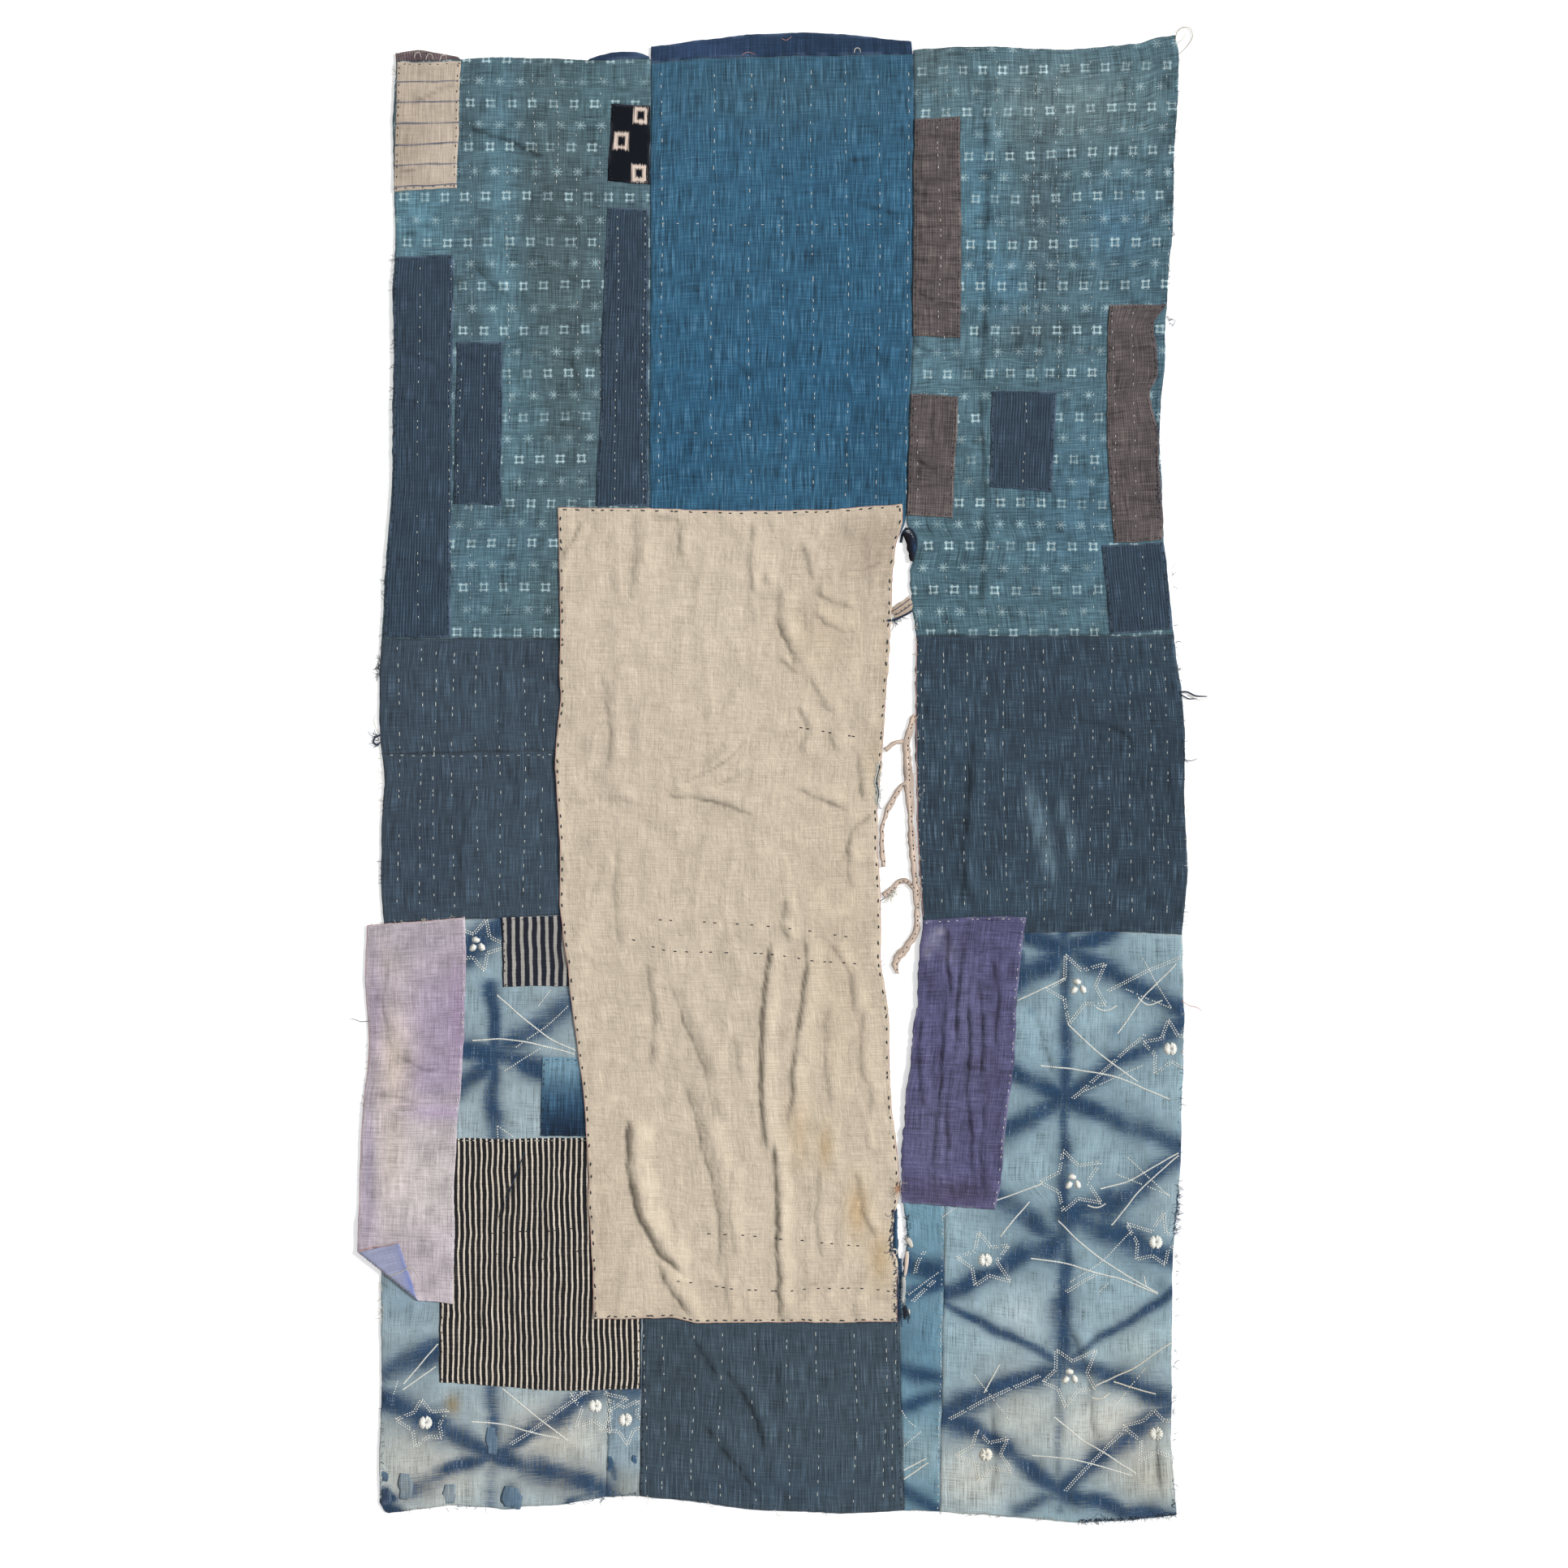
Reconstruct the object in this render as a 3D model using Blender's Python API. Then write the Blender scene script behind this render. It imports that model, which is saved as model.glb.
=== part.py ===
"""A boro patched cloth, laid flat and face up.

Three loom-width columns of old cotton are sewn side by side. Mending patches lie on them, and one long
linen panel lies over most of the lower middle. The seam right of the middle column has torn open, and
remains of its binding tape lie in the gap.

Every cloth is one closed sheet of even thickness. Its outline is a list of corners, and its creases are
soft ridges along short paths. All outlines are in millimetres on a square laying board: x to the right
and y down from the board's top left corner. The part's frame has its origin under the middle of the
cloth, +X to the right, +Y to the cloth's top edge and +Z up.
"""

from collections import namedtuple
from math import ceil, cos, hypot, pi, sin

import bpy
from mathutils import Vector
from mathutils.geometry import delaunay_2d_cdt

MM = 0.001

# The middle of the cloth on the laying board
BOARD_X = 952.0
BOARD_Y = 958.0

# Thickness of each kind of sheet, and the air between plies and along seams
GROUND_THICK = 1.6
PATCH_THICK = 1.0
LINEN_THICK = 1.2
PLY_GAP = 0.3
SEAM_GAP = 0.3

# Height of a sheet's underside: on the table, on the ground cloth
ON_TABLE = 0.0
ON_GROUND = GROUND_THICK + PLY_GAP
PATCH_STEP = PATCH_THICK + PLY_GAP

# A sheet that climbs over another does so over this width
SLOPE = 14.0

# Creases: spacing of the stations along one, its ribs across, and the length over which an end dies out
CREASE_STEP = 24.0
CREASE_RIBS = (-1.0, -0.5, 0.0, 0.5, 1.0)
CREASE_TAPER = 18.0

# The lavender patch's turned corner: bend radius at mid-thickness, steps round the bend, lift of its tip
BEND_RADIUS = 1.3
BEND_STEPS = 4
TIP_LIFT = 4.0

# Points nearer than this are one point when a sheet is cut into triangles
NEAR = 0.01

Cloth = namedtuple("Cloth", "colour roughness")
Sheet = namedtuple("Sheet", "name cloth base thickness outline")
Crease = namedtuple("Crease", "sheet half_width height path")
Lift = namedtuple("Lift", "sheet left right top bottom rise")
Tape = namedtuple("Tape", "name cloth base rows")

CLOTHS = {
    "kasuri": Cloth("#4A6A78", 0.9),
    "blue_cotton": Cloth("#2F6088", 0.9),
    "indigo_cotton": Cloth("#3A4B5C", 0.9),
    "shibori": Cloth("#A9BFC9", 0.9),
    "navy_stripe": Cloth("#33455A", 0.9),
    "brown_cotton": Cloth("#62534F", 0.9),
    "tan_cotton": Cloth("#B39C8A", 0.92),
    "black_kasuri": Cloth("#12141F", 0.85),
    "bold_stripe": Cloth("#2B2629", 0.9),
    "ombre_indigo": Cloth("#2C5578", 0.9),
    "lavender_cotton": Cloth("#B3A3B5", 0.85),
    "purple_cotton": Cloth("#5A4F72", 0.85),
    "linen": Cloth("#C6B7A2", 0.92),
    "navy_cotton": Cloth("#24375C", 0.9),
    "seam_tape": Cloth("#D9BBA3", 0.9),
}

# Upright edges of the columns. Rows: y, x
OUTER_LEFT = [
    (76, 488), (142, 484), (237, 486), (300, 487), (352, 484), (431, 486), (520, 484), (612, 482),
    (681, 476), (757, 472), (831, 468), (908, 468), (933, 472), (959, 475), (1010, 470), (1099, 470),
    (1137, 473), (1540, 470), (1710, 470), (1786, 468), (1850, 468),
]
OUTER_RIGHT = [
    (44, 1447), (66, 1452), (122, 1451), (186, 1447), (250, 1446), (352, 1439), (451, 1434), (540, 1428),
    (617, 1433), (672, 1434), (780, 1446), (818, 1450), (851, 1455), (895, 1459), (1010, 1460),
    (1073, 1463), (1151, 1456), (1248, 1459), (1400, 1455), (1452, 1453), (1560, 1444), (1721, 1444),
    (1775, 1442), (1815, 1446), (1866, 1450),
]
SEAM_LEFT = [(74, 802), (224, 801), (626, 800), (1624, 792), (1710, 791), (1843, 787)]

# The seam between the middle and the right column is closed above and below the tear
SEAM_RIGHT_HEAD = [(62, 1125), (142, 1127), (250, 1125), (420, 1124), (486, 1121), (620, 1119), (648, 1116)]
SEAM_RIGHT_FOOT = [(1600, 1108), (1628, 1107), (1710, 1109), (1799, 1112), (1861, 1113)]
MIDDLE_TORN = [
    (670, 1101), (706, 1096), (757, 1094), (844, 1088), (908, 1085), (997, 1077), (1048, 1077),
    (1099, 1081), (1180, 1081), (1222, 1087), (1263, 1092), (1324, 1091), (1375, 1095), (1426, 1102),
    (1482, 1104), (1564, 1104),
]
RIGHT_TORN = [
    (660, 1128), (672, 1130), (693, 1124), (706, 1120), (744, 1123), (783, 1128), (882, 1128),
    (984, 1129), (1061, 1132), (1112, 1135), (1140, 1137), (1184, 1136), (1248, 1132), (1304, 1126),
    (1350, 1119), (1400, 1114), (1470, 1112), (1564, 1111),
]
MIDDLE_RIGHT = SEAM_RIGHT_HEAD + MIDDLE_TORN + SEAM_RIGHT_FOOT
RIGHT_LEFT = SEAM_RIGHT_HEAD + RIGHT_TORN + SEAM_RIGHT_FOOT

# Cross seams between the pieces of a column. y
KASURI_LEFT_FOOT = 787.0
INDIGO_LEFT_SEAM_OUTER = 929.0
INDIGO_LEFT_SEAM_INNER = 923.0
INDIGO_LEFT_FOOT_OUTER = 1137.0
INDIGO_LEFT_FOOT_INNER = 1126.0
STRIP_LEFT_HEAD = 1620.0
MIDDLE_SEAM = 1128.0
KASURI_RIGHT_FOOT = 783.0
INDIGO_RIGHT_FOOT_INNER = 1140.0
INDIGO_RIGHT_FOOT_OUTER = 1152.0
STRIP_RIGHT_HEAD = 1470.0

# Ends of the edge tables. y
LEFT_TOP = 76.0
SEAM_TOP = 74.0
LEFT_BOTTOM = 1850.0
SEAM_BOTTOM = 1843.0
RIGHT_TOP = 44.0
TEAR_SIDE_TOP = 62.0
TEAR_SIDE_BOTTOM = 1861.0
RIGHT_BOTTOM = 1866.0

# Edges that two pieces share. Rows: x, y
BLUE_TOP = [(802, 79), (856, 72), (933, 70), (1124, 67)]
STRIP_LEFT_SIDE = [(753, 1620), (751, 1710), (746, 1844)]
STRIP_RIGHT_SIDE = [(1164, 1470), (1158, 1862)]
INDIGO_LEFT_FOOT = (690, 1127)
INDIGO_RIGHT_FOOT = [(1264, 1149), (1351, 1147)]

# The lavender patch's turned corner: the fold line, and where the tip lies once it is turned over
TURN_START = (441, 1540)
TURN_END = (518, 1602)
TURNED_TIP = (495, 1527)


def across(edge, y):
    """x of an upright edge at height y, straight between its rows."""
    for (y0, x0), (y1, x1) in zip(edge, edge[1:]):
        if y0 <= y <= y1:
            return x0 + (x1 - x0) * (y - y0) / (y1 - y0)
    raise ValueError(f"y {y} is off the edge")


def run(edge, start, stop):
    """Points (x, y) of an upright edge from y start to y stop, upwards or downwards."""
    low, high = min(start, stop), max(start, stop)
    inner = [(x, y) for y, x in edge if low < y < high]
    points = [(across(edge, low), low), *inner, (across(edge, high), high)]
    return points if start < stop else points[::-1]


def turned(point):
    """The mirror image of a point in the turned corner's fold line."""
    (ax, ay), (bx, by) = TURN_START, TURN_END
    length = hypot(bx - ax, by - ay)
    ux, uy = (bx - ax) / length, (by - ay) / length
    along = (point[0] - ax) * ux + (point[1] - ay) * uy
    return (2 * (ax + along * ux) - point[0], 2 * (ay + along * uy) - point[1])


def ground_outlines():
    """The pieces of the three columns: name, cloth, outline."""
    yield "kasuri_left", "kasuri", [
        (568, 74), (603, 71), (685, 72), (723, 74),
        *run(SEAM_LEFT, SEAM_TOP, KASURI_LEFT_FOOT),
        *run(OUTER_LEFT, KASURI_LEFT_FOOT, LEFT_TOP),
    ]
    yield "indigo_left_upper", "indigo_cotton", [
        *run(SEAM_LEFT, KASURI_LEFT_FOOT, INDIGO_LEFT_SEAM_INNER),
        *run(OUTER_LEFT, INDIGO_LEFT_SEAM_OUTER, KASURI_LEFT_FOOT),
    ]
    yield "indigo_left_lower", "indigo_cotton", [
        *run(SEAM_LEFT, INDIGO_LEFT_SEAM_INNER, INDIGO_LEFT_FOOT_INNER),
        INDIGO_LEFT_FOOT,
        *run(OUTER_LEFT, INDIGO_LEFT_FOOT_OUTER, INDIGO_LEFT_SEAM_OUTER),
    ]
    yield "shibori_left", "shibori", [
        *run(SEAM_LEFT, INDIGO_LEFT_FOOT_INNER, STRIP_LEFT_HEAD),
        *STRIP_LEFT_SIDE,
        (685, 1854), (644, 1856), (629, 1860), (609, 1857), (558, 1854), (519, 1859), (484, 1863),
        (475, 1864),
        *run(OUTER_LEFT, LEFT_BOTTOM, INDIGO_LEFT_FOOT_OUTER),
        INDIGO_LEFT_FOOT,
    ]
    yield "shibori_left_strip", "shibori", [
        *run(SEAM_LEFT, STRIP_LEFT_HEAD, SEAM_BOTTOM),
        *STRIP_LEFT_SIDE[::-1],
    ]
    yield "blue_centre", "blue_cotton", [
        *BLUE_TOP,
        *run(MIDDLE_RIGHT, BLUE_TOP[-1][1], MIDDLE_SEAM),
        *run(SEAM_LEFT, MIDDLE_SEAM, BLUE_TOP[0][1]),
    ]
    yield "indigo_centre", "indigo_cotton", [
        *run(MIDDLE_RIGHT, MIDDLE_SEAM, TEAR_SIDE_BOTTOM),
        (1035, 1865), (933, 1860), (869, 1852), (831, 1847),
        *run(SEAM_LEFT, SEAM_BOTTOM, MIDDLE_SEAM),
    ]
    yield "kasuri_right", "kasuri", [
        (1176, 59), (1228, 58), (1312, 62), (1381, 56), (1410, 53), (1416, 48),
        *run(OUTER_RIGHT, RIGHT_TOP, KASURI_RIGHT_FOOT),
        *run(RIGHT_LEFT, KASURI_RIGHT_FOOT, TEAR_SIDE_TOP),
    ]
    yield "indigo_right", "indigo_cotton", [
        *run(OUTER_RIGHT, KASURI_RIGHT_FOOT, INDIGO_RIGHT_FOOT_OUTER),
        *INDIGO_RIGHT_FOOT[::-1],
        *run(RIGHT_LEFT, INDIGO_RIGHT_FOOT_INNER, KASURI_RIGHT_FOOT),
    ]
    yield "shibori_right", "shibori", [
        *INDIGO_RIGHT_FOOT,
        *run(OUTER_RIGHT, INDIGO_RIGHT_FOOT_OUTER, RIGHT_BOTTOM),
        (1391, 1872), (1338, 1876), (1284, 1872), (1217, 1866),
        *STRIP_RIGHT_SIDE[::-1],
        *run(RIGHT_LEFT, STRIP_RIGHT_HEAD, INDIGO_RIGHT_FOOT_INNER),
    ]
    yield "shibori_right_strip", "shibori", [
        *STRIP_RIGHT_SIDE,
        *run(RIGHT_LEFT, TEAR_SIDE_BOTTOM, STRIP_RIGHT_HEAD),
    ]
    yield "band_navy", "navy_cotton", [
        (802, 58), (915, 43), (992, 40), (1045, 43), (1123, 52), *BLUE_TOP[::-1],
    ]
    yield "band_brown", "brown_cotton", [
        (487, 66), (515, 62), (542, 66), (565, 71), (568, 74), (488, 76),
    ]
    yield "band_blue", "navy_cotton", [
        (725, 74), (750, 65), (787, 65), (800, 71), (800, 74),
    ]


# Patches that lie on the ground cloth: name, cloth, outline
PATCHES = [
    ("tan_patch", "tan_cotton", [(489, 77), (568, 76), (563, 232), (486, 236)]),
    ("black_kasuri_patch", "black_kasuri", [(754, 128), (801, 131), (801, 228), (749, 224)]),
    ("navy_strip", "navy_stripe", [
        (749, 256), (799, 258), (799, 624), (735, 624), (736, 579), (741, 502), (741, 415), (743, 377),
    ]),
    ("navy_left_long", "navy_stripe", [
        (487, 318), (559, 314), (557, 500), (555, 785), (473, 785), (476, 690), (483, 612), (486, 470),
        (485, 352),
    ]),
    ("navy_left_short", "navy_stripe", [(563, 423), (620, 423), (618, 623), (559, 622)]),
    ("navy_small_right", "navy_stripe", [(1221, 483), (1302, 482), (1296, 607), (1220, 600)]),
    ("navy_edge_right", "navy_stripe", [(1356, 672), (1434, 669), (1445, 776), (1367, 781)]),
    ("brown_upper", "brown_cotton", [(1127, 147), (1183, 144), (1184, 417), (1124, 414)]),
    ("brown_lower", "brown_cotton", [(1122, 486), (1180, 489), (1174, 638), (1118, 635)]),
    ("brown_edge", "brown_cotton", [
        (1367, 377), (1437, 375), (1421, 400), (1425, 433), (1425, 464), (1416, 484), (1427, 533),
        (1428, 579), (1432, 617), (1434, 642), (1432, 666), (1372, 669), (1368, 617), (1364, 553),
        (1363, 464),
    ]),
    ("stripe_patch_small", "bold_stripe", [(618, 1130), (712, 1127), (712, 1214), (620, 1216)]),
    ("stripe_patch_large", "bold_stripe", [
        (541, 1403), (722, 1401), (790, 1401), (790, 1710), (685, 1713), (609, 1707), (542, 1702),
    ]),
    ("ombre_patch", "ombre_indigo", [(668, 1302), (728, 1304), (728, 1399), (666, 1399)]),
    ("lavender_patch", "lavender_cotton", [
        (452, 1139), (573, 1130), (575, 1171), (573, 1248), (569, 1337), (565, 1375), (560, 1452),
        (560, 1556), (558, 1605), TURN_END, turned(TURNED_TIP), TURN_START, (443, 1439), (448, 1370),
        (455, 1283), (450, 1196),
    ]),
    ("purple_patch", "purple_cotton", [
        (1136, 1135), (1198, 1129), (1264, 1130), (1257, 1184), (1252, 1248), (1249, 1311), (1243, 1362),
        (1237, 1408), (1232, 1464), (1226, 1489), (1167, 1485), (1110, 1480), (1110, 1426), (1115, 1350),
        (1122, 1304), (1128, 1248), (1132, 1184),
    ]),
]

LINEN_OUTLINE = [
    (688, 626), (780, 627), (964, 630), (1035, 627), (1112, 622), (1113, 645), (1104, 670), (1099, 706),
    (1098, 757), (1092, 844), (1089, 908), (1081, 997), (1081, 1048), (1085, 1099), (1085, 1180),
    (1091, 1222), (1096, 1263), (1095, 1324), (1099, 1375), (1106, 1426), (1108, 1464), (1106, 1480),
    (1103, 1531), (1109, 1582), (1105, 1628), (856, 1629), (830, 1623), (732, 1624), (731, 1569),
    (725, 1480), (727, 1452), (723, 1395), (718, 1337), (708, 1263), (700, 1196), (694, 1150),
    (690, 1112), (690, 1048), (684, 938), (690, 869), (690, 732),
]

# Narrow tapes in and beside the tear. Rows: x, y, width
TAPES = [
    Tape("tape_main", "seam_tape", ON_TABLE, [
        (1122, 884, 7), (1112, 912, 8), (1117, 959, 10), (1118, 985, 8), (1122, 1022, 7), (1125, 1061, 7),
        (1127, 1099, 7), (1129, 1119, 7), (1127, 1150, 8), (1115, 1171, 8), (1099, 1181, 9),
        (1105, 1198, 7),
    ]),
    Tape("tape_arm", "seam_tape", ON_TABLE, [(1104, 916, 5), (1097, 918, 6), (1089, 923, 6)]),
    Tape("tape_upper_branch", "seam_tape", ON_TABLE, [
        (1107, 968, 6), (1091, 992, 6), (1085, 1022, 6), (1089, 1066, 6),
    ]),
    Tape("tape_lower_branch", "seam_tape", ON_TABLE, [
        (1118, 1086, 5), (1111, 1082, 6), (1103, 1097, 6), (1088, 1103, 7),
    ]),
    Tape("bridge_strap", "tan_cotton", ON_TABLE, [(1100, 756, 18), (1109, 752, 17), (1117, 747, 17)]),
    Tape("seam_roll", "navy_cotton", ON_GROUND, [
        (1119, 652, 7), (1126, 658, 9), (1128, 670, 8), (1124, 688, 6),
    ]),
]

# Main creases, as soft ridges. Columns: sheet, half width, height, path of (x, y)
CREASES = [
    Crease("linen_panel", 11, 6.5, [(772, 1375), (773, 1450), (785, 1500), (830, 1560), (858, 1604)]),
    Crease("linen_panel", 7, 5.0, [(937, 1171), (939, 1290), (937, 1411)]),
    Crease("linen_panel", 8, 5.0, [(951, 1425), (956, 1480), (957, 1640)]),
    Crease("linen_panel", 8, 4.0, [(989, 1158), (992, 1214), (983, 1280), (974, 1329)]),
    Crease("linen_panel", 8, 4.0, [(821, 984), (887, 989), (933, 1007)]),
    Crease("linen_panel", 8, 3.5, [(836, 962), (880, 938), (925, 905)]),
    Crease("linen_panel", 8, 3.5, [(979, 971), (1043, 997)]),
    Crease("linen_panel", 8, 3.0, [(959, 790), (972, 822), (984, 864)]),
    Crease("linen_panel", 6, 3.0, [(1042, 1060), (1048, 1112)]),
    Crease("linen_panel", 6, 3.0, [(1053, 925), (1063, 992)]),
    Crease("linen_panel", 9, 2.5, [(960, 700), (958, 770)]),
    Crease("linen_panel", 7, 2.5, [(989, 660), (999, 725)]),
    Crease("linen_panel", 7, 2.5, [(1000, 755), (1052, 789)]),
    Crease("linen_panel", 12, 3.0, [(806, 1230), (814, 1330), (828, 1420), (848, 1475)]),
    Crease("linen_panel", 10, 2.5, [(870, 1230), (872, 1340), (880, 1450)]),
    Crease("indigo_centre", 6, 3.0, [(849, 1645), (887, 1699)]),
    Crease("indigo_centre", 7, 4.0, [(884, 1681), (913, 1712), (943, 1784)]),
    Crease("indigo_centre", 7, 3.5, [(862, 1753), (902, 1800), (936, 1840)]),
    Crease("indigo_centre", 6, 2.5, [(959, 1684), (961, 1743)]),
    Crease("kasuri_left", 6, 3.0, [(582, 160), (625, 175), (670, 195)]),
    Crease("kasuri_left", 7, 3.0, [(577, 322), (626, 368)]),
    Crease("kasuri_left", 6, 2.0, [(690, 336), (728, 358)]),
    Crease("kasuri_right", 7, 3.0, [(1214, 76), (1218, 250), (1216, 420), (1211, 470)]),
    Crease("kasuri_right", 7, 2.5, [(1215, 622), (1211, 740)]),
    Crease("kasuri_right", 6, 2.0, [(1288, 646), (1330, 668)]),
    Crease("blue_centre", 7, 3.0, [(1008, 214), (1046, 200), (1080, 198)]),
    Crease("blue_centre", 6, 3.0, [(1047, 252), (1112, 268)]),
    Crease("blue_centre", 6, 3.0, [(1070, 418), (1095, 466)]),
    Crease("blue_centre", 7, 2.5, [(880, 428), (935, 472)]),
    Crease("blue_centre", 8, 2.5, [(956, 502), (963, 560), (951, 602)]),
    Crease("indigo_left_upper", 6, 2.5, [(570, 811), (603, 844)]),
    Crease("indigo_left_upper", 7, 3.0, [(617, 816), (624, 869), (615, 914)]),
    Crease("indigo_left_lower", 7, 3.0, [(584, 992), (567, 1035), (569, 1112)]),
    Crease("indigo_left_lower", 6, 2.5, [(633, 940), (639, 971), (630, 1008)]),
    Crease("indigo_right", 8, 3.0, [(1200, 905), (1195, 984), (1187, 1061), (1194, 1118)]),
    Crease("indigo_right", 7, 3.5, [(1315, 887), (1379, 902), (1400, 921)]),
    Crease("indigo_right", 6, 2.5, [(1322, 980), (1362, 985)]),
    Crease("indigo_right", 6, 3.0, [(1272, 1034), (1320, 1053)]),
    Crease("indigo_right", 5, 3.0, [(1442, 935), (1446, 1004)]),
    Crease("navy_left_long", 5, 2.5, [(494, 434), (548, 453)]),
    Crease("navy_left_long", 5, 2.0, [(490, 612), (545, 613)]),
    Crease("purple_patch", 6, 3.5, [(1193, 1180), (1197, 1300), (1190, 1455)]),
    Crease("purple_patch", 6, 2.5, [(1165, 1230), (1160, 1330), (1148, 1440)]),
    Crease("stripe_patch_large", 8, 2.0, [(640, 1460), (622, 1560), (650, 1660)]),
    Crease("stripe_patch_large", 7, 2.0, [(585, 1560), (600, 1660)]),
    Crease("shibori_right", 8, 2.5, [(1300, 1600), (1345, 1690), (1352, 1780)]),
    Crease("shibori_right", 7, 2.5, [(1278, 1250), (1300, 1330)]),
]

# Where a sheet climbs over a patch or drops beside the ground. Columns: sheet, box on the board, rise
LIFTS = [
    Lift("linen_panel", 670, 715, 1123, 1219, PATCH_STEP),
    Lift("linen_panel", 670, 731, 1298, 1403, PATCH_STEP),
    Lift("linen_panel", 670, 794, 1397, 1650, PATCH_STEP),
    Lift("lavender_patch", 538, 600, 1400, 1640, PATCH_STEP),
    Lift("lavender_patch", 400, 452, 1100, 1492, -ON_GROUND),
]


def inset(outline, distance):
    """The outline with every side moved inwards by distance."""
    count = len(outline)
    moved = []
    for index in range(count):
        before, here, after = (Vector(outline[(index + step) % count]) for step in (-1, 0, 1))
        first = (here - before).normalized()
        second = (after - here).normalized()
        inward = Vector((-first.y, first.x)) + Vector((-second.y, second.x))
        moved.append(here + inward * (distance / (1 + first.dot(second))))
    return moved


def tidied(outline):
    """The outline without doubled corners, running so that its inside is on the left."""
    points = [Vector(point) for point in outline]
    points = [here for here, before in zip(points, [points[-1], *points]) if (here - before).length > NEAR]
    area = sum(a.x * b.y - b.x * a.y for a, b in zip(points, points[1:] + points[:1]))
    return points if area > 0 else points[::-1]


def stations(path, step):
    """Points along a path at about the given step, each with its unit direction."""
    found = []
    for start, stop in zip(path, path[1:]):
        start, stop = Vector(start), Vector(stop)
        direction = (stop - start).normalized()
        pieces = max(1, ceil((stop - start).length / step))
        found += [(start.lerp(stop, part / pieces), direction) for part in range(pieces)]
    found.append((Vector(path[-1]), direction))
    return found


def crease_ribs(crease):
    """The lines along a crease at each of its ribs."""
    ribs = []
    for rib in CREASE_RIBS:
        aside = rib * crease.half_width
        ribs.append([
            point + Vector((-direction.y, direction.x)) * aside
            for point, direction in stations(crease.path, CREASE_STEP)
        ])
    return ribs


def crease_height(crease, point):
    """A raised cosine across the crease, which dies out at its ends."""
    nearest, along, length = float("inf"), 0.0, 0.0
    for start, stop in zip(crease.path, crease.path[1:]):
        start, stop = Vector(start), Vector(stop)
        side = stop - start
        part = min(1.0, max(0.0, (point - start).dot(side) / side.length_squared))
        distance = (point - start - side * part).length
        if distance < nearest:
            nearest, along = distance, length + side.length * part
        length += side.length
    if nearest >= crease.half_width - NEAR:
        return 0.0
    end = min(1.0, along / CREASE_TAPER, (length - along) / CREASE_TAPER)
    return crease.height * end * (1 + cos(pi * nearest / crease.half_width)) / 2


def box_loop(lift, out):
    """The lift's box, grown by out on every side, as a closed line."""
    left, right = lift.left - out, lift.right + out
    top, bottom = lift.top - out, lift.bottom + out
    return [Vector(p) for p in ((left, top), (right, top), (right, bottom), (left, bottom), (left, top))]


def lift_height(lift, point):
    """The full rise inside the box, falling evenly to nothing over the slope's width."""
    outside_x = max(lift.left - point.x, 0.0, point.x - lift.right)
    outside_y = max(lift.top - point.y, 0.0, point.y - lift.bottom)
    return lift.rise * max(0.0, 1 - max(outside_x, outside_y) / SLOPE)


def relief(name, point):
    """Height of a sheet over its base: the tallest crease, on the climbs and drops."""
    creases = [crease_height(crease, point) for crease in CREASES if crease.sheet == name]
    lifts = [lift_height(lift, point) for lift in LIFTS if lift.sheet == name]
    return max(creases, default=0.0) + max(lifts, default=0.0) + min([0.0, *lifts])


def bend_lines():
    """Lines along the turned corner's bend, in the patch as it was before it was turned."""
    start, stop = Vector(TURN_START), Vector(TURN_END)
    aside = (Vector(turned(TURNED_TIP)) - Vector(TURNED_TIP)).normalized()
    over = (stop - start).normalized() * CREASE_TAPER
    return [
        [start - over + aside * (pi * BEND_RADIUS * step / BEND_STEPS),
         stop + over + aside * (pi * BEND_RADIUS * step / BEND_STEPS)]
        for step in range(BEND_STEPS + 1)
    ]


def turn_over(point):
    """Where a point of the flat patch goes when its corner is turned: place, height and tilt of the cloth."""
    start = Vector(TURN_START)
    aside = (Vector(turned(TURNED_TIP)) - Vector(TURNED_TIP)).normalized()
    beyond = (point - start).dot(aside)
    if beyond <= NEAR:
        return point, 0.0, Vector((0, 0, 1))
    foot = point - aside * beyond
    angle = min(pi, beyond / BEND_RADIUS)
    rest = beyond - BEND_RADIUS * angle
    reach = (Vector(turned(TURNED_TIP)) - start).dot(aside)
    place = foot + aside * (BEND_RADIUS * sin(angle) - rest)
    height = BEND_RADIUS * (1 - cos(angle)) + TIP_LIFT * (rest / reach) ** 2
    return place, height, Vector((aside.x * sin(angle), aside.y * sin(angle), cos(angle)))


def triangles(outline, lines):
    """Cuts the inside of the outline into triangles that follow the given lines."""
    points = list(outline)
    edges = []
    for line in lines:
        edges += [(len(points) + index, len(points) + index + 1) for index in range(len(line) - 1)]
        points += line
    inside = 1
    result = delaunay_2d_cdt(points, edges, [list(range(len(outline)))], inside, NEAR, True)
    places, faces, owners = result[0], result[2], result[5]
    kept = [face for face, owner in zip(faces, owners) if owner]
    used = sorted({index for face in kept for index in face})
    order = {index: new for new, index in enumerate(used)}
    return [places[index].copy() for index in used], [[order[index] for index in face] for face in kept]


def rim(faces):
    """The directed edges that only one triangle has."""
    sides = {(face[k], face[(k + 1) % 3]) for face in faces for k in range(3)}
    return [(a, b) for a, b in sides if (b, a) not in sides]


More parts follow.
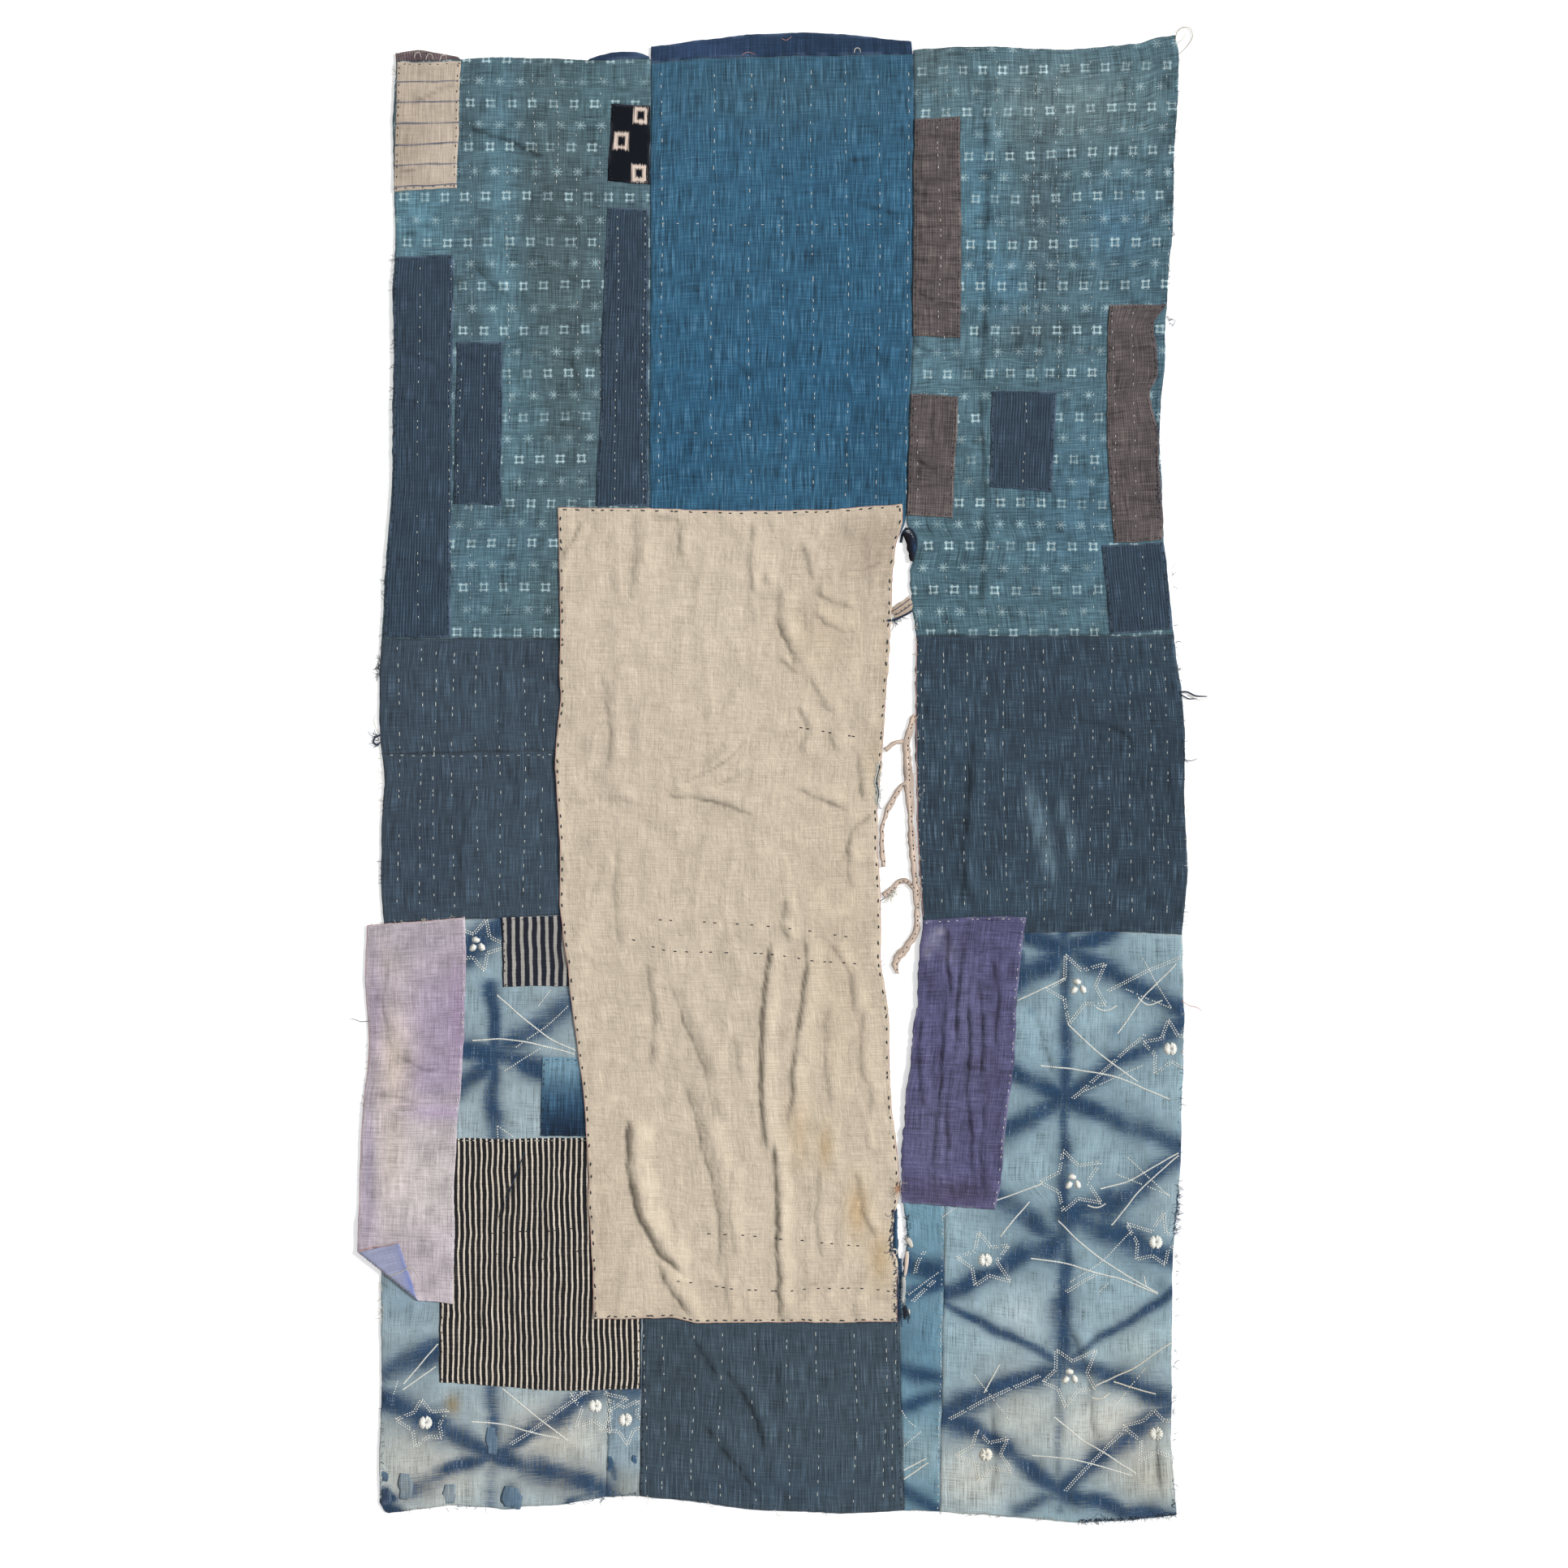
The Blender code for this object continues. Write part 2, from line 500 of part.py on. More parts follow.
def solid(sheet):
    """The closed mesh of a sheet: upper face, under face and rim, in board millimetres and +Z up."""
    outline = tidied(sheet.outline)
    if sheet.base == ON_TABLE:
        outline = inset(outline, SEAM_GAP / 2)
    lines = [rib for crease in CREASES if crease.sheet == sheet.name for rib in crease_ribs(crease)]
    for lift in LIFTS:
        if lift.sheet == sheet.name:
            lines += [box_loop(lift, 0.0), box_loop(lift, SLOPE)]
    is_turned = sheet.name == "lavender_patch"
    if is_turned:
        lines += bend_lines()
    flat, faces = triangles(outline, lines)
    half = sheet.thickness / 2
    upper, under = [], []
    for point in flat:
        place, height, tilt = turn_over(point) if is_turned else (point, 0.0, Vector((0, 0, 1)))
        middle = Vector((place.x, place.y, sheet.base + half + height + relief(sheet.name, place)))
        upper.append(middle + tilt * half)
        under.append(middle - tilt * half)
    count = len(flat)
    # Board y runs down, so a triangle that turns left on the board faces down once it is placed
    skin = [face[::-1] for face in faces]
    skin += [[index + count for index in face] for face in faces]
    for a, b in rim(faces):
        skin += [[a, b, b + count], [a, b + count, a + count]]
    return upper + under, skin


def tape_outline(rows):
    """The outline of a narrow tape that follows a path with a width at each point."""
    left, right = [], []
    for index, (x, y, width) in enumerate(rows):
        before, after = rows[max(0, index - 1)], rows[min(len(rows) - 1, index + 1)]
        direction = Vector((after[0] - before[0], after[1] - before[1])).normalized()
        aside = Vector((-direction.y, direction.x)) * width / 2
        left.append(Vector((x, y)) + aside)
        right.append(Vector((x, y)) - aside)
    return left + right[::-1]


def all_sheets():
    """Every cloth of the part, from the ground up."""
    for name, cloth, outline in ground_outlines():
        yield Sheet(name, cloth, ON_TABLE, GROUND_THICK, outline)
    for name, cloth, outline in PATCHES:
        yield Sheet(name, cloth, ON_GROUND, PATCH_THICK, outline)
    yield Sheet("linen_panel", "linen", ON_GROUND, LINEN_THICK, LINEN_OUTLINE)
    for tape in TAPES:
        yield Sheet(tape.name, tape.cloth, tape.base, PATCH_THICK, tape_outline(tape.rows))


def linear(value):
    """An sRGB channel, 0 to 255, as linear light."""
    value /= 255
    return value / 12.92 if value <= 0.04045 else ((value + 0.055) / 1.055) ** 2.4


def make_material(name, cloth):
    """A matt cloth material."""
    material = bpy.data.materials.new(name)
    material.use_nodes = True
    shader = material.node_tree.nodes["Principled BSDF"]
    channels = [linear(int(cloth.colour[start:start + 2], 16)) for start in (1, 3, 5)]
    shader.inputs["Base Color"].default_value = (*channels, 1)
    shader.inputs["Roughness"].default_value = cloth.roughness
    shader.inputs["Metallic"].default_value = 0
    return material


def add_sheet(sheet, parent, material):
    """Makes a sheet's object, with its origin at the middle of its outline."""
    points, faces = solid(sheet)
    middle_x = (min(p.x for p in points) + max(p.x for p in points)) / 2
    middle_y = (min(p.y for p in points) + max(p.y for p in points)) / 2
    mesh = bpy.data.meshes.new(sheet.name)
    local = [((p.x - middle_x) * MM, (middle_y - p.y) * MM, p.z * MM) for p in points]
    mesh.from_pydata(local, [], faces)
    mesh.materials.append(material)
    cloth = bpy.data.objects.new(sheet.name, mesh)
    cloth.location = ((middle_x - BOARD_X) * MM, (BOARD_Y - middle_y) * MM, 0)
    cloth.parent = parent
    bpy.context.scene.collection.objects.link(cloth)


def main():
    """Clears the scene and lays the cloth."""
    for old in list(bpy.data.objects):
        bpy.data.objects.remove(old, do_unlink=True)
    materials = {name: make_material(name, cloth) for name, cloth in CLOTHS.items()}
    whole = bpy.data.objects.new("boro_cloth", None)
    bpy.context.scene.collection.objects.link(whole)
    for sheet in all_sheets():
        add_sheet(sheet, whole, materials[sheet.cloth])


main()
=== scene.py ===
"""A boro patched cloth, laid flat and face up on a pale floor.

Three loom-width columns of old cotton are sewn side by side and mended with patches, and one long linen
panel lies over the lower middle. Places are written in millimetres on a laying board, x to the right and
y down from its top left corner, and board() turns them to metres in the part's own frame.
"""

import logging
from collections.abc import Sequence
from dataclasses import dataclass, field
from enum import Enum

import bpy
import numpy as np
from numpy.typing import NDArray
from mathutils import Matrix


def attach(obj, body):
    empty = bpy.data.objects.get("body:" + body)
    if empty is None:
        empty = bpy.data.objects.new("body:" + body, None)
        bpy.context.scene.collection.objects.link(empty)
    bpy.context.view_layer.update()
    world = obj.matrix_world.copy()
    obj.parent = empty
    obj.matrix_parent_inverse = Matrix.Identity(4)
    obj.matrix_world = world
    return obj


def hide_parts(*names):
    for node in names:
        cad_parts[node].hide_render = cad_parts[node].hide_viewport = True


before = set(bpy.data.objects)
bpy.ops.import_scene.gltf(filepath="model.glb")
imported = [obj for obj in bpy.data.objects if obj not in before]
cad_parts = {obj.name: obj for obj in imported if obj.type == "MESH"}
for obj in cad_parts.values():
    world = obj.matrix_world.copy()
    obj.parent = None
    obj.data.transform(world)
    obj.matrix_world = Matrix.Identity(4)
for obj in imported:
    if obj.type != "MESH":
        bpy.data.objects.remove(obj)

LOG = logging.getLogger("boro_cloth")

Array = NDArray[np.float64]
Point = tuple[float, float]
Line = Sequence[Point]

MM = 0.001
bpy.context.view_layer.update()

# The middle of the cloth on the laying board, and the middle of the photograph's frame
BOARD_X = 952.0
BOARD_Y = 958.0
FRAME_MIDDLE = 966.0
FRAME_SIDE = 1932.0

# Thickness of each kind of sheet, the height that a patch starts from, and a climb over a patch's edge
GROUND_THICK = 1.6
PATCH_THICK = 1.0
LINEN_THICK = 1.2
ON_TABLE = 0.0
ON_GROUND = 1.9
PATCH_STEP = 1.3
SLOPE = 14.0

# A hem thins over this width, to this share of the cloth's thickness
HEM_WIDTH = 3.2
HEM_SHARE = 0.4

# Upright edges of the columns. Rows: y, x
OUTER_LEFT = [
    (76, 488), (142, 484), (237, 486), (300, 487), (352, 484), (431, 486), (520, 484), (612, 482),
    (681, 476), (757, 472), (831, 468), (908, 468), (933, 472), (959, 475), (1010, 470), (1099, 470),
    (1137, 473), (1540, 470), (1710, 470), (1786, 468), (1850, 468),
]
OUTER_RIGHT = [
    (44, 1447), (66, 1452), (122, 1451), (186, 1447), (250, 1446), (352, 1439), (451, 1434), (540, 1428),
    (617, 1433), (672, 1434), (780, 1446), (818, 1450), (851, 1455), (895, 1459), (1010, 1460),
    (1073, 1463), (1151, 1456), (1248, 1459), (1400, 1455), (1452, 1453), (1560, 1444), (1721, 1444),
    (1775, 1442), (1815, 1446), (1866, 1450),
]
SEAM_LEFT = [(74, 802), (224, 801), (626, 800), (1624, 792), (1710, 791), (1843, 787)]
SEAM_RIGHT_HEAD = [(62, 1125), (142, 1127), (250, 1125), (420, 1124), (486, 1121), (620, 1119), (648, 1116)]
SEAM_RIGHT_FOOT = [(1600, 1108), (1628, 1107), (1710, 1109), (1799, 1112), (1861, 1113)]
MIDDLE_TORN = [
    (670, 1101), (706, 1096), (757, 1094), (844, 1088), (908, 1085), (997, 1077), (1048, 1077),
    (1099, 1081), (1180, 1081), (1222, 1087), (1263, 1092), (1324, 1091), (1375, 1095), (1426, 1102),
    (1482, 1104), (1510, 1105), (1540, 1106), (1564, 1105),
]
RIGHT_TORN = [
    (660, 1128), (672, 1130), (693, 1124), (706, 1120), (744, 1123), (783, 1128), (882, 1128),
    (984, 1129), (1061, 1132), (1112, 1135), (1140, 1137), (1184, 1136), (1248, 1132), (1304, 1126),
    (1350, 1119), (1400, 1114), (1470, 1111), (1486, 1112), (1510, 1117), (1540, 1116), (1564, 1111),
]
MIDDLE_RIGHT = SEAM_RIGHT_HEAD + MIDDLE_TORN + SEAM_RIGHT_FOOT
RIGHT_LEFT = SEAM_RIGHT_HEAD + RIGHT_TORN + SEAM_RIGHT_FOOT
BLUE_TOP = [(802, 79), (856, 72), (933, 70), (1124, 67)]
STRIP_LEFT_SIDE = [(753, 1628), (751, 1710), (746, 1844)]
STRIP_RIGHT_SIDE = [(1164, 1474), (1158, 1862)]

# The lavender patch's turned corner: the fold line, where the tip lies, bend radius and lift of the tip
TURN_START = (441.0, 1540.0)
TURN_END = (518.0, 1602.0)
TURNED_TIP = (495.0, 1527.0)
BEND_RADIUS = 1.3
TIP_LIFT = 4.0


def linear(colour: str) -> Array:
    """Turns an sRGB hex colour to linear light.

    Args:
        colour: "#RRGGBB".

    Returns:
        Red, green and blue, 0 to 1.
    """
    code = np.array([int(colour[start:start + 2], 16) for start in (1, 3, 5)]) / 255
    return np.where(code <= 0.04045, code / 12.92, ((code + 0.055) / 1.055) ** 2.4)


def smooth(low: float, high: float, value: Array) -> Array:
    """A soft step: 0 up to low, 1 from high, and the cubic 3t^2 - 2t^3 between them."""
    part = np.clip((value - low) / (high - low), 0, 1)
    return part * part * (3 - 2 * part)


def board(x: Array, y: Array, z: Array) -> Array:
    """Board millimetres to metres in the part's frame: x from the middle, y turned upwards."""
    return np.stack([(x - BOARD_X) * MM, (BOARD_Y - y) * MM, z * MM], axis=-1)


class Unevenness:
    """Smooth value noise over the board, the same in each run."""

    SIZE = 64

    def __init__(self, seed: int) -> None:
        """Draws the table of corner values."""
        self.table = np.random.default_rng(seed).random((self.SIZE, self.SIZE))

    def at(self, x: Array, y: Array, wave: float) -> Array:
        """Value noise: corner values a wave apart, joined by soft steps along x and y.

        Args:
            x: Board places.
            y: Board places.
            wave: Distance between corner values in mm.

        Returns:
            Values from 0 to 1.
        """
        across, down = np.broadcast_arrays(np.asarray(x, float) / wave, np.asarray(y, float) / wave)
        column, row = np.floor(across).astype(int), np.floor(down).astype(int)
        s, t = smooth(0, 1, across - column), smooth(0, 1, down - row)
        corner = [
            [self.table[(row + j) % self.SIZE, (column + i) % self.SIZE] for i in (0, 1)] for j in (0, 1)
        ]
        upper = corner[0][0] * (1 - s) + corner[0][1] * s
        lower = corner[1][0] * (1 - s) + corner[1][1] * s
        return upper * (1 - t) + lower * t


ROLL = Unevenness(11)
RUMPLE = Unevenness(23)
SHIFT_X = Unevenness(31)
SHIFT_Y = Unevenness(47)
RAGGED = Unevenness(59)


def resample(line: Line | Array, count: int, shares: Array | None = None) -> Array:
    """Points spaced evenly, or at the given shares, along a line's length.

    Args:
        line: Points of the line.
        count: Number of points where no shares are given.
        shares: Places along the line, 0 to 1.

    Returns:
        Points, one row each.
    """
    points = np.asarray(line, float)
    along = np.concatenate([[0], np.cumsum(np.linalg.norm(np.diff(points, axis=0), axis=1))])
    wanted = (np.linspace(0, 1, count) if shares is None else shares) * along[-1]
    return np.stack([np.interp(wanted, along, points[:, axis]) for axis in range(points.shape[1])], axis=1)


def softened(line: Line | Array, step: float = 3.0, width: int = 5) -> Array:
    """A line with its corners rounded: resampled at a step, then a moving mean that keeps both ends."""
    points = np.asarray(line, float)
    length = np.linalg.norm(np.diff(points, axis=0), axis=1).sum()
    fine = resample(points, max(4, int(length / step) + 1))
    padded = np.concatenate([2 * fine[:1] - fine[width:0:-1], fine, 2 * fine[-1:] - fine[-2:-width - 2:-1]]) \
        if len(fine) > width + 1 else None
    if padded is None:
        return fine
    weights = np.hanning(2 * width + 3)[1:-1]
    weights /= weights.sum()
    return np.stack([np.convolve(padded[:, axis], weights, "valid") for axis in range(2)], axis=1)


def upright(edge: Line) -> Array:
    """An upright edge table, rows y and x, as a softened line of points x and y."""
    return softened([(x, y) for y, x in edge])


EDGES = {
    "outer_left": upright(OUTER_LEFT),
    "outer_right": upright(OUTER_RIGHT),
    "seam_left": upright(SEAM_LEFT),
    "middle_right": upright(MIDDLE_RIGHT),
    "right_left": upright(RIGHT_LEFT),
}


def span(edge: str, start: float, stop: float) -> Array:
    """The stretch of an upright edge from y start to y stop.

    Args:
        edge: A name in EDGES.
        start: Upper y.
        stop: Lower y.

    Returns:
        Points (x, y) from the top down.
    """
    line = EDGES[edge]
    inner = line[(line[:, 1] > start + 0.5) & (line[:, 1] < stop - 0.5)]
    ends = [(float(np.interp(y, line[:, 1], line[:, 0])), y) for y in (start, stop)]
    return np.concatenate([[ends[0]], inner, [ends[1]]])


@dataclass(frozen=True)
class Crease:
    """A soft fold: a flank that rises from its foot line to a crest, and a longer fall beyond it.

    The path is the foot line, drawn downwards or to the right. The crest lies on its right, or above it.
    """

    layer: str
    flank: float
    fall: float
    height: float
    path: Line
    taper: float = 26.0

    def rise(self, x: Array, y: Array) -> tuple[Array, Array]:
        """Height over the board: the side distance d from the foot gives sin^2 up to the crest, then cos^2.

        Args:
            x: Board places, any shape.
            y: Board places, same shape.

        Returns:
            Height in mm, and painted shade along the foot line as exp(-d^2): how much the colour is darkened
            where the fold's shade falls. Both fade to nothing at the ends of the path.
        """
        line = softened(self.path, 4.0, 3)
        reach = self.flank + self.fall
        low, high = line.min(axis=0) - reach, line.max(axis=0) + reach
        near = (x > low[0]) & (x < high[0]) & (y > low[1]) & (y < high[1])
        rise, painted_shade = np.zeros(np.shape(x)), np.zeros(np.shape(x))
        if not near.any():
            return rise, painted_shade
        spot = np.stack([x[near], y[near]], axis=-1)
        start, side = line[:-1], np.diff(line, axis=0)
        length = np.linalg.norm(side, axis=1)
        before = np.concatenate([[0], np.cumsum(length)])
        reached = spot[:, None] - start
        part = np.clip((reached * side).sum(-1) / length ** 2, 0, 1)
        gap = np.linalg.norm(reached - part[..., None] * side, axis=-1)
        best = gap.argmin(axis=1)
        rows = np.arange(len(spot))
        along = before[best] + part[rows, best] * length[best]
        sideways = reached[rows, best, 0] * side[best, 1] - reached[rows, best, 1] * side[best, 0]
        distance = gap[rows, best] * np.sign(sideways)
        shaken = 0.5 * RUMPLE.at(x[near], y[near], 15) + 0.5 * RUMPLE.at(x[near] + 60, y[near], 7) - 0.5
        distance = distance + min(5.0, 0.8 * self.flank) * shaken
        up = np.sin(np.clip(distance / self.flank, 0, 1) * np.pi / 2) ** 1.3
        down = np.cos(np.clip((distance - self.flank) / self.fall, 0, 1) * np.pi / 2) ** 2
        ends = smooth(0, 1, along / self.taper) * smooth(0, 1, (before[-1] - along) / self.taper)
        ends = ends * (0.55 + 0.9 * SHIFT_Y.at(along, along * 0 + 7 * self.height, 19))
        rise[near] = self.height * up * down * ends
        # Painted shade: the colour along the foot line is darkened where the fold's shade falls
        strength = 0.14 if self.layer == "linen_panel" else 0.2
        painted_shade[near] = np.minimum(0.55, strength * self.height * np.exp(-((distance - 1.0) / 1.7) ** 2) * ends)
        return rise, painted_shade


@dataclass(frozen=True)
class Lift:
    """A box on the board over which a sheet lies higher or lower, with a slope all round."""

    sheet: str
    left: float
    right: float
    top: float
    bottom: float
    rise: float

    def height(self, x: Array, y: Array) -> Array:
        """The full rise inside the box, falling softly to nothing over the slope's width."""
        out_x = np.maximum(np.maximum(self.left - x, x - self.right), 0)
        out_y = np.maximum(np.maximum(self.top - y, y - self.bottom), 0)
        return self.rise * smooth(0, 1, 1 - np.maximum(out_x, out_y) / SLOPE)


# Layer "ground" lifts every sheet that lies over the place. Each row: flank, fall, height, foot line, and
# the taper where it is not the usual one
CREASE_ROWS = (
    ("linen_panel", (
        (10, 26, 6.5, [(773, 1372), (772, 1422), (775, 1450), (783, 1487), (796, 1519), (811, 1544),
            (836, 1566), (846, 1572)]),
        (8, 20, 3.6, [(811, 1553), (817, 1578), (833, 1597), (855, 1628)]),
        (4.5, 20, 4.2, [(950, 1155), (942, 1203), (939, 1244), (937, 1291), (937, 1337), (939, 1375),
            (943, 1422)]),
        (6, 18, 4.0, [(954, 1402), (952, 1431), (956, 1456), (958, 1490), (956, 1530), (958, 1580),
            (960, 1634)]),
        (5, 22, 3.4, [(988, 1146), (992, 1169), (993, 1197), (989, 1219), (980, 1275), (974, 1325),
            (975, 1350), (969, 1392)]),
        (14, 24, 2.6, [(824, 1206), (842, 1259), (864, 1306), (875, 1353), (880, 1390)]),
        (16, 22, 3.4, [(843, 1330), (860, 1394), (875, 1447), (884, 1490), (886, 1540), (880, 1569)]),
        (6, 16, 1.6, [(1072, 1330), (1069, 1384)]), (6, 14, 1.5, [(1061, 1384), (1067, 1424)]),
        (7, 16, 1.6, [(902, 1265), (908, 1300), (912, 1340)]),
        (8, 14, 1.8, [(866, 1566), (872, 1585), (884, 1600)]),
        (7, 14, 1.8, [(892, 1560), (892, 1594), (902, 1630)]),
        (9, 22, 1.8, [(780, 622), (782, 686), (776, 745)]), (8, 20, 1.3, [(844, 626), (844, 684)]),
        (6, 16, 1.8, [(944, 628), (954, 670)]), (5, 14, 1.8, [(942, 700), (942, 726)], 12),
        (9, 20, 3.4, [(958, 718), (957, 763), (963, 781), (972, 800), (981, 836)]),
        (5, 18, 2.4, [(986, 664), (994, 694), (1001, 718)], 16),
        (6, 18, 2.4, [(1000, 754), (1015, 769), (1044, 782)], 16),
        (6, 18, 1.8, [(994, 830), (1012, 867), (1032, 884)], 16),
        (8, 16, 2.0, [(975, 868), (991, 885), (994, 901), (978, 930)], 16),
        (6, 16, 1.8, [(1018, 900), (1032, 932)], 14), (6, 18, 2.4, [(1052, 920), (1058, 955), (1062, 996)]),
        (6, 18, 2.4, [(834, 970), (874, 950), (902, 934), (924, 906)]),
        (7, 16, 1.5, [(696, 992), (761, 983), (796, 998)]),
        (6, 20, 2.6, [(815, 982), (856, 983), (886, 990), (905, 996), (936, 1010)]),
        (6, 14, 1.8, [(876, 974), (927, 946)], 16), (6, 18, 2.4, [(970, 972), (1003, 982), (1050, 1004)]),
        (6, 18, 2.0, [(1049, 1034), (1043, 1069), (1047, 1100)]),
        (7, 20, 1.6, [(740, 820), (752, 900), (748, 960)]),
        (8, 22, 1.5, [(762, 1030), (756, 1100), (764, 1180)]),
        (8, 24, 1.6, [(1020, 1230), (1014, 1300), (1022, 1370)]),
        (7, 20, 1.6, [(1010, 1430), (1004, 1500), (1012, 1560)]),
    )),
    ("ground", (
        (6, 16, 3.0, [(849, 1645), (868, 1670), (887, 1704)]),
        (7, 18, 3.6, [(884, 1681), (913, 1712), (930, 1745), (943, 1790)]),
        (7, 18, 3.0, [(862, 1750), (902, 1800), (936, 1845)]), (6, 16, 2.2, [(959, 1680), (961, 1750)]),
        (4, 16, 3.2, [(577, 158), (625, 175), (674, 196)], 12),
        (6, 18, 2.4, [(577, 320), (600, 346), (628, 370)]), (6, 16, 1.6, [(686, 334), (730, 360)]),
        (6, 20, 2.2, [(1212, 72), (1214, 250), (1212, 420), (1206, 474)]),
        (6, 20, 2.0, [(1211, 618), (1207, 745)]), (6, 16, 1.6, [(1286, 645), (1334, 670)]),
        (5, 16, 2.6, [(1006, 216), (1040, 201), (1082, 198)]),
        (5, 16, 2.4, [(1044, 250), (1080, 258), (1116, 270)]),
        (6, 16, 2.2, [(1066, 414), (1084, 440), (1097, 470)]), (6, 16, 1.8, [(876, 426), (938, 474)]),
        (7, 18, 1.8, [(954, 500), (960, 560), (948, 606)]), (6, 16, 1.8, [(568, 808), (605, 846)]),
        (6, 18, 2.2, [(614, 812), (620, 869), (612, 918)]),
        (6, 18, 2.2, [(582, 988), (564, 1035), (566, 1116)]),
        (6, 16, 1.8, [(631, 938), (637, 971), (627, 1010)]),
        (5, 20, 3.2, [(1198, 900), (1192, 984), (1184, 1061), (1190, 1118)]),
        (6, 18, 2.8, [(1312, 886), (1379, 900), (1403, 924)]), (6, 16, 1.8, [(1320, 979), (1366, 986)]),
        (6, 16, 2.2, [(1270, 1033), (1322, 1054)]), (5, 12, 2.4, [(1439, 932), (1443, 1008)]),
        (8, 22, 2.0, [(1298, 1596), (1340, 1690), (1348, 1784)]), (7, 20, 1.8, [(1274, 1246), (1298, 1334)]),
        (7, 18, 2.2, [(1432, 1740), (1424, 1790), (1430, 1850)]),
        (8, 20, 1.8, [(1218, 1700), (1226, 1790), (1220, 1850)]),
    )),
    ("navy_left_long", (
        (5, 14, 2.0, [(492, 432), (550, 454)]), (5, 14, 1.6, [(488, 612), (548, 613)]),
    )),
    ("purple_patch", (
        (5, 14, 2.6, [(1189, 1150), (1182, 1195), (1177, 1244), (1176, 1300)]),
        (5, 14, 2.4, [(1197, 1195), (1191, 1232), (1194, 1294), (1189, 1345), (1197, 1394), (1196, 1455)]),
        (5, 12, 2.0, [(1163, 1226), (1158, 1330), (1146, 1445)]),
        (4, 12, 1.8, [(1200, 1180), (1212, 1171), (1242, 1167)], 10),
        (5, 12, 1.6, [(1125, 1377), (1204, 1366)]), (4, 12, 1.4, [(1150, 1436), (1150, 1478)], 12),
    )),
    ("stripe_patch_large", (
        (6, 16, 1.8, [(646, 1416), (628, 1500), (618, 1560), (646, 1664)]),
        (6, 16, 1.6, [(581, 1556), (597, 1664)]), (6, 16, 1.4, [(690, 1560), (686, 1680)]),
        (5, 14, 1.4, [(668, 1440), (676, 1540)]), (4, 12, 3.4, [(646, 1424), (632, 1460), (612, 1504)], 10),
    )),
    ("brown_upper", (
        (4, 12, 2.0, [(1128, 360), (1150, 372), (1180, 366)], 10),
        (4, 12, 1.8, [(1130, 398), (1146, 390), (1172, 398)], 10),
        (5, 14, 1.6, [(1128, 300), (1156, 306), (1182, 298)], 10),
        (5, 14, 1.4, [(1130, 226), (1180, 222)], 10),
    )),
    ("brown_lower", (
        (4, 12, 2.0, [(1126, 564), (1146, 580), (1170, 574)], 10),
        (4, 12, 1.6, [(1124, 604), (1166, 598)], 10),
    )),
    ("brown_edge", (
        (3, 10, 1.8, [(1366, 432), (1424, 430)], 6), (3, 10, 1.6, [(1368, 549), (1426, 549)], 6),
        (4, 12, 1.6, [(1374, 612), (1426, 622)], 10),
    )),
    ("tan_patch", (
        (4, 14, 1.8, [(512, 128), (536, 116), (562, 104)], 10), (4, 14, 1.4, [(492, 214), (530, 206)], 10),
    )),
    ("navy_strip", (
        (4, 12, 1.8, [(748, 388), (772, 380), (796, 386)], 10),
    )),
    ("navy_left_short", (
        (4, 12, 1.6, [(566, 440), (614, 448)], 10),
    )),
    ("navy_left_long", (
        (4, 12, 1.8, [(490, 490), (520, 500), (552, 496)], 10), (4, 12, 1.6, [(482, 688), (550, 700)], 10),
    )),
    ("linen_panel", (
        (5, 14, 2.0, [(1090, 690), (1062, 702), (1034, 700)], 12),
        (5, 14, 2.2, [(1000, 730), (1022, 742), (1056, 752)], 12),
        (4, 12, 2.0, [(958, 810), (984, 836)], 12),
        (5, 16, 2.2, [(1076, 1000), (1050, 1020), (1040, 1060)], 12),
        (5, 14, 1.8, [(800, 640), (838, 640), (836, 690)], 14),
        (5, 14, 1.6, [(926, 640), (922, 700), (930, 740)], 14),
        (6, 16, 2.0, [(968, 1100), (960, 1140), (974, 1166)], 14),
        (6, 16, 1.8, [(1020, 1160), (1046, 1200), (1050, 1250)], 14),
        (6, 16, 1.8, [(1064, 1240), (1058, 1300), (1064, 1340)], 14),
        (5, 14, 1.8, [(902, 1430), (898, 1500), (908, 1550)], 14),
        (6, 16, 1.6, [(796, 1180), (806, 1250), (800, 1320)], 16),
        (5, 14, 1.6, [(1052, 1440), (1064, 1500), (1080, 1530)], 14),
    )),
    ("ground", (
        (5, 14, 2.2, [(1122, 420), (1144, 436), (1180, 430)], 12),
        (5, 14, 2.0, [(1206, 480), (1214, 640), (1206, 760)], 14),
        (5, 14, 1.8, [(500, 276), (546, 284)], 12), (5, 14, 1.8, [(702, 440), (716, 480)], 12),
        (5, 14, 1.8, [(718, 640), (690, 690)], 12),
    )),
    ("brown_upper", (
        (4, 10, 1.5, [(1128, 172), (1152, 168), (1182, 173)], 8),
        (4, 10, 1.7, [(1127, 197), (1156, 193), (1182, 196)], 8),
        (4, 9, 1.6, [(1126, 240), (1150, 243), (1183, 238)], 8),
        (4, 9, 1.9, [(1126, 264), (1160, 262), (1183, 266)], 8),
        (4, 9, 1.5, [(1126, 282), (1150, 279), (1183, 281)], 8),
        (4, 9, 1.8, [(1126, 324), (1150, 320), (1183, 323)], 8),
        (4, 9, 1.9, [(1126, 346), (1144, 350), (1180, 342)], 8),
        (4, 9, 1.9, [(1140, 384), (1164, 374), (1182, 380)], 8),
    )),
    ("brown_lower", (
        (4, 10, 1.6, [(1150, 500), (1146, 530), (1152, 556)], 10),
    )),
    ("purple_patch", (
        (5, 12, 2.4, [(1168, 1140), (1165, 1180), (1170, 1230)], 12),
        (5, 12, 2.2, [(1204, 1200), (1210, 1260), (1206, 1330)], 14),
        (5, 12, 2.0, [(1222, 1180), (1230, 1230), (1224, 1290)], 14),
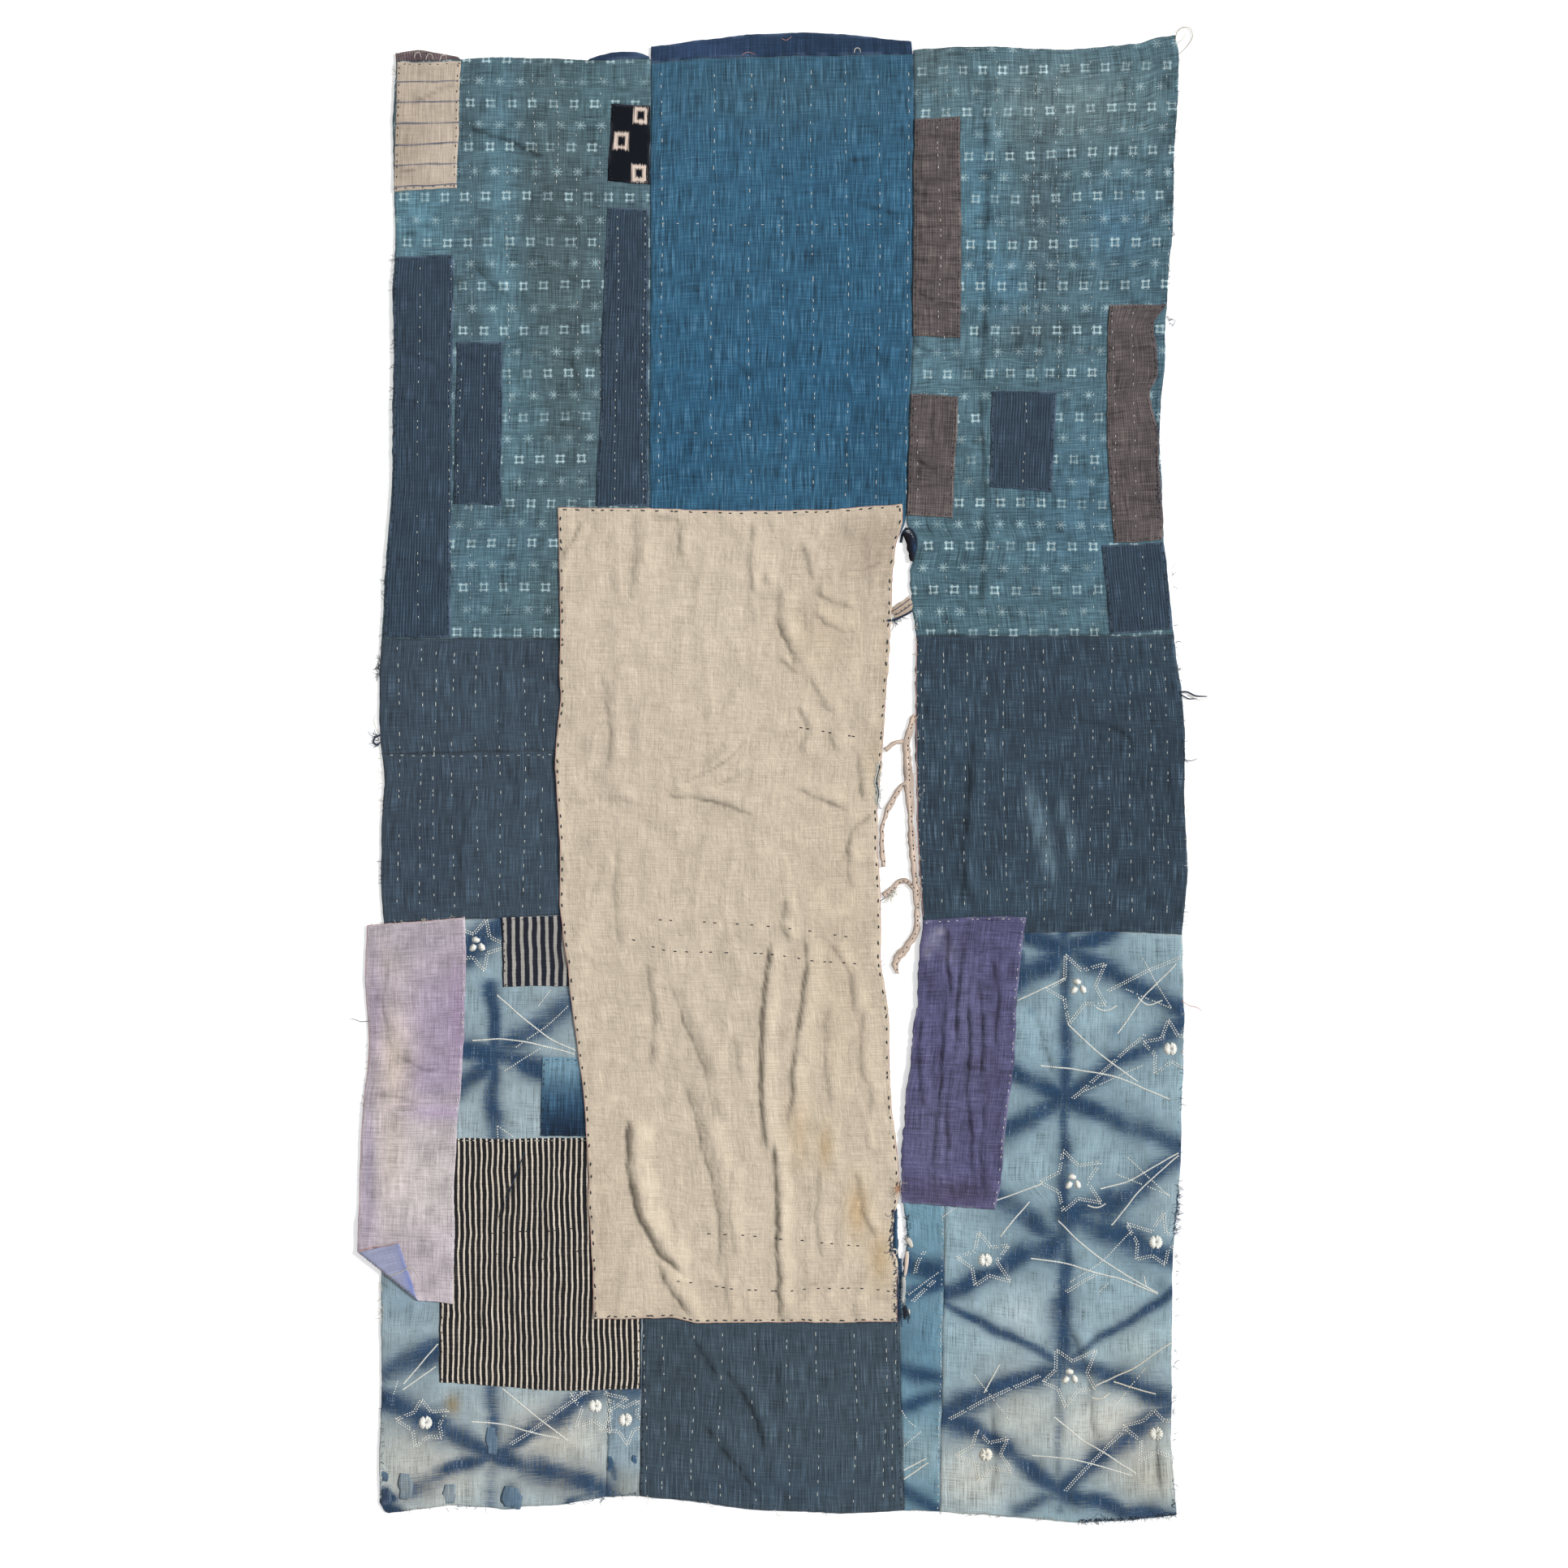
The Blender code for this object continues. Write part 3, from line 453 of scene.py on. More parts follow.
        (5, 12, 2.0, [(1170, 1310), (1164, 1370), (1168, 1420)], 14),
        (5, 12, 1.8, [(1214, 1350), (1206, 1410), (1212, 1470)], 14),
        (5, 12, 1.8, [(1134, 1250), (1130, 1310), (1136, 1370)], 14),
    )),
    ("lavender_patch", (
        (7, 20, 1.4, [(452, 1352), (490, 1352), (516, 1358)]),
        (8, 20, 1.6, [(486, 1300), (520, 1318), (548, 1322)]),
        (8, 22, 1.4, [(478, 1180), (470, 1240), (482, 1300)]),
    )),
)
CREASES = [Crease(layer, *row) for layer, rows in CREASE_ROWS for row in rows]

LIFTS = [
    Lift("linen_panel", 670, 715, 1123, 1219, PATCH_STEP),
    Lift("linen_panel", 670, 731, 1298, 1403, PATCH_STEP),
    Lift("linen_panel", 670, 794, 1397, 1650, PATCH_STEP),
    Lift("lavender_patch", 538, 600, 1400, 1640, PATCH_STEP),
    Lift("lavender_patch", 400, 452, 1100, 1492, -ON_GROUND),
]

# Straight lines of mending stitches, which pull the cloth down a little. Columns: x of the lines, top, bottom
STITCH_COLUMNS = [
    ((814, 878, 924, 966, 1001, 1043, 1082, 1118), 84, 618),
    ((491, 519, 536, 559, 588, 615, 646, 668), 795, 1124),
    ((1136, 1162, 1189, 1215, 1238, 1263, 1287, 1321, 1345, 1367, 1393, 1419, 1437), 792, 1136),
    ((795, 817, 854, 888, 929, 971, 1007, 1053, 1090, 1101), 1638, 1852),
]


# How high the fine crumples stand on each soft cloth, in mm
CRUMPLED = {
    "linen_panel": 1.3, "purple_patch": 1.3, "lavender_patch": 0.7, "brown_upper": 0.6, "brown_lower": 0.6,
    "brown_edge": 0.5, "kasuri_right": 0.5, "kasuri_left": 0.5, "shibori_right": 0.4, "shibori_left": 0.4,
}


def crumpled(x: Array, y: Array, wave: float) -> Array:
    """Sharp little crests: (1 - |2n - 1|)^4 of a smooth noise n, read at places shifted by another."""
    bent = x + 0.5 * wave * (SHIFT_X.at(x + 50, y, 1.4 * wave) - 0.5)
    value = RUMPLE.at(1.3 * bent + 40, 0.62 * y + 0.35 * x, wave)
    return (1 - np.abs(2 * value - 1)) ** 4


def relief(sheet: str, x: Array, y: Array) -> Array:
    """How far a sheet's underside lies above its flat base.

    The sum of a slow roll that all sheets share, of the tallest crease that lies under or in the sheet, of a
    dip along each line of mending, of the sheet's own fine rumple, and of its climbs over patches.

    Args:
        sheet: The sheet's name.
        x: Board places.
        y: Board places.

    Returns:
        Heights in mm.
    """
    roll = 0.9 * ROLL.at(x, y, 130) + 0.7 * ROLL.at(x + 300, y + 90, 61) + 0.45 * ROLL.at(x + 70, y + 500, 29)
    folds = [crease.rise(x, y)[0] for crease in CREASES if crease.layer in ("ground", sheet)]
    climbs = [lift.height(x, y) for lift in LIFTS if lift.sheet == sheet]
    dips = np.zeros(np.shape(x))
    for columns, top, bottom in STITCH_COLUMNS:
        inside = smooth(top - 10, top + 10, y) * smooth(bottom + 10, bottom - 10, y)
        for column in columns:
            dips += 0.35 * inside * np.exp(-((x - column) / 3.5) ** 2)
    rumple = RUMPLE.at(x, y, 16) * 0.5 + RUMPLE.at(x + 200, y + 900, 8) * 0.22
    if sheet == "linen_panel":
        rumple += 0.15 * RUMPLE.at(x, y, 16) + 0.9 * RUMPLE.at(x * 1.6, y * 0.45, 21)
    if sheet in CRUMPLED:
        rumple += CRUMPLED[sheet] * (crumpled(x, y, 44) + 0.45 * crumpled(y, x, 23))
    level = np.zeros(np.shape(x))
    climb = np.maximum.reduce([level, *climbs]) + np.minimum.reduce([level, *climbs])
    return roll + np.maximum.reduce(folds) + rumple + climb + 0.35 - np.minimum(dips, 0.35)


def painted_crease_shade(sheet: str, x: Array, y: Array) -> Array:
    """Painted shade along the feet of a sheet's creases: how much darker its colour is made there, 0 to 0.6.
    """
    return np.maximum.reduce([crease.rise(x, y)[1] for crease in CREASES if crease.layer in ("ground",
                                                                                             sheet)])


def warped(x: Array, y: Array) -> tuple[Array, Array]:
    """The board's places moved by up to a millimetre, so that hand-cut edges are nowhere straight."""
    across = 1.7 * (SHIFT_X.at(x, y, 41) - 0.5) + 0.8 * (SHIFT_X.at(x, y + 777, 15) - 0.5)
    down = 1.7 * (SHIFT_Y.at(x, y, 41) - 0.5) + 0.8 * (SHIFT_Y.at(x, y + 777, 15) - 0.5)
    return x + across, y + down


def turn_over(x: Array, y: Array) -> tuple[Array, Array, Array, Array]:
    """Turns the lavender patch's corner over its fold line.

    With a the distance past the fold line, the cloth follows a half circle of the bend radius while a is
    under pi times the radius, and then runs back flat, rising as the square of what is left.

    Args:
        x: Places on the patch before it was turned.
        y: The same.

    Returns:
        New x and y, the height over the patch, and the cloth's upward tilt as vectors in board axes.
    """
    start, stop, tip = np.array(TURN_START), np.array(TURN_END), np.array(TURNED_TIP)
    line = (stop - start) / np.linalg.norm(stop - start)
    aside = start + line * ((tip - start) @ line) - tip
    reach = np.linalg.norm(aside)
    aside /= reach
    beyond = (x - start[0]) * aside[0] + (y - start[1]) * aside[1]
    over = beyond > 0
    angle = np.clip(beyond / BEND_RADIUS, 0, np.pi)
    rest = np.maximum(beyond - BEND_RADIUS * np.pi, 0)
    shift = np.where(over, BEND_RADIUS * np.sin(angle) - rest - beyond, 0)
    height = BEND_RADIUS * (1 - np.cos(angle)) + TIP_LIFT * (rest / reach) ** 2
    tilt = np.stack([aside[0] * np.sin(angle), aside[1] * np.sin(angle), np.cos(angle)], axis=-1)
    return x + aside[0] * shift, y + aside[1] * shift, height, tilt


def shares(length: float, cell: float) -> Array:
    """Places of the grid lines along a side, 0 to 1, with two close lines along each border for the hem."""
    if length < 4 * HEM_WIDTH:
        return np.array([0, 0.18, 0.5, 0.82, 1])
    hem = np.array([0, 1.2, HEM_WIDTH]) / length
    count = max(3, round((length - 2 * HEM_WIDTH) / cell) + 1)
    return np.concatenate([hem[:-1], np.linspace(hem[-1], 1 - hem[-1], count), 1 - hem[-2::-1]])


def spread(top: Array, right: Array, bottom: Array, left: Array, u: Array, v: Array) -> Array:
    """A surface between four sides: the two straight blends of facing sides, less that of the corners.

    Args:
        top: Side at v = 0, one point for each u.
        right: Side at u = 1, one point for each v.
        bottom: Side at v = 1.
        left: Side at u = 0.
        u: Places across, 0 to 1.
        v: Places down, 0 to 1.

    Returns:
        Points (x, y) on a grid of v by u.
    """
    across, down = u[None, :, None], v[:, None, None]
    upright_blend = (1 - across) * left[:, None] + across * right[:, None]
    level_blend = (1 - down) * top[None] + down * bottom[None]
    corners = (1 - down) * ((1 - across) * top[0] + across * top[-1])
    corners = corners + down * ((1 - across) * bottom[0] + across * bottom[-1])
    return upright_blend + level_blend - corners


def sheet_faces(rows: int, columns: int) -> NDArray[np.int64]:
    """Quads of a closed sheet: the upper grid, the under grid turned over, and the rim between them."""
    grid = np.arange(rows * columns).reshape(rows, columns)
    corners = [grid[:-1, :-1], grid[1:, :-1], grid[1:, 1:], grid[:-1, 1:]]
    upper = np.stack([corner.ravel() for corner in corners], axis=1)
    rim = np.concatenate([grid[:-1, 0], grid[-1, :-1], grid[:0:-1, -1], grid[0, :0:-1]])
    after = np.roll(rim, -1)
    count = grid.size
    return np.concatenate([
        upper, upper[:, ::-1] + count, np.stack([rim, rim + count, after + count, after], axis=1),
    ])


def new_piece(name: str, points: Array, faces: NDArray[np.int64], materials: Sequence[bpy.types.Material],
              uv: dict[str, Array] | None = None, wash: Array | None = None,
              marks: dict[str, Array] | None = None) -> bpy.types.Object:
    """Makes an object from arrays, with its place in its mesh.

    Args:
        name: The piece's name.
        points: Metres in the part's frame, one row for each vertex.
        faces: Vertex numbers, one row for each quad.
        materials: Its materials, the first for every face.
        uv: UV maps by name, one row for each vertex.
        wash: Linear colour of each vertex.
        marks: Named numbers for each vertex.

    Returns:
        The object.
    """
    mesh = bpy.data.meshes.new(name)
    mesh.from_pydata(points.tolist(), [], faces.tolist())
    mesh.polygons.foreach_set("use_smooth", np.ones(len(faces), dtype=bool))
    corners = faces.ravel()
    for title, places in (uv or {}).items():
        layer = mesh.uv_layers.new(name=title)
        layer.data.foreach_set("uv", places[corners].astype(np.float32).ravel())
    if wash is not None:
        colours = np.concatenate([wash, np.ones((len(wash), 1))], axis=1).astype(np.float32)
        mesh.color_attributes.new("Wash", "FLOAT_COLOR", "POINT").data.foreach_set("color", colours.ravel())
    for title, values in (marks or {}).items():
        mesh.attributes.new(title, "FLOAT", "POINT").data.foreach_set("value", values.astype(np.float32))
    for material in materials:
        mesh.materials.append(material)
    mesh.update()
    piece = bpy.data.objects.new(name, mesh)
    bpy.context.scene.collection.objects.link(piece)
    return piece


@dataclass(frozen=True)
class Blot:
    """A soft patch of another colour, an ellipse with a bell-shaped strength."""

    x: float
    y: float
    wide: float
    high: float
    colour: str
    strength: float


def washed(base: str, blots: Sequence[Blot], x: Array, y: Array) -> Array:
    """The colour of each place: the base, mixed with each blot by strength times exp(-r^2)."""
    colour = np.broadcast_to(linear(base), (*np.shape(x), 3)).copy()
    for blot in blots:
        away = ((x - blot.x) / blot.wide) ** 2 + ((y - blot.y) / blot.high) ** 2
        part = (blot.strength * np.exp(-away))[..., None]
        colour = colour * (1 - part) + linear(blot.colour) * part
    return colour


class Pattern(Enum):
    """How a cloth's pattern is made."""

    PLAIN = "plain"
    KASURI = "kasuri"
    FINE_STRIPE = "fine stripe"
    BOLD_STRIPE = "bold stripe"
    CROSS_LINES = "cross lines"
    HOLLOW_SQUARES = "hollow squares"
    RESIST = "resist"


class Graph:
    """A material's node tree."""

    def __init__(self, name: str) -> None:
        """Starts an empty material."""
        self.material = bpy.data.materials.new(name)
        self.material.use_nodes = True
        self.tree = self.material.node_tree
        self.tree.nodes.clear()

    def add(self, kind: str, inputs: Sequence | dict = (), output: int = 0,
            **settings) -> bpy.types.NodeSocket:
        """Adds one node with its settings and links.

        Args:
            kind: The node's type, without its ShaderNode prefix.
            inputs: Sockets or plain values for the node's inputs, in order or by name or number.
            output: Number of the output to return.
            settings: The node's own properties.

        Returns:
            The chosen output socket.
        """
        node = self.tree.nodes.new("ShaderNode" + kind)
        for key, value in settings.items():
            setattr(node, key, value)
        for key, value in inputs.items() if isinstance(inputs, dict) else enumerate(inputs):
            if isinstance(value, bpy.types.NodeSocket):
                self.tree.links.new(value, node.inputs[key])
            elif value is not None:
                node.inputs[key].default_value = value
        return node.outputs[output] if node.outputs else None


# Rows of the kasuri's lattice marks: y of the row, x of one mark in it, and the pitch along a row
KASURI_PITCH = 25.3
KASURI_LEFT = [
    (72, 575), (128, 580), (183, 578), (243, 498), (299, 501), (352, 595), (407, 570), (460, 625), (514, 646),
    (566, 590), (621, 604), (670, 580), (725, 596), (779, 588), (833, 590),
]
KASURI_RIGHT = [
    (36, 1152), (90, 1160), (141, 1141), (195, 1193), (248, 1150), (303, 1146), (353, 1158), (407, 1150),
    (460, 1142), (515, 1152), (567, 1147), (621, 1156), (674, 1144), (728, 1150), (780, 1147), (834, 1150),
]

# Bars of the two kasuri marks, from the mark's middle in mm
LATTICE_BAR = 3.5
LATTICE_REACH = 5.6
STAR_REACH = 8.4


@dataclass(frozen=True)
class Stroke:
    """A soft dark line of dye between two places on the board."""

    x0: float
    y0: float
    x1: float
    y1: float
    wide: float
    strength: float

    def dye(self, x: Array, y: Array) -> Array:
        """Dye on each place, d away from the line: a core exp(-(d/w)^2) in a wider, paler one."""
        side = np.array([self.x1 - self.x0, self.y1 - self.y0])
        part = np.clip(((x - self.x0) * side[0] + (y - self.y0) * side[1]) / (side @ side), 0, 1)
        away = np.hypot(x - self.x0 - part * side[0], y - self.y0 - part * side[1])
        core, edge = np.exp(-(away / self.wide) ** 2), np.exp(-(away / (2.7 * self.wide)) ** 2)
        return self.strength * (0.6 * core + 0.38 * edge)


@dataclass(frozen=True)
class Finish:
    """A cotton or linen cloth, plain woven by hand and worn matt: colour, pattern, threads and wear."""

    name: str
    base: str
    light: str
    dark: str = "#1C2A38"
    pattern: Pattern = Pattern.PLAIN
    blots: tuple[Blot, ...] = ()
    strokes: tuple[Stroke, ...] = ()
    rows: tuple[Point, ...] = ()
    pitch: float = 3.3
    share: float = 0.5
    wander: float = 0.2
    offset: float = 0.0
    squares: tuple[Point, ...] = ()
    warp: float = 1.3
    slub: float = 0.5
    fleck: float = 0.25
    mottle: float = 0.25
    wear: float = 0.5
    # How dark every border is made: a dark seam line at sewn joins, and painted shadow where the border is an
    # outer edge
    seam: float = 0.0
    roughness: float = 0.92
    sheen: float = 0.12
    crumple: float = 0.7
    cross: float = 0.6
    under: "Finish | None" = None

    def wash(self, x: Array, y: Array, border: Array) -> Array:
        """Colour of each place: the base with its blots, paler along a worn border, and darker right at every
        border by the seam share: a dark seam line, with painted shadow along outer edges.
        """
        colour = washed(self.base, self.blots, x, y)
        worn = self.wear * np.exp(-(border / 2.0) ** 2) * smooth(0.35, 0.75, RAGGED.at(x, y, 13))
        colour = colour * (1 - worn[..., None]) + linear(self.light) * worn[..., None]
        # Painted shadow along outer edges and a dark seam line along sewn ones: the colour darkens within
        # about 2 mm of every border
        return colour * (1 - self.seam * np.exp(-(border / 1.6) ** 2))[..., None]

    def marks(self, x: Array, y: Array) -> dict[str, Array]:
        """Numbers that a pattern needs on each place: the dye, or the kind of kasuri mark."""
        if self.pattern is Pattern.RESIST:
            uneven = 0.75 + 0.5 * RUMPLE.at(x, y, 24)
            bent_x, bent_y = x + 9 * (ROLL.at(x, y, 33) - 0.5), y + 9 * (ROLL.at(x + 99, y, 33) - 0.5)
            return {"dye": np.maximum.reduce([stroke.dye(bent_x,
                                                         bent_y) for stroke in self.strokes]) * uneven}
        if self.pattern is Pattern.KASURI:
            _, away, star = self.rowed(x, y)
            return {"star": star, "shown": smooth(10.5, 8.5, np.abs(away))}
        return {}

    def maps(self, x: Array, y: Array) -> dict[str, Array]:
        """UV maps that a pattern needs: places measured in marks along and from its row."""
        if self.pattern is Pattern.KASURI:
            along, away, _ = self.rowed(x, y)
            return {"Mark": np.stack([along, away / 10], axis=-1)}
        return {}

    def rowed(self, x: Array, y: Array) -> tuple[Array, Array, Array]:
        """Finds each place's row of kasuri marks, the lattice rows and the small stars midway.

        Returns:
            Marks along the row, mm below it, and 1 where it is a row of stars.
        """
        leaning = y + 10 * np.clip((x - 1125) / 330, 0, 1) * smooth(430, 160, y)
        leaning = leaning + 4 * (ROLL.at(x, y, 90) - 0.5)
        middles = [(a[0] + b[0]) / 2 for a, b in zip(self.rows, self.rows[1:])]
        heights = np.array([row[0] for row in self.rows] + middles)
        starts = np.array([row[1] for row in self.rows]
                          + [row[1] + 0.45 * KASURI_PITCH for row in self.rows[1:]])
        nearest = np.abs(leaning[..., None] - heights).argmin(axis=-1)
        along = (x - starts[nearest] + 3.4 * (SHIFT_X.at(x, y, 30) - 0.5)) / KASURI_PITCH
        return along, leaning - heights[nearest], (nearest >= len(self.rows)).astype(float)

    def material(self) -> bpy.types.Material:
        """The cloth's material, made once."""
        title = self.name + "_weave"
        made = bpy.data.materials.get(title)
        if made is not None:
            return made
        graph = Graph(title)
        add = graph.add
        uv = add("UVMap", uv_map="Cloth")
        place = add("TexCoord", output=3)
        # Threads, drawn as streaks: a warp thread about a millimetre wide and a few centimetres long
        threads = []
        for scale in ((1000 / self.warp, 26, 1), (30, 1000 / self.warp, 1)):
            stretched = add("Mapping", {"Vector": uv, "Scale": scale})
            threads.append(add("TexNoise", {"Vector": stretched, "Scale": 1.0, "Detail": 2.0}))
        warp = add("Math", (threads[0], 2 - self.cross), operation="MULTIPLY")
        weave = add("Math", (threads[1], self.cross, warp), operation="MULTIPLY_ADD")
        cloudy = add("TexNoise", {"Vector": place, "Scale": 1000 / 26, "Detail": 4.0, "Roughness": 0.6})
        colour = add("Attribute", attribute_name="Wash", attribute_type="GEOMETRY")
        colour = self.patterned(graph, colour, uv, threads)
        slub = add("Math", (add("Math", (weave, -1.0), operation="ADD"), 2.0 * self.slub),
                   operation="MULTIPLY")
        cloud = add("Math", (add("Math", (cloudy, -0.5), operation="ADD"), 2.0 * self.mottle),
                    operation="MULTIPLY")
        value = add("Math", (add("Math", (slub, cloud), operation="ADD"), 1.0), operation="ADD")
        colour = add("VectorMath", {0: colour, 3: value}, operation="SCALE")
        flecks = add("MapRange", (weave, 1.08, 1.36, 0.0, self.fleck), interpolation_type="SMOOTHSTEP")
        colour = add("Mix", {0: flecks, 6: colour, 7: (*linear(self.light), 1)}, 2, data_type="RGBA")
        bent = add("TexNoise", {"Vector": place, "Scale": 1000 / 9, "Detail": 3.0, "Distortion": 0.6})
        soft = add("Bump", {"Strength": self.crumple, "Distance": 0.0011, "Height": bent})
        bump = add("Bump", {"Strength": 0.5, "Distance": 0.0003, "Height": weave, "Normal": soft})
        shader = add("BsdfPrincipled", {
            "Base Color": colour, "Roughness": self.roughness, "Metallic": 0.0, "Specular IOR Level": 0.2,
            "Sheen Weight": self.sheen, "Sheen Roughness": 0.6, "Normal": bump,
        })
        add("OutputMaterial", {"Surface": shader})
        return graph.material

    def patterned(self, graph: Graph, colour: bpy.types.NodeSocket, uv: bpy.types.NodeSocket,
                  threads: Sequence[bpy.types.NodeSocket]) -> bpy.types.NodeSocket:
        """Mixes the pattern's dark or light colour over the wash.

        Args:
            graph: The material's nodes.
            colour: The washed colour.
            uv: The cloth's own measures in metres.
            threads: The streaks along the warp and along the weft.

        Returns:
            The patterned colour.
        """
        add = graph.add
        amount = None
        if self.pattern is Pattern.RESIST:
            dye = add("Attribute", attribute_name="dye", attribute_type="GEOMETRY", output=2)
            streak = add("Math", (threads[0], threads[1]), operation="ADD")
            streak = add("Math", (add("Math", (streak, -1.0), operation="ADD"), 1.3), operation="MULTIPLY")
            dye = add("Math", (dye, streak), operation="ADD")
            amount = add("MapRange", (dye, 0.03, 0.98, 0.0, 0.97), interpolation_type="SMOOTHSTEP")
        elif self.pattern in (Pattern.FINE_STRIPE, Pattern.BOLD_STRIPE, Pattern.CROSS_LINES):
            split = add("SeparateXYZ", (uv,), 1 if self.pattern is Pattern.CROSS_LINES else 0)
            bent = add("Mapping", {"Vector": uv, "Scale": (14, 20, 1)})
            bent = add("TexNoise", {"Vector": bent, "Scale": 1.0, "Detail": 3.0})
            bent = add("Math", (bent, -0.5), operation="ADD")
            bent = add("Math", (bent, 2 * self.wander), operation="MULTIPLY")
            count = add("Math", (split, 1000 / self.pitch), operation="MULTIPLY")
            count = add("Math", (count, self.offset), operation="ADD")
            wave = add("Math", (add("Math", (count, bent), operation="ADD"), 0.5), operation="PINGPONG")
            rough = add("Math", (threads[1], 0.12), operation="MULTIPLY")
            wave = add("Math", (add("Math", (wave, rough), operation="ADD"), -0.06), operation="ADD")
            limit = self.share / 2
            amount = add("MapRange", (wave, limit + 0.04, limit - 0.04, 0.0, 1.0),
                         interpolation_type="SMOOTHSTEP")
        elif self.pattern is Pattern.KASURI:
            amount = self.kasuri(graph)
        elif self.pattern is Pattern.HOLLOW_SQUARES:
            parts = [add("SeparateXYZ", (uv,), axis) for axis in (0, 1)]
            for middle in self.squares:
                sizes = []
                for part, centre, reach in zip(parts, middle, (8.4, 9.8)):
                    away = add("Math", (part, -centre * MM), operation="ADD")
                    away = add("Math", (away,), operation="ABSOLUTE")
                    sizes.append(add("Math", (away, 1 / (reach * MM)), operation="MULTIPLY"))
                ring = add("Math", (add("Math", sizes, operation="MAXIMUM"), -0.8), operation="ADD")
                ring = add("Math", (add("Math", (ring,), operation="ABSOLUTE"), threads[0]), operation="ADD")
                ring = add("MapRange", (ring, 0.92, 0.55, 0.0, 1.0), interpolation_type="SMOOTHSTEP")
                amount = ring if amount is None else add("Math", (amount, ring), operation="MAXIMUM")
        if amount is None:
            return colour
        return add("Mix", {0: amount, 6: colour, 7: (*linear(self.dark), 1)}, 2, data_type="RGBA")

    def kasuri(self, graph: Graph) -> bpy.types.NodeSocket:
        """How much of the pale mark colour shows: two crossed pairs of bars, or an eight-pointed star."""
        add = graph.add
        mark = add("UVMap", uv_map="Mark")
        along = add("SeparateXYZ", (mark,), 0)
        along = add("Math", (add("Math", (along, 0.5), operation="ADD"),), operation="FRACT")
        along = add("Math", (add("Math", (along, -0.5), operation="ADD"), KASURI_PITCH), operation="MULTIPLY")
        away = add("Math", (add("SeparateXYZ", (mark,), 1), 10.0), operation="MULTIPLY")
        reach = [add("Math", (value,), operation="ABSOLUTE") for value in (along, away)]
        pairs = [
            add("Math", (add("Math", (value, -LATTICE_BAR), operation="ADD"),), operation="ABSOLUTE")
            for value in reach
        ]
        slants = [
            add("Math", (add("Math", (along, away), operation=sign),), operation="ABSOLUTE")
            for sign in ("ADD", "SUBTRACT")
        ]
        bars = [
            (pairs[0], 0.55, reach[1], LATTICE_REACH), (pairs[1], 0.55, reach[0], LATTICE_REACH),
            (pairs[0], 1.5, pairs[1], 1.3),
        ]
        rays = [
            (reach[0], 0.3, reach[1], 5.2), (reach[1], 0.3, reach[0], 6.6),
            (slants[0], 0.5, slants[1], STAR_REACH), (slants[1], 0.5, slants[0], STAR_REACH),
        ]
        shapes = []
        for group in (bars, rays):
            total = None
            for thin, half, long, end in group:
                side = add("MapRange", (thin, half + 0.7, half - 0.5, 0.0, 1.0),
                           interpolation_type="SMOOTHSTEP")
                stop = add("MapRange", (long, end + 0.8, end - 0.6, 0.0, 1.0),
                           interpolation_type="SMOOTHSTEP")
                bar = add("Math", (side, stop), operation="MULTIPLY")
                total = bar if total is None else add("Math", (total, bar), operation="MAXIMUM")
            shapes.append(total)
        faint = add("Math", (shapes[1], 0.8), operation="MULTIPLY")
        star = add("Attribute", attribute_name="star", attribute_type="GEOMETRY", output=2)
        shape = add("Mix", {0: star, 2: shapes[0], 3: faint}, 0, data_type="FLOAT")
        fading = add("TexNoise", {"Vector": add("TexCoord", output=3), "Scale": 1000 / 60, "Detail": 2.0})
        fading = add("MapRange", (fading, 0.34, 0.6, 0.36, 1.0))
        shown = add("Attribute", attribute_name="shown", attribute_type="GEOMETRY", output=2)
        fading = add("Math", (fading, shown), operation="MULTIPLY")
        return add("Math", (shape, fading), operation="MULTIPLY")


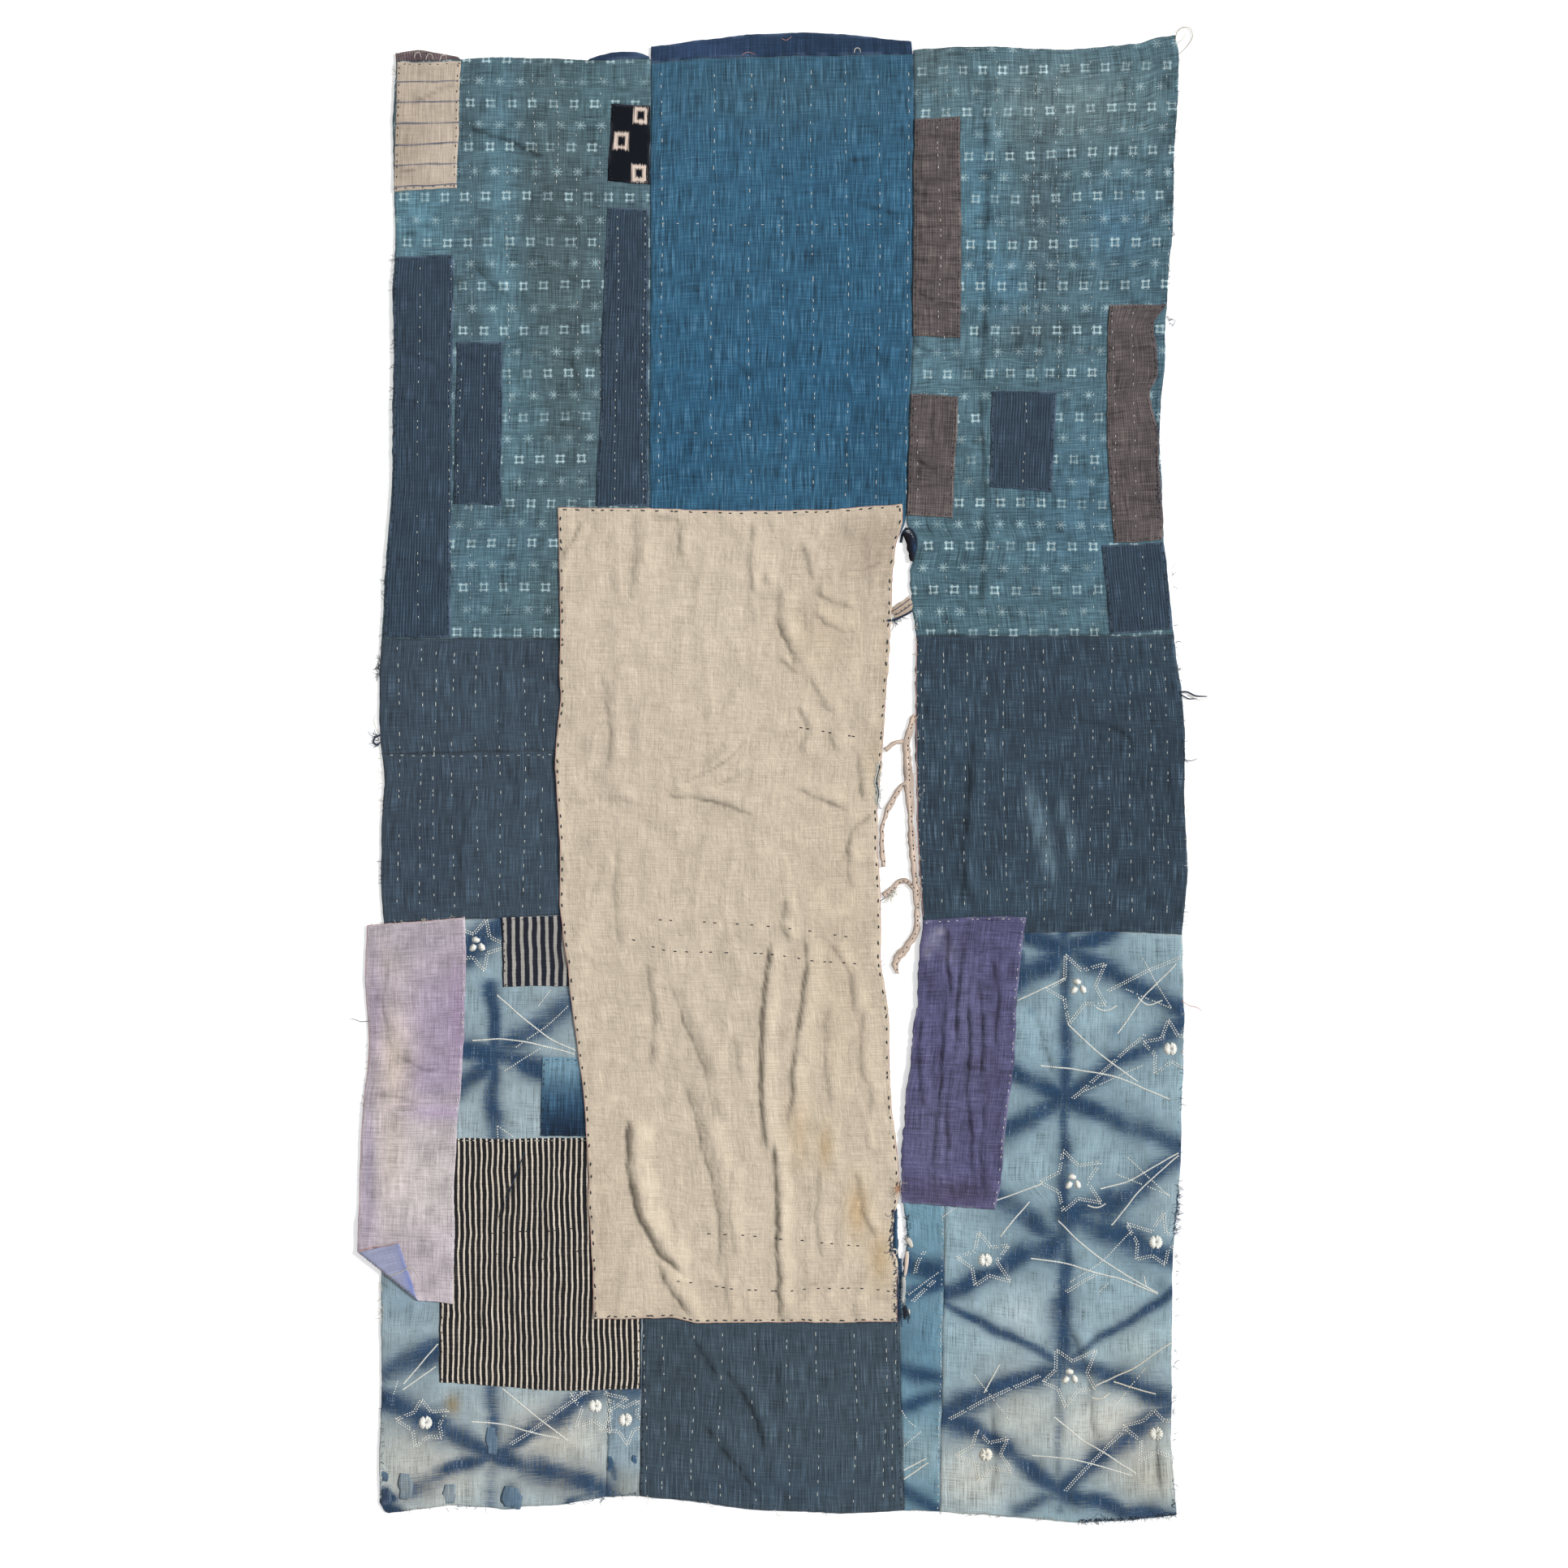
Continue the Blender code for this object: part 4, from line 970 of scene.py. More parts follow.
@dataclass
class Sheet:
    """One cloth between four sides, as a thin closed sheet on its folds."""

    name: str
    slot: str
    finish: Finish
    sides: tuple[Line | Array, Line | Array, Line | Array, Line | Array]
    base: float = ON_GROUND
    thick: float = PATCH_THICK
    cell: float = 4.0
    crown: float = 0.0
    held: str = "laid"
    is_turned: bool = False
    flat: Array = field(default_factory=lambda: np.zeros((0, 0, 2)), init=False)

    def layout(self) -> tuple[Array, Array, Array]:
        """Places on the board, distance from the border, and the cloth's own measures.

        Returns:
            x and y as a grid of points, the distance to the nearest border in mm, and u and v in metres.
        """
        top, right, bottom, left = [softened(side, 3.0, 2) for side in self.sides]
        lengths = [np.linalg.norm(np.diff(side, axis=0), axis=1).sum() for side in (top, right, bottom, left)]
        wide, high = (lengths[0] + lengths[2]) / 2, (lengths[1] + lengths[3]) / 2
        u, v = shares(wide, self.cell), shares(high, self.cell)
        flat = spread(*[
            resample(side, 0, part) for side, part in ((top, u), (right, v), (bottom, u), (left, v))
        ], u, v)
        edge_x = np.minimum(u, 1 - u)[None, :] * wide
        edge_y = np.minimum(v, 1 - v)[:, None] * high
        border = np.minimum(edge_x, edge_y)
        torn = smooth(1072, 1084, flat[..., 0]) * smooth(1142, 1130, flat[..., 0])
        torn = torn * smooth(640, 700, flat[..., 1]) * smooth(1600, 1560, flat[..., 1])
        ragged = (0.9 + 1.8 * torn) * np.exp(-(border / 2.5) ** 2)
        x, y = warped(flat[..., 0], flat[..., 1])
        x = x + ragged * (RAGGED.at(flat[..., 0], flat[..., 1], 5.5) - 0.5)
        y = y + ragged * (RAGGED.at(flat[..., 0] + 400, flat[..., 1], 5.5) - 0.5)
        own = np.stack(np.broadcast_arrays(u[None, :] * wide * MM, v[:, None] * high * MM), axis=-1)
        self.flat = np.stack([x, y], axis=-1)
        return self.flat, border, own

    def build(self) -> bpy.types.Object:
        """Builds the closed sheet, colours it, puts it under the root body and hides the CAD part that it
        stands for.
        """
        flat, border, own = self.layout()
        x, y = flat[..., 0], flat[..., 1]
        height, tilt = np.zeros(x.shape), np.broadcast_to(np.array([0.0, 0.0, 1.0]), (*x.shape, 3))
        place_x, place_y = x, y
        if self.is_turned:
            place_x, place_y, height, tilt = turn_over(x, y)
        half = self.thick / 2
        hem = HEM_SHARE + (1 - HEM_SHARE) * np.sqrt(np.clip(border / HEM_WIDTH, 0, 1))
        bulge = self.crown * np.sin(np.pi * np.clip(own[..., 0] / own[..., 0].max(), 0, 1))
        middle = np.stack([
            place_x, place_y, self.base + half + height + bulge + relief(self.name, place_x, place_y),
        ], axis=-1)
        upper = middle + tilt * (half * (2 * hem - 1))[..., None]
        under = middle - tilt * half
        both = np.concatenate([upper.reshape(-1, 3), under.reshape(-1, 3)])
        points = board(both[:, 0], both[:, 1], both[:, 2])
        # Painted shade: the colour is darkened along the feet of the creases, where the folds cast shade
        unshaded = (1 - painted_crease_shade(self.name, place_x, place_y))[..., None]
        wash = [
            (finish.wash(x, y, border) * unshaded).reshape(-1, 3)
            for finish in (self.finish, self.finish.under or self.finish)
        ]
        marks = {title: np.tile(values.ravel(), 2) for title, values in self.finish.marks(x, y).items()}
        maps = {"Cloth": own, **self.finish.maps(x, y)}
        uv = {title: np.tile(places.reshape(-1, 2), (2, 1)) for title, places in maps.items()}
        materials = [self.finish.material()]
        faces = sheet_faces(*x.shape)
        piece = new_piece(self.name + "_cloth", points, faces, materials, uv, np.concatenate(wash), marks)
        if self.finish.under is not None:
            piece.data.materials.append(self.finish.under.material())
            is_under = np.zeros(len(faces), dtype=np.int32)
            count = (x.shape[0] - 1) * (x.shape[1] - 1)
            is_under[count:2 * count] = 1
            piece.data.polygons.foreach_set("material_index", is_under)
        self.declare(piece)
        return piece

    def declare(self, piece: bpy.types.Object) -> None:
        lengths = [np.linalg.norm(np.diff(np.asarray(side, float), axis=0),
                                  axis=1).sum() for side in self.sides]
        wide, high = max(lengths[0], lengths[2], 10) * MM, max(lengths[1], lengths[3], 10) * MM
        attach(piece, "root")
        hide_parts(self.name)
        LOG.info("%s: %.0f by %.0f mm", piece.name, wide / MM, high / MM)


KASURI_LEFT_CLOTH = Finish(
    "kasuri_cotton_left", "#4A626C", "#86A5AE", "#A6BFC4", Pattern.KASURI, rows=tuple(KASURI_LEFT), blots=(
        Blot(690, 300, 60, 330, "#48595C", 0.75), Blot(518, 270, 44, 50, "#5C8494", 0.8),
        Blot(618, 260, 20, 220, "#5C8494", 0.5), Blot(610, 710, 60, 80, "#4D6F80", 0.6),
        Blot(740, 120, 60, 60, "#4F6E77", 0.5), Blot(690, 740, 80, 50, "#4A5F63", 0.6),
        Blot(640, 500, 30, 120, "#557986", 0.4),
    ), slub=0.9, mottle=0.7, fleck=0.32, wear=0.2, seam=0.35, cross=1.0,
)
KASURI_RIGHT_CLOTH = Finish(
    "kasuri_cotton_right", "#4C6873", "#8CA9B2", "#ABC2C6", Pattern.KASURI, rows=tuple(KASURI_RIGHT), blots=(
        Blot(1310, 130, 120, 60, "#6A7F82", 0.75), Blot(1400, 330, 50, 120, "#456473", 0.6),
        Blot(1205, 250, 26, 110, "#527E94", 0.5), Blot(1230, 350, 44, 40, "#527F97", 0.55),
        Blot(1285, 250, 26, 130, "#46565E", 0.7), Blot(1280, 410, 70, 22, "#43555C", 0.7),
        Blot(1370, 280, 40, 40, "#4C7690", 0.5), Blot(1330, 620, 90, 120, "#42667A", 0.6),
        Blot(1190, 700, 60, 80, "#3F5C68", 0.6), Blot(1150, 460, 40, 30, "#5F8494", 0.5),
        Blot(1215, 280, 9, 200, "#38535F", 0.25), Blot(1436, 520, 9, 110, "#2A4558", 0.8),
        Blot(1446, 160, 8, 120, "#3C5560", 0.7), Blot(1140, 70, 40, 40, "#586A6E", 0.6),
    ), slub=1.0, mottle=0.75, fleck=0.34, wear=0.2, seam=0.35, cross=1.0,
)
BLUE_COTTON = Finish(
    "plain_blue_cotton", "#2D5974", "#7899AA", blots=(
        Blot(960, 110, 170, 60, "#385A6C", 0.8), Blot(870, 230, 60, 90, "#315C76", 0.5),
        Blot(1060, 330, 60, 120, "#285672", 0.6), Blot(960, 470, 150, 90, "#225372", 0.6),
        Blot(840, 560, 50, 60, "#204D6A", 0.6), Blot(1080, 560, 40, 80, "#1E465F", 0.6),
    ), slub=0.95, mottle=0.42, fleck=0.32, warp=1.6, wear=0.2, seam=0.4,
)
INDIGO_LEFT = Finish(
    "dark_indigo_cotton_left", "#364451", "#6B8296", blots=(
        Blot(600, 860, 90, 60, "#3B4C5A", 0.6), Blot(520, 1060, 50, 60, "#303D4C", 0.6),
        Blot(720, 850, 60, 70, "#2F3A43", 0.7), Blot(640, 1040, 60, 70, "#3C4D5B", 0.5),
    ), slub=0.85, mottle=0.34, fleck=0.24, wear=0.2, seam=0.4,
)
INDIGO_CENTRE = Finish(
    "dark_indigo_cotton_centre", "#394853", "#7A8CA0", blots=(
        Blot(830, 1700, 60, 80, "#33404A", 0.6), Blot(1020, 1760, 80, 80, "#3D4D58", 0.6),
        Blot(940, 1830, 120, 30, "#344555", 0.6),
    ), slub=0.85, mottle=0.34, fleck=0.24, wear=0.2, seam=0.4,
)
INDIGO_RIGHT = Finish(
    "dark_indigo_cotton_right", "#2E3E4C", "#8CA6B8", blots=(
        Blot(1269, 984, 6, 20, "#7C97A6", 0.4), Blot(1279, 1014, 7, 24, "#7C97A6", 0.5),
        Blot(1290, 1046, 7, 26, "#7C97A6", 0.5), Blot(1298, 1074, 5, 16, "#7C97A6", 0.4),
        Blot(1310, 998, 4, 18, "#7C97A6", 0.35), Blot(1320, 1036, 5, 24, "#7C97A6", 0.4),
        Blot(1180, 900, 50, 80, "#334655", 0.6), Blot(1420, 960, 40, 120, "#283845", 0.6),
        Blot(1240, 1100, 90, 30, "#374A59", 0.5), Blot(1390, 830, 60, 30, "#324554", 0.5),
    ), slub=0.85, mottle=0.36, fleck=0.24, wear=0.2, seam=0.4,
)
NAVY_STRIPE = Finish(
    "navy_striped_cotton", "#243443", "#7287A0", "#3B4C5D", Pattern.FINE_STRIPE, pitch=3.4, share=0.34,
    wander=0.1, slub=0.6, mottle=0.3, fleck=0.22,
)
BROWN_COTTON = Finish(
    "brown_cotton", "#5B5353", "#8F8078", "#4B4344", Pattern.FINE_STRIPE, pitch=3.2, share=0.3, wander=0.3,
    blots=(
        Blot(525, 68, 60, 12, "#66505C", 0.9), Blot(1155, 300, 30, 60, "#625958", 0.6),
        # The blot at x 1434 is painted shade: a shadowed fold along the brown edge patch's right side
        Blot(1150, 560, 30, 60, "#544C4C", 0.6), Blot(1434, 420, 14, 60, "#463E42", 0.8),
    ), slub=0.9, mottle=0.6, fleck=0.25, crumple=1.2, cross=0.9,
)
TAN_COTTON = Finish(
    "tan_cotton", "#B6A898", "#D3C2B0", "#4C5368", Pattern.CROSS_LINES, pitch=25.6, share=0.06, wander=0.12,
    offset=0.03, blots=(Blot(500, 160, 20, 60, "#A29383", 0.5), Blot(548, 200, 20, 30, "#C2B5A6", 0.5)),
    slub=0.4, mottle=0.3, fleck=0.25,
)
BLACK_KASURI = Finish(
    "black_kasuri_cotton", "#0A0F18", "#4A4A58", "#E0CDC0", Pattern.HOLLOW_SQUARES,
    squares=((38, 13), (14, 46), (37, 84)), slub=0.2, mottle=0.3, fleck=0.0, sheen=0.0,
)
BOLD_STRIPE = Finish(
    "bold_striped_cotton", "#D2C7B7", "#E6DDCF", "#0F0D11", Pattern.BOLD_STRIPE, pitch=6.92, share=0.69,
    wander=0.42, slub=0.3, mottle=0.2, fleck=0.05, blots=(Blot(640, 1560, 60, 120, "#C8BDAE", 0.5),),
)
BOLD_STRIPE_SMALL = Finish(
    "bold_striped_cotton_dim", "#A29E98", "#C6BDB2", "#131726", Pattern.BOLD_STRIPE, pitch=10.3, share=0.6,
    wander=0.26, slub=0.3, mottle=0.2, fleck=0.05, offset=0.1,
)
OMBRE_COTTON = Finish(
    "shaded_indigo_cotton", "#3B6280", "#6C9DB6", blots=(
        Blot(700, 1310, 60, 30, "#6F8F9F", 0.95), Blot(700, 1396, 90, 50, "#0A2138", 1.0),
    ), slub=1.0, mottle=0.5, fleck=0.2,
)
LAVENDER_UNDER = Finish(
    "lavender_cotton_back", "#9599B4", "#B5B8D0", blots=(
        Blot(478, 1603, 70, 9, "#6678BE", 0.85),
    ), slub=0.25, mottle=0.3, fleck=0.2, crumple=0.4,
)
LAVENDER_COTTON = Finish(
    "lavender_cotton", "#B2A8AD", "#D2C6CC", blots=(
        Blot(540, 1260, 60, 90, "#9788A2", 0.75), Blot(520, 1330, 50, 30, "#8D7D9D", 0.6),
        Blot(566, 1250, 14, 90, "#8E7499", 0.45), Blot(486, 1310, 24, 70, "#CBBCB0", 0.8),
        Blot(480, 1180, 30, 30, "#B7ADAA", 0.6), Blot(530, 1160, 60, 24, "#A197A4", 0.6),
        Blot(462, 1240, 10, 70, "#9C8AA8", 0.5), Blot(520, 1450, 60, 70, "#C6BDBB", 0.8),
        Blot(484, 1420, 16, 60, "#C6B8AE", 0.6), Blot(454, 1420, 8, 60, "#9D8FAE", 0.5),
        Blot(545, 1370, 40, 10, "#A690B2", 0.6), Blot(530, 1560, 50, 40, "#BCB1B9", 0.6),
        Blot(452, 1500, 12, 60, "#A495AE", 0.5),
    ), slub=0.5, mottle=0.5, fleck=0.2, crumple=0.9, cross=1.0, under=LAVENDER_UNDER,
)
PURPLE_COTTON = Finish(
    "purple_cotton", "#504E70", "#8C8AA4", blots=(
        Blot(1150, 1158, 10, 12, "#9190A6", 0.45), Blot(1170, 1172, 9, 16, "#85849C", 0.35),
        Blot(1158, 1147, 7, 5, "#A4A3B2", 0.45), Blot(1142, 1174, 5, 8, "#9A99AA", 0.4),
        Blot(1220, 1330, 26, 120, "#4A4866", 0.7),
        Blot(1150, 1400, 30, 60, "#605F7D", 0.6), Blot(1190, 1260, 20, 90, "#5B5A78", 0.5),
        Blot(1170, 1470, 60, 16, "#4A4058", 0.6),
    ), slub=0.8, mottle=0.7, fleck=0.16, crumple=1.6, cross=1.0,
)
LINEN = Finish(
    "washed_linen", "#C7B9A5", "#DCD1C0", blots=(
        Blot(1080, 674, 44, 40, "#9E8C7C", 0.7), Blot(1017, 1412, 9, 26, "#B08E58", 0.6),
        Blot(1056, 1490, 14, 34, "#B5925C", 0.6), Blot(1084, 1550, 14, 34, "#B99A68", 0.55),
        Blot(1004, 1581, 6, 6, "#8E7A68", 0.5), Blot(985, 1395, 14, 40, "#BFA684", 0.6),
        Blot(760, 900, 60, 200, "#C2B4A2", 0.6), Blot(880, 760, 120, 90, "#CABDAA", 0.6),
        Blot(1030, 1200, 50, 200, "#C2B29C", 0.6), Blot(860, 1250, 90, 160, "#C0B3A0", 0.6),
        Blot(920, 1660, 200, 60, "#C0B09A", 0.5), Blot(1010, 780, 60, 60, "#BFAE98", 0.6),
        Blot(1090, 820, 10, 120, "#B3A28E", 0.5), Blot(1080, 940, 14, 30, "#B39F86", 0.6),
        Blot(740, 1500, 20, 160, "#BDAE9A", 0.6), Blot(960, 1110, 100, 40, "#C9BBA6", 0.5),
    ), slub=0.36, mottle=0.22, fleck=0.16, warp=1.0, crumple=1.3, wear=0.3, cross=0.95,
)
NAVY_COTTON = Finish(
    "navy_cotton", "#1B324C", "#5E7596", blots=(Blot(870, 62, 60, 14, "#2F456A", 0.6),), slub=0.6,
    mottle=0.3, fleck=0.2,
)
SEAM_TAPE = Finish(
    "seam_tape_cotton", "#DCC6B5", "#EADCCE", slub=0.4, mottle=0.5, fleck=0.3, crumple=1.0, wear=0.1,
    seam=0.5,
)
# Painted shadow: the near-black base stands for the shaded inside of the rolled edge; the blue along its
# border and in the blot is the cloth's own colour
ROLLED_EDGE_SHADE = Finish(
    "rolled_edge_painted_shade", "#17151B", "#33507A", blots=(Blot(1128, 668, 4, 14, "#1D3654", 0.8),), wear=0.5,
    fleck=0.1,
    sheen=0.0,
)
MEND_COTTON = Finish(
    "darned_indigo_cotton", "#566D80", "#A9B7C0", blots=(
        Blot(475, 1842, 9, 16, "#22304A", 1.0), Blot(500, 1830, 12, 20, "#8A9599", 0.95),
        Blot(554, 1840, 10, 16, "#8B9599", 0.95),
        Blot(752, 1803, 6, 14, "#2F4F6E", 0.9), Blot(781, 1798, 5, 8, "#2F4F6E", 0.9),
    ), slub=0.6, mottle=0.4, fleck=0.2,
)
STRAP_COTTON = Finish(
    "strap_cotton", "#B3A190", "#D6C6B4", "#4C4A55", Pattern.FINE_STRIPE, pitch=6, share=0.2, slub=0.3,
    crumple=1.0,
)

# The resist-dyed cloths: dark lines where the folded cloth stood free in the dye bath
STROKES_LEFT = tuple(Stroke(*row) for row in (
    (609, 1216, 609, 1420, 9, 0.95), (609, 1700, 609, 1790, 9, 0.8), (606, 1800, 604, 1870, 8, 0.5),
    (612, 1299, 660, 1268, 13, 1.0), (660, 1268, 720, 1222, 15, 0.9), (612, 1299, 566, 1340, 12, 0.95),
    (612, 1299, 556, 1288, 12, 1.1), (612, 1299, 690, 1326, 12, 1.1), (576, 1170, 622, 1140, 14, 1.1),
    (576, 1186, 600, 1160, 10, 0.8), (606, 1791, 660, 1760, 9, 1.0), (660, 1760, 720, 1722, 12, 0.95),
    (720, 1722, 795, 1690, 14, 0.9), (606, 1791, 548, 1756, 10, 1.0), (548, 1756, 470, 1724, 15, 1.0),
    (606, 1791, 552, 1812, 9, 0.95), (552, 1812, 505, 1836, 11, 0.8), (606, 1791, 650, 1806, 10, 1.0),
    (650, 1806, 745, 1836, 13, 0.95), (470, 1692, 540, 1664, 15, 0.9), (540, 1664, 560, 1620, 9, 0.5),
    (474, 1580, 560, 1600, 14, 0.35), (750, 1700, 792, 1712, 14, 0.9), (470, 1852, 486, 1864, 7, 1.1),
    (476, 1836, 482, 1846, 4.5, 1.1), (606, 1766, 606, 1786, 5, 0.9), (630, 1838, 632, 1852, 9, 0.75),
    (740, 1838, 700, 1850, 7, 0.8), (755, 1806, 758, 1822, 4, 0.8), (470, 1530, 500, 1610, 14, 0.3),
))
STROKES_RIGHT = tuple(Stroke(*row) for row in (
    (1312, 1150, 1312, 1560, 8, 0.95), (1312, 1560, 1306, 1690, 10, 0.95), (1306, 1700, 1306, 1860, 5, 0.6),
    (1310, 1170, 1258, 1150, 12, 1.1), (1310, 1170, 1370, 1148, 12, 1.1), (1309, 1172, 1254, 1206, 15, 1.0),
    (1310, 1172, 1366, 1197, 14, 1.1), (1366, 1197, 1401, 1214, 11, 1.0), (1401, 1214, 1460, 1242, 12, 1.0),
    (1311, 1354, 1250, 1318, 12, 1.0), (1311, 1354, 1240, 1392, 13, 1.05),
    (1311, 1354, 1371, 1309, 12, 1.05), (1371, 1309, 1413, 1289, 12, 0.95),
    (1413, 1289, 1458, 1258, 13, 0.95), (1311, 1354, 1388, 1384, 12, 1.05),
    (1388, 1384, 1458, 1412, 13, 1.0), (1300, 1520, 1229, 1478, 14, 0.9), (1311, 1500, 1364, 1480, 16, 1.0),
    (1364, 1490, 1413, 1456, 14, 1.0), (1413, 1456, 1458, 1420, 12, 0.9), (1322, 1500, 1290, 1540, 16, 1.0),
    (1290, 1536, 1236, 1560, 14, 1.0), (1236, 1560, 1160, 1592, 10, 1.1), (1330, 1500, 1400, 1530, 16, 1.0),
    (1400, 1530, 1450, 1556, 12, 1.05), (1160, 1602, 1228, 1636, 5, 0.95), (1228, 1636, 1300, 1674, 5, 0.9),
    (1316, 1672, 1382, 1630, 5, 0.9), (1382, 1630, 1450, 1588, 6, 0.95), (1302, 1684, 1240, 1706, 13, 1.0),
    (1240, 1706, 1160, 1744, 14, 1.0), (1314, 1680, 1360, 1690, 10, 0.9), (1360, 1694, 1410, 1712, 12, 1.0),
    (1410, 1712, 1450, 1728, 13, 1.05), (1306, 1836, 1240, 1786, 12, 0.95),
    (1240, 1786, 1160, 1746, 14, 1.0), (1308, 1834, 1370, 1784, 11, 1.0), (1370, 1784, 1450, 1728, 12, 1.0),
    (1306, 1838, 1250, 1860, 9, 0.8), (1308, 1838, 1380, 1862, 11, 1.0), (1380, 1862, 1450, 1868, 10, 0.9),
    (1430, 1580, 1450, 1600, 12, 0.4), (1304, 1600, 1310, 1660, 15, 0.7), (1250, 1150, 1258, 1190, 9, 0.8),
))
STROKES_STRIP = tuple(Stroke(*row) for row in (
    (1110, 1552, 1166, 1568, 14, 1.0), (1112, 1598, 1166, 1572, 8, 0.9), (1108, 1684, 1166, 1700, 10, 0.95),
    (1110, 1732, 1166, 1716, 9, 0.9), (1112, 1836, 1166, 1860, 10, 0.95), (1108, 1620, 1112, 1670, 16, 0.4),
))
RESIST_LEFT = Finish(
    "resist_dyed_cotton_left", "#99AAB0", "#D5D6CC", "#123656", Pattern.RESIST, strokes=STROKES_LEFT, blots=(
        Blot(558, 1731, 9, 13, "#A58B4C", 0.75), Blot(530, 1820, 70, 44, "#C4C2B7", 0.85),
        Blot(680, 1770, 70, 46, "#CAC5B7", 0.8), Blot(500, 1600, 50, 40, "#7D97A6", 0.6),
        Blot(500, 1780, 50, 40, "#B0B0A8", 0.6), Blot(600, 1220, 60, 60, "#8CA6B2", 0.7),
        Blot(700, 1820, 60, 30, "#B4B2A6", 0.6),
    ), slub=0.8, mottle=0.45, fleck=0.2, wear=0.3, seam=0.3, cross=0.8,
)
RESIST_LEFT_STRIP = Finish(
    "resist_dyed_cotton_left_strip", "#728794", "#D5D6CC", "#123656", Pattern.RESIST, strokes=STROKES_LEFT,
    blots=(
        Blot(770, 1830, 30, 30, "#9FA39C", 0.8), Blot(770, 1780, 30, 30, "#8FA3AD", 0.6),
    ), slub=0.8, mottle=0.45, fleck=0.2, wear=0.3, seam=0.3, cross=0.8,
)
RESIST_RIGHT = Finish(
    "resist_dyed_cotton_right", "#8CA5AF", "#DCDDD4", "#123656", Pattern.RESIST, strokes=STROKES_RIGHT,
    blots=(
        Blot(1370, 1760, 80, 60, "#D0CDC0", 0.8), Blot(1200, 1820, 60, 46, "#C6C6BC", 0.8),
        Blot(1375, 1270, 9, 9, "#4F6F86", 0.6), Blot(1270, 1246, 5, 7, "#4F6F86", 0.5),
        Blot(1260, 1620, 60, 40, "#AEBCC0", 0.6), Blot(1420, 1820, 50, 40, "#B6B2A4", 0.8),
        Blot(1250, 1740, 60, 60, "#BABAB0", 0.7), Blot(1430, 1480, 30, 40, "#A2B2B8", 0.5),
        Blot(1270, 1290, 40, 30, "#86A2B2", 0.5), Blot(1400, 1360, 40, 30, "#8DA6B2", 0.5),
        Blot(1400, 1660, 40, 40, "#A9B6B4", 0.5),
    ), slub=0.8, mottle=0.45, fleck=0.2, wear=0.3, seam=0.3, cross=0.8,
)
RESIST_RIGHT_STRIP = Finish(
    "resist_dyed_cotton_right_strip", "#6C91A2", "#C6CFCF", "#123656", Pattern.RESIST, strokes=STROKES_STRIP,
    blots=(
        Blot(1135, 1790, 30, 40, "#8A9DA2", 0.7), Blot(1140, 1650, 20, 40, "#577D94", 0.6),
    ), slub=0.8, mottle=0.45, fleck=0.2, wear=0.3, seam=0.3, cross=0.8,
)


def between(left: Array, right: Array, top: Line = (), bottom: Line = ()) -> tuple[Array, Array, Array,
                                                                                   Array]:
    """Four sides from two upright ones and the inner points of the top and the bottom.

    Args:
        left: Points of the left side from the top down.
        right: Points of the right side from the top down.
        top: Points along the top between its corners.
        bottom: Points along the bottom between its corners, left to right.

    Returns:
        Top, right, bottom and left side.
    """
    head = np.array([left[0], *top, right[0]], float)
    foot = np.array([left[-1], *bottom, right[-1]], float)
    return head, np.asarray(right, float), foot, np.asarray(left, float)


def outline_sides(outline: Line, corners: Line) -> tuple[Array, Array, Array, Array]:
    """Four sides from an outline that runs clockwise from its top left corner.

    Args:
        outline: Points of the outline.
        corners: Its top left, top right, bottom right and bottom left corners, which are points of it.

    Returns:
        Top, right, bottom and left side.
    """
    places = [list(outline).index(corner) for corner in corners]
    points = np.array([*outline, outline[0]], float)
    stops = [*places[1:], len(outline)]
    runs = [points[start:stop + 1] for start, stop in zip(places, stops)]
    return runs[0], runs[1], runs[2][::-1], runs[3][::-1]


def ribbon(rows: Sequence[tuple[float, float, float]]) -> tuple[Array, Array, Array, Array]:
    """Four sides of a tape: its middle line moved aside by half its width, at right angles.

    Args:
        rows: x, y and width along the tape from its upper end.

    Returns:
        Top, right, bottom and left side.
    """
    table = np.array(rows, float)
    middle = softened(table[:, :2], 3.0, 3)
    wide = np.interp(np.linspace(0, 1, len(middle)), np.linspace(0, 1, len(table)), table[:, 2])
    along = np.gradient(middle, axis=0)
    along /= np.linalg.norm(along, axis=1)[:, None]
    aside = np.stack([along[:, 1], -along[:, 0]], axis=1) * wide[:, None] / 2
    return between(middle - aside, middle + aside)


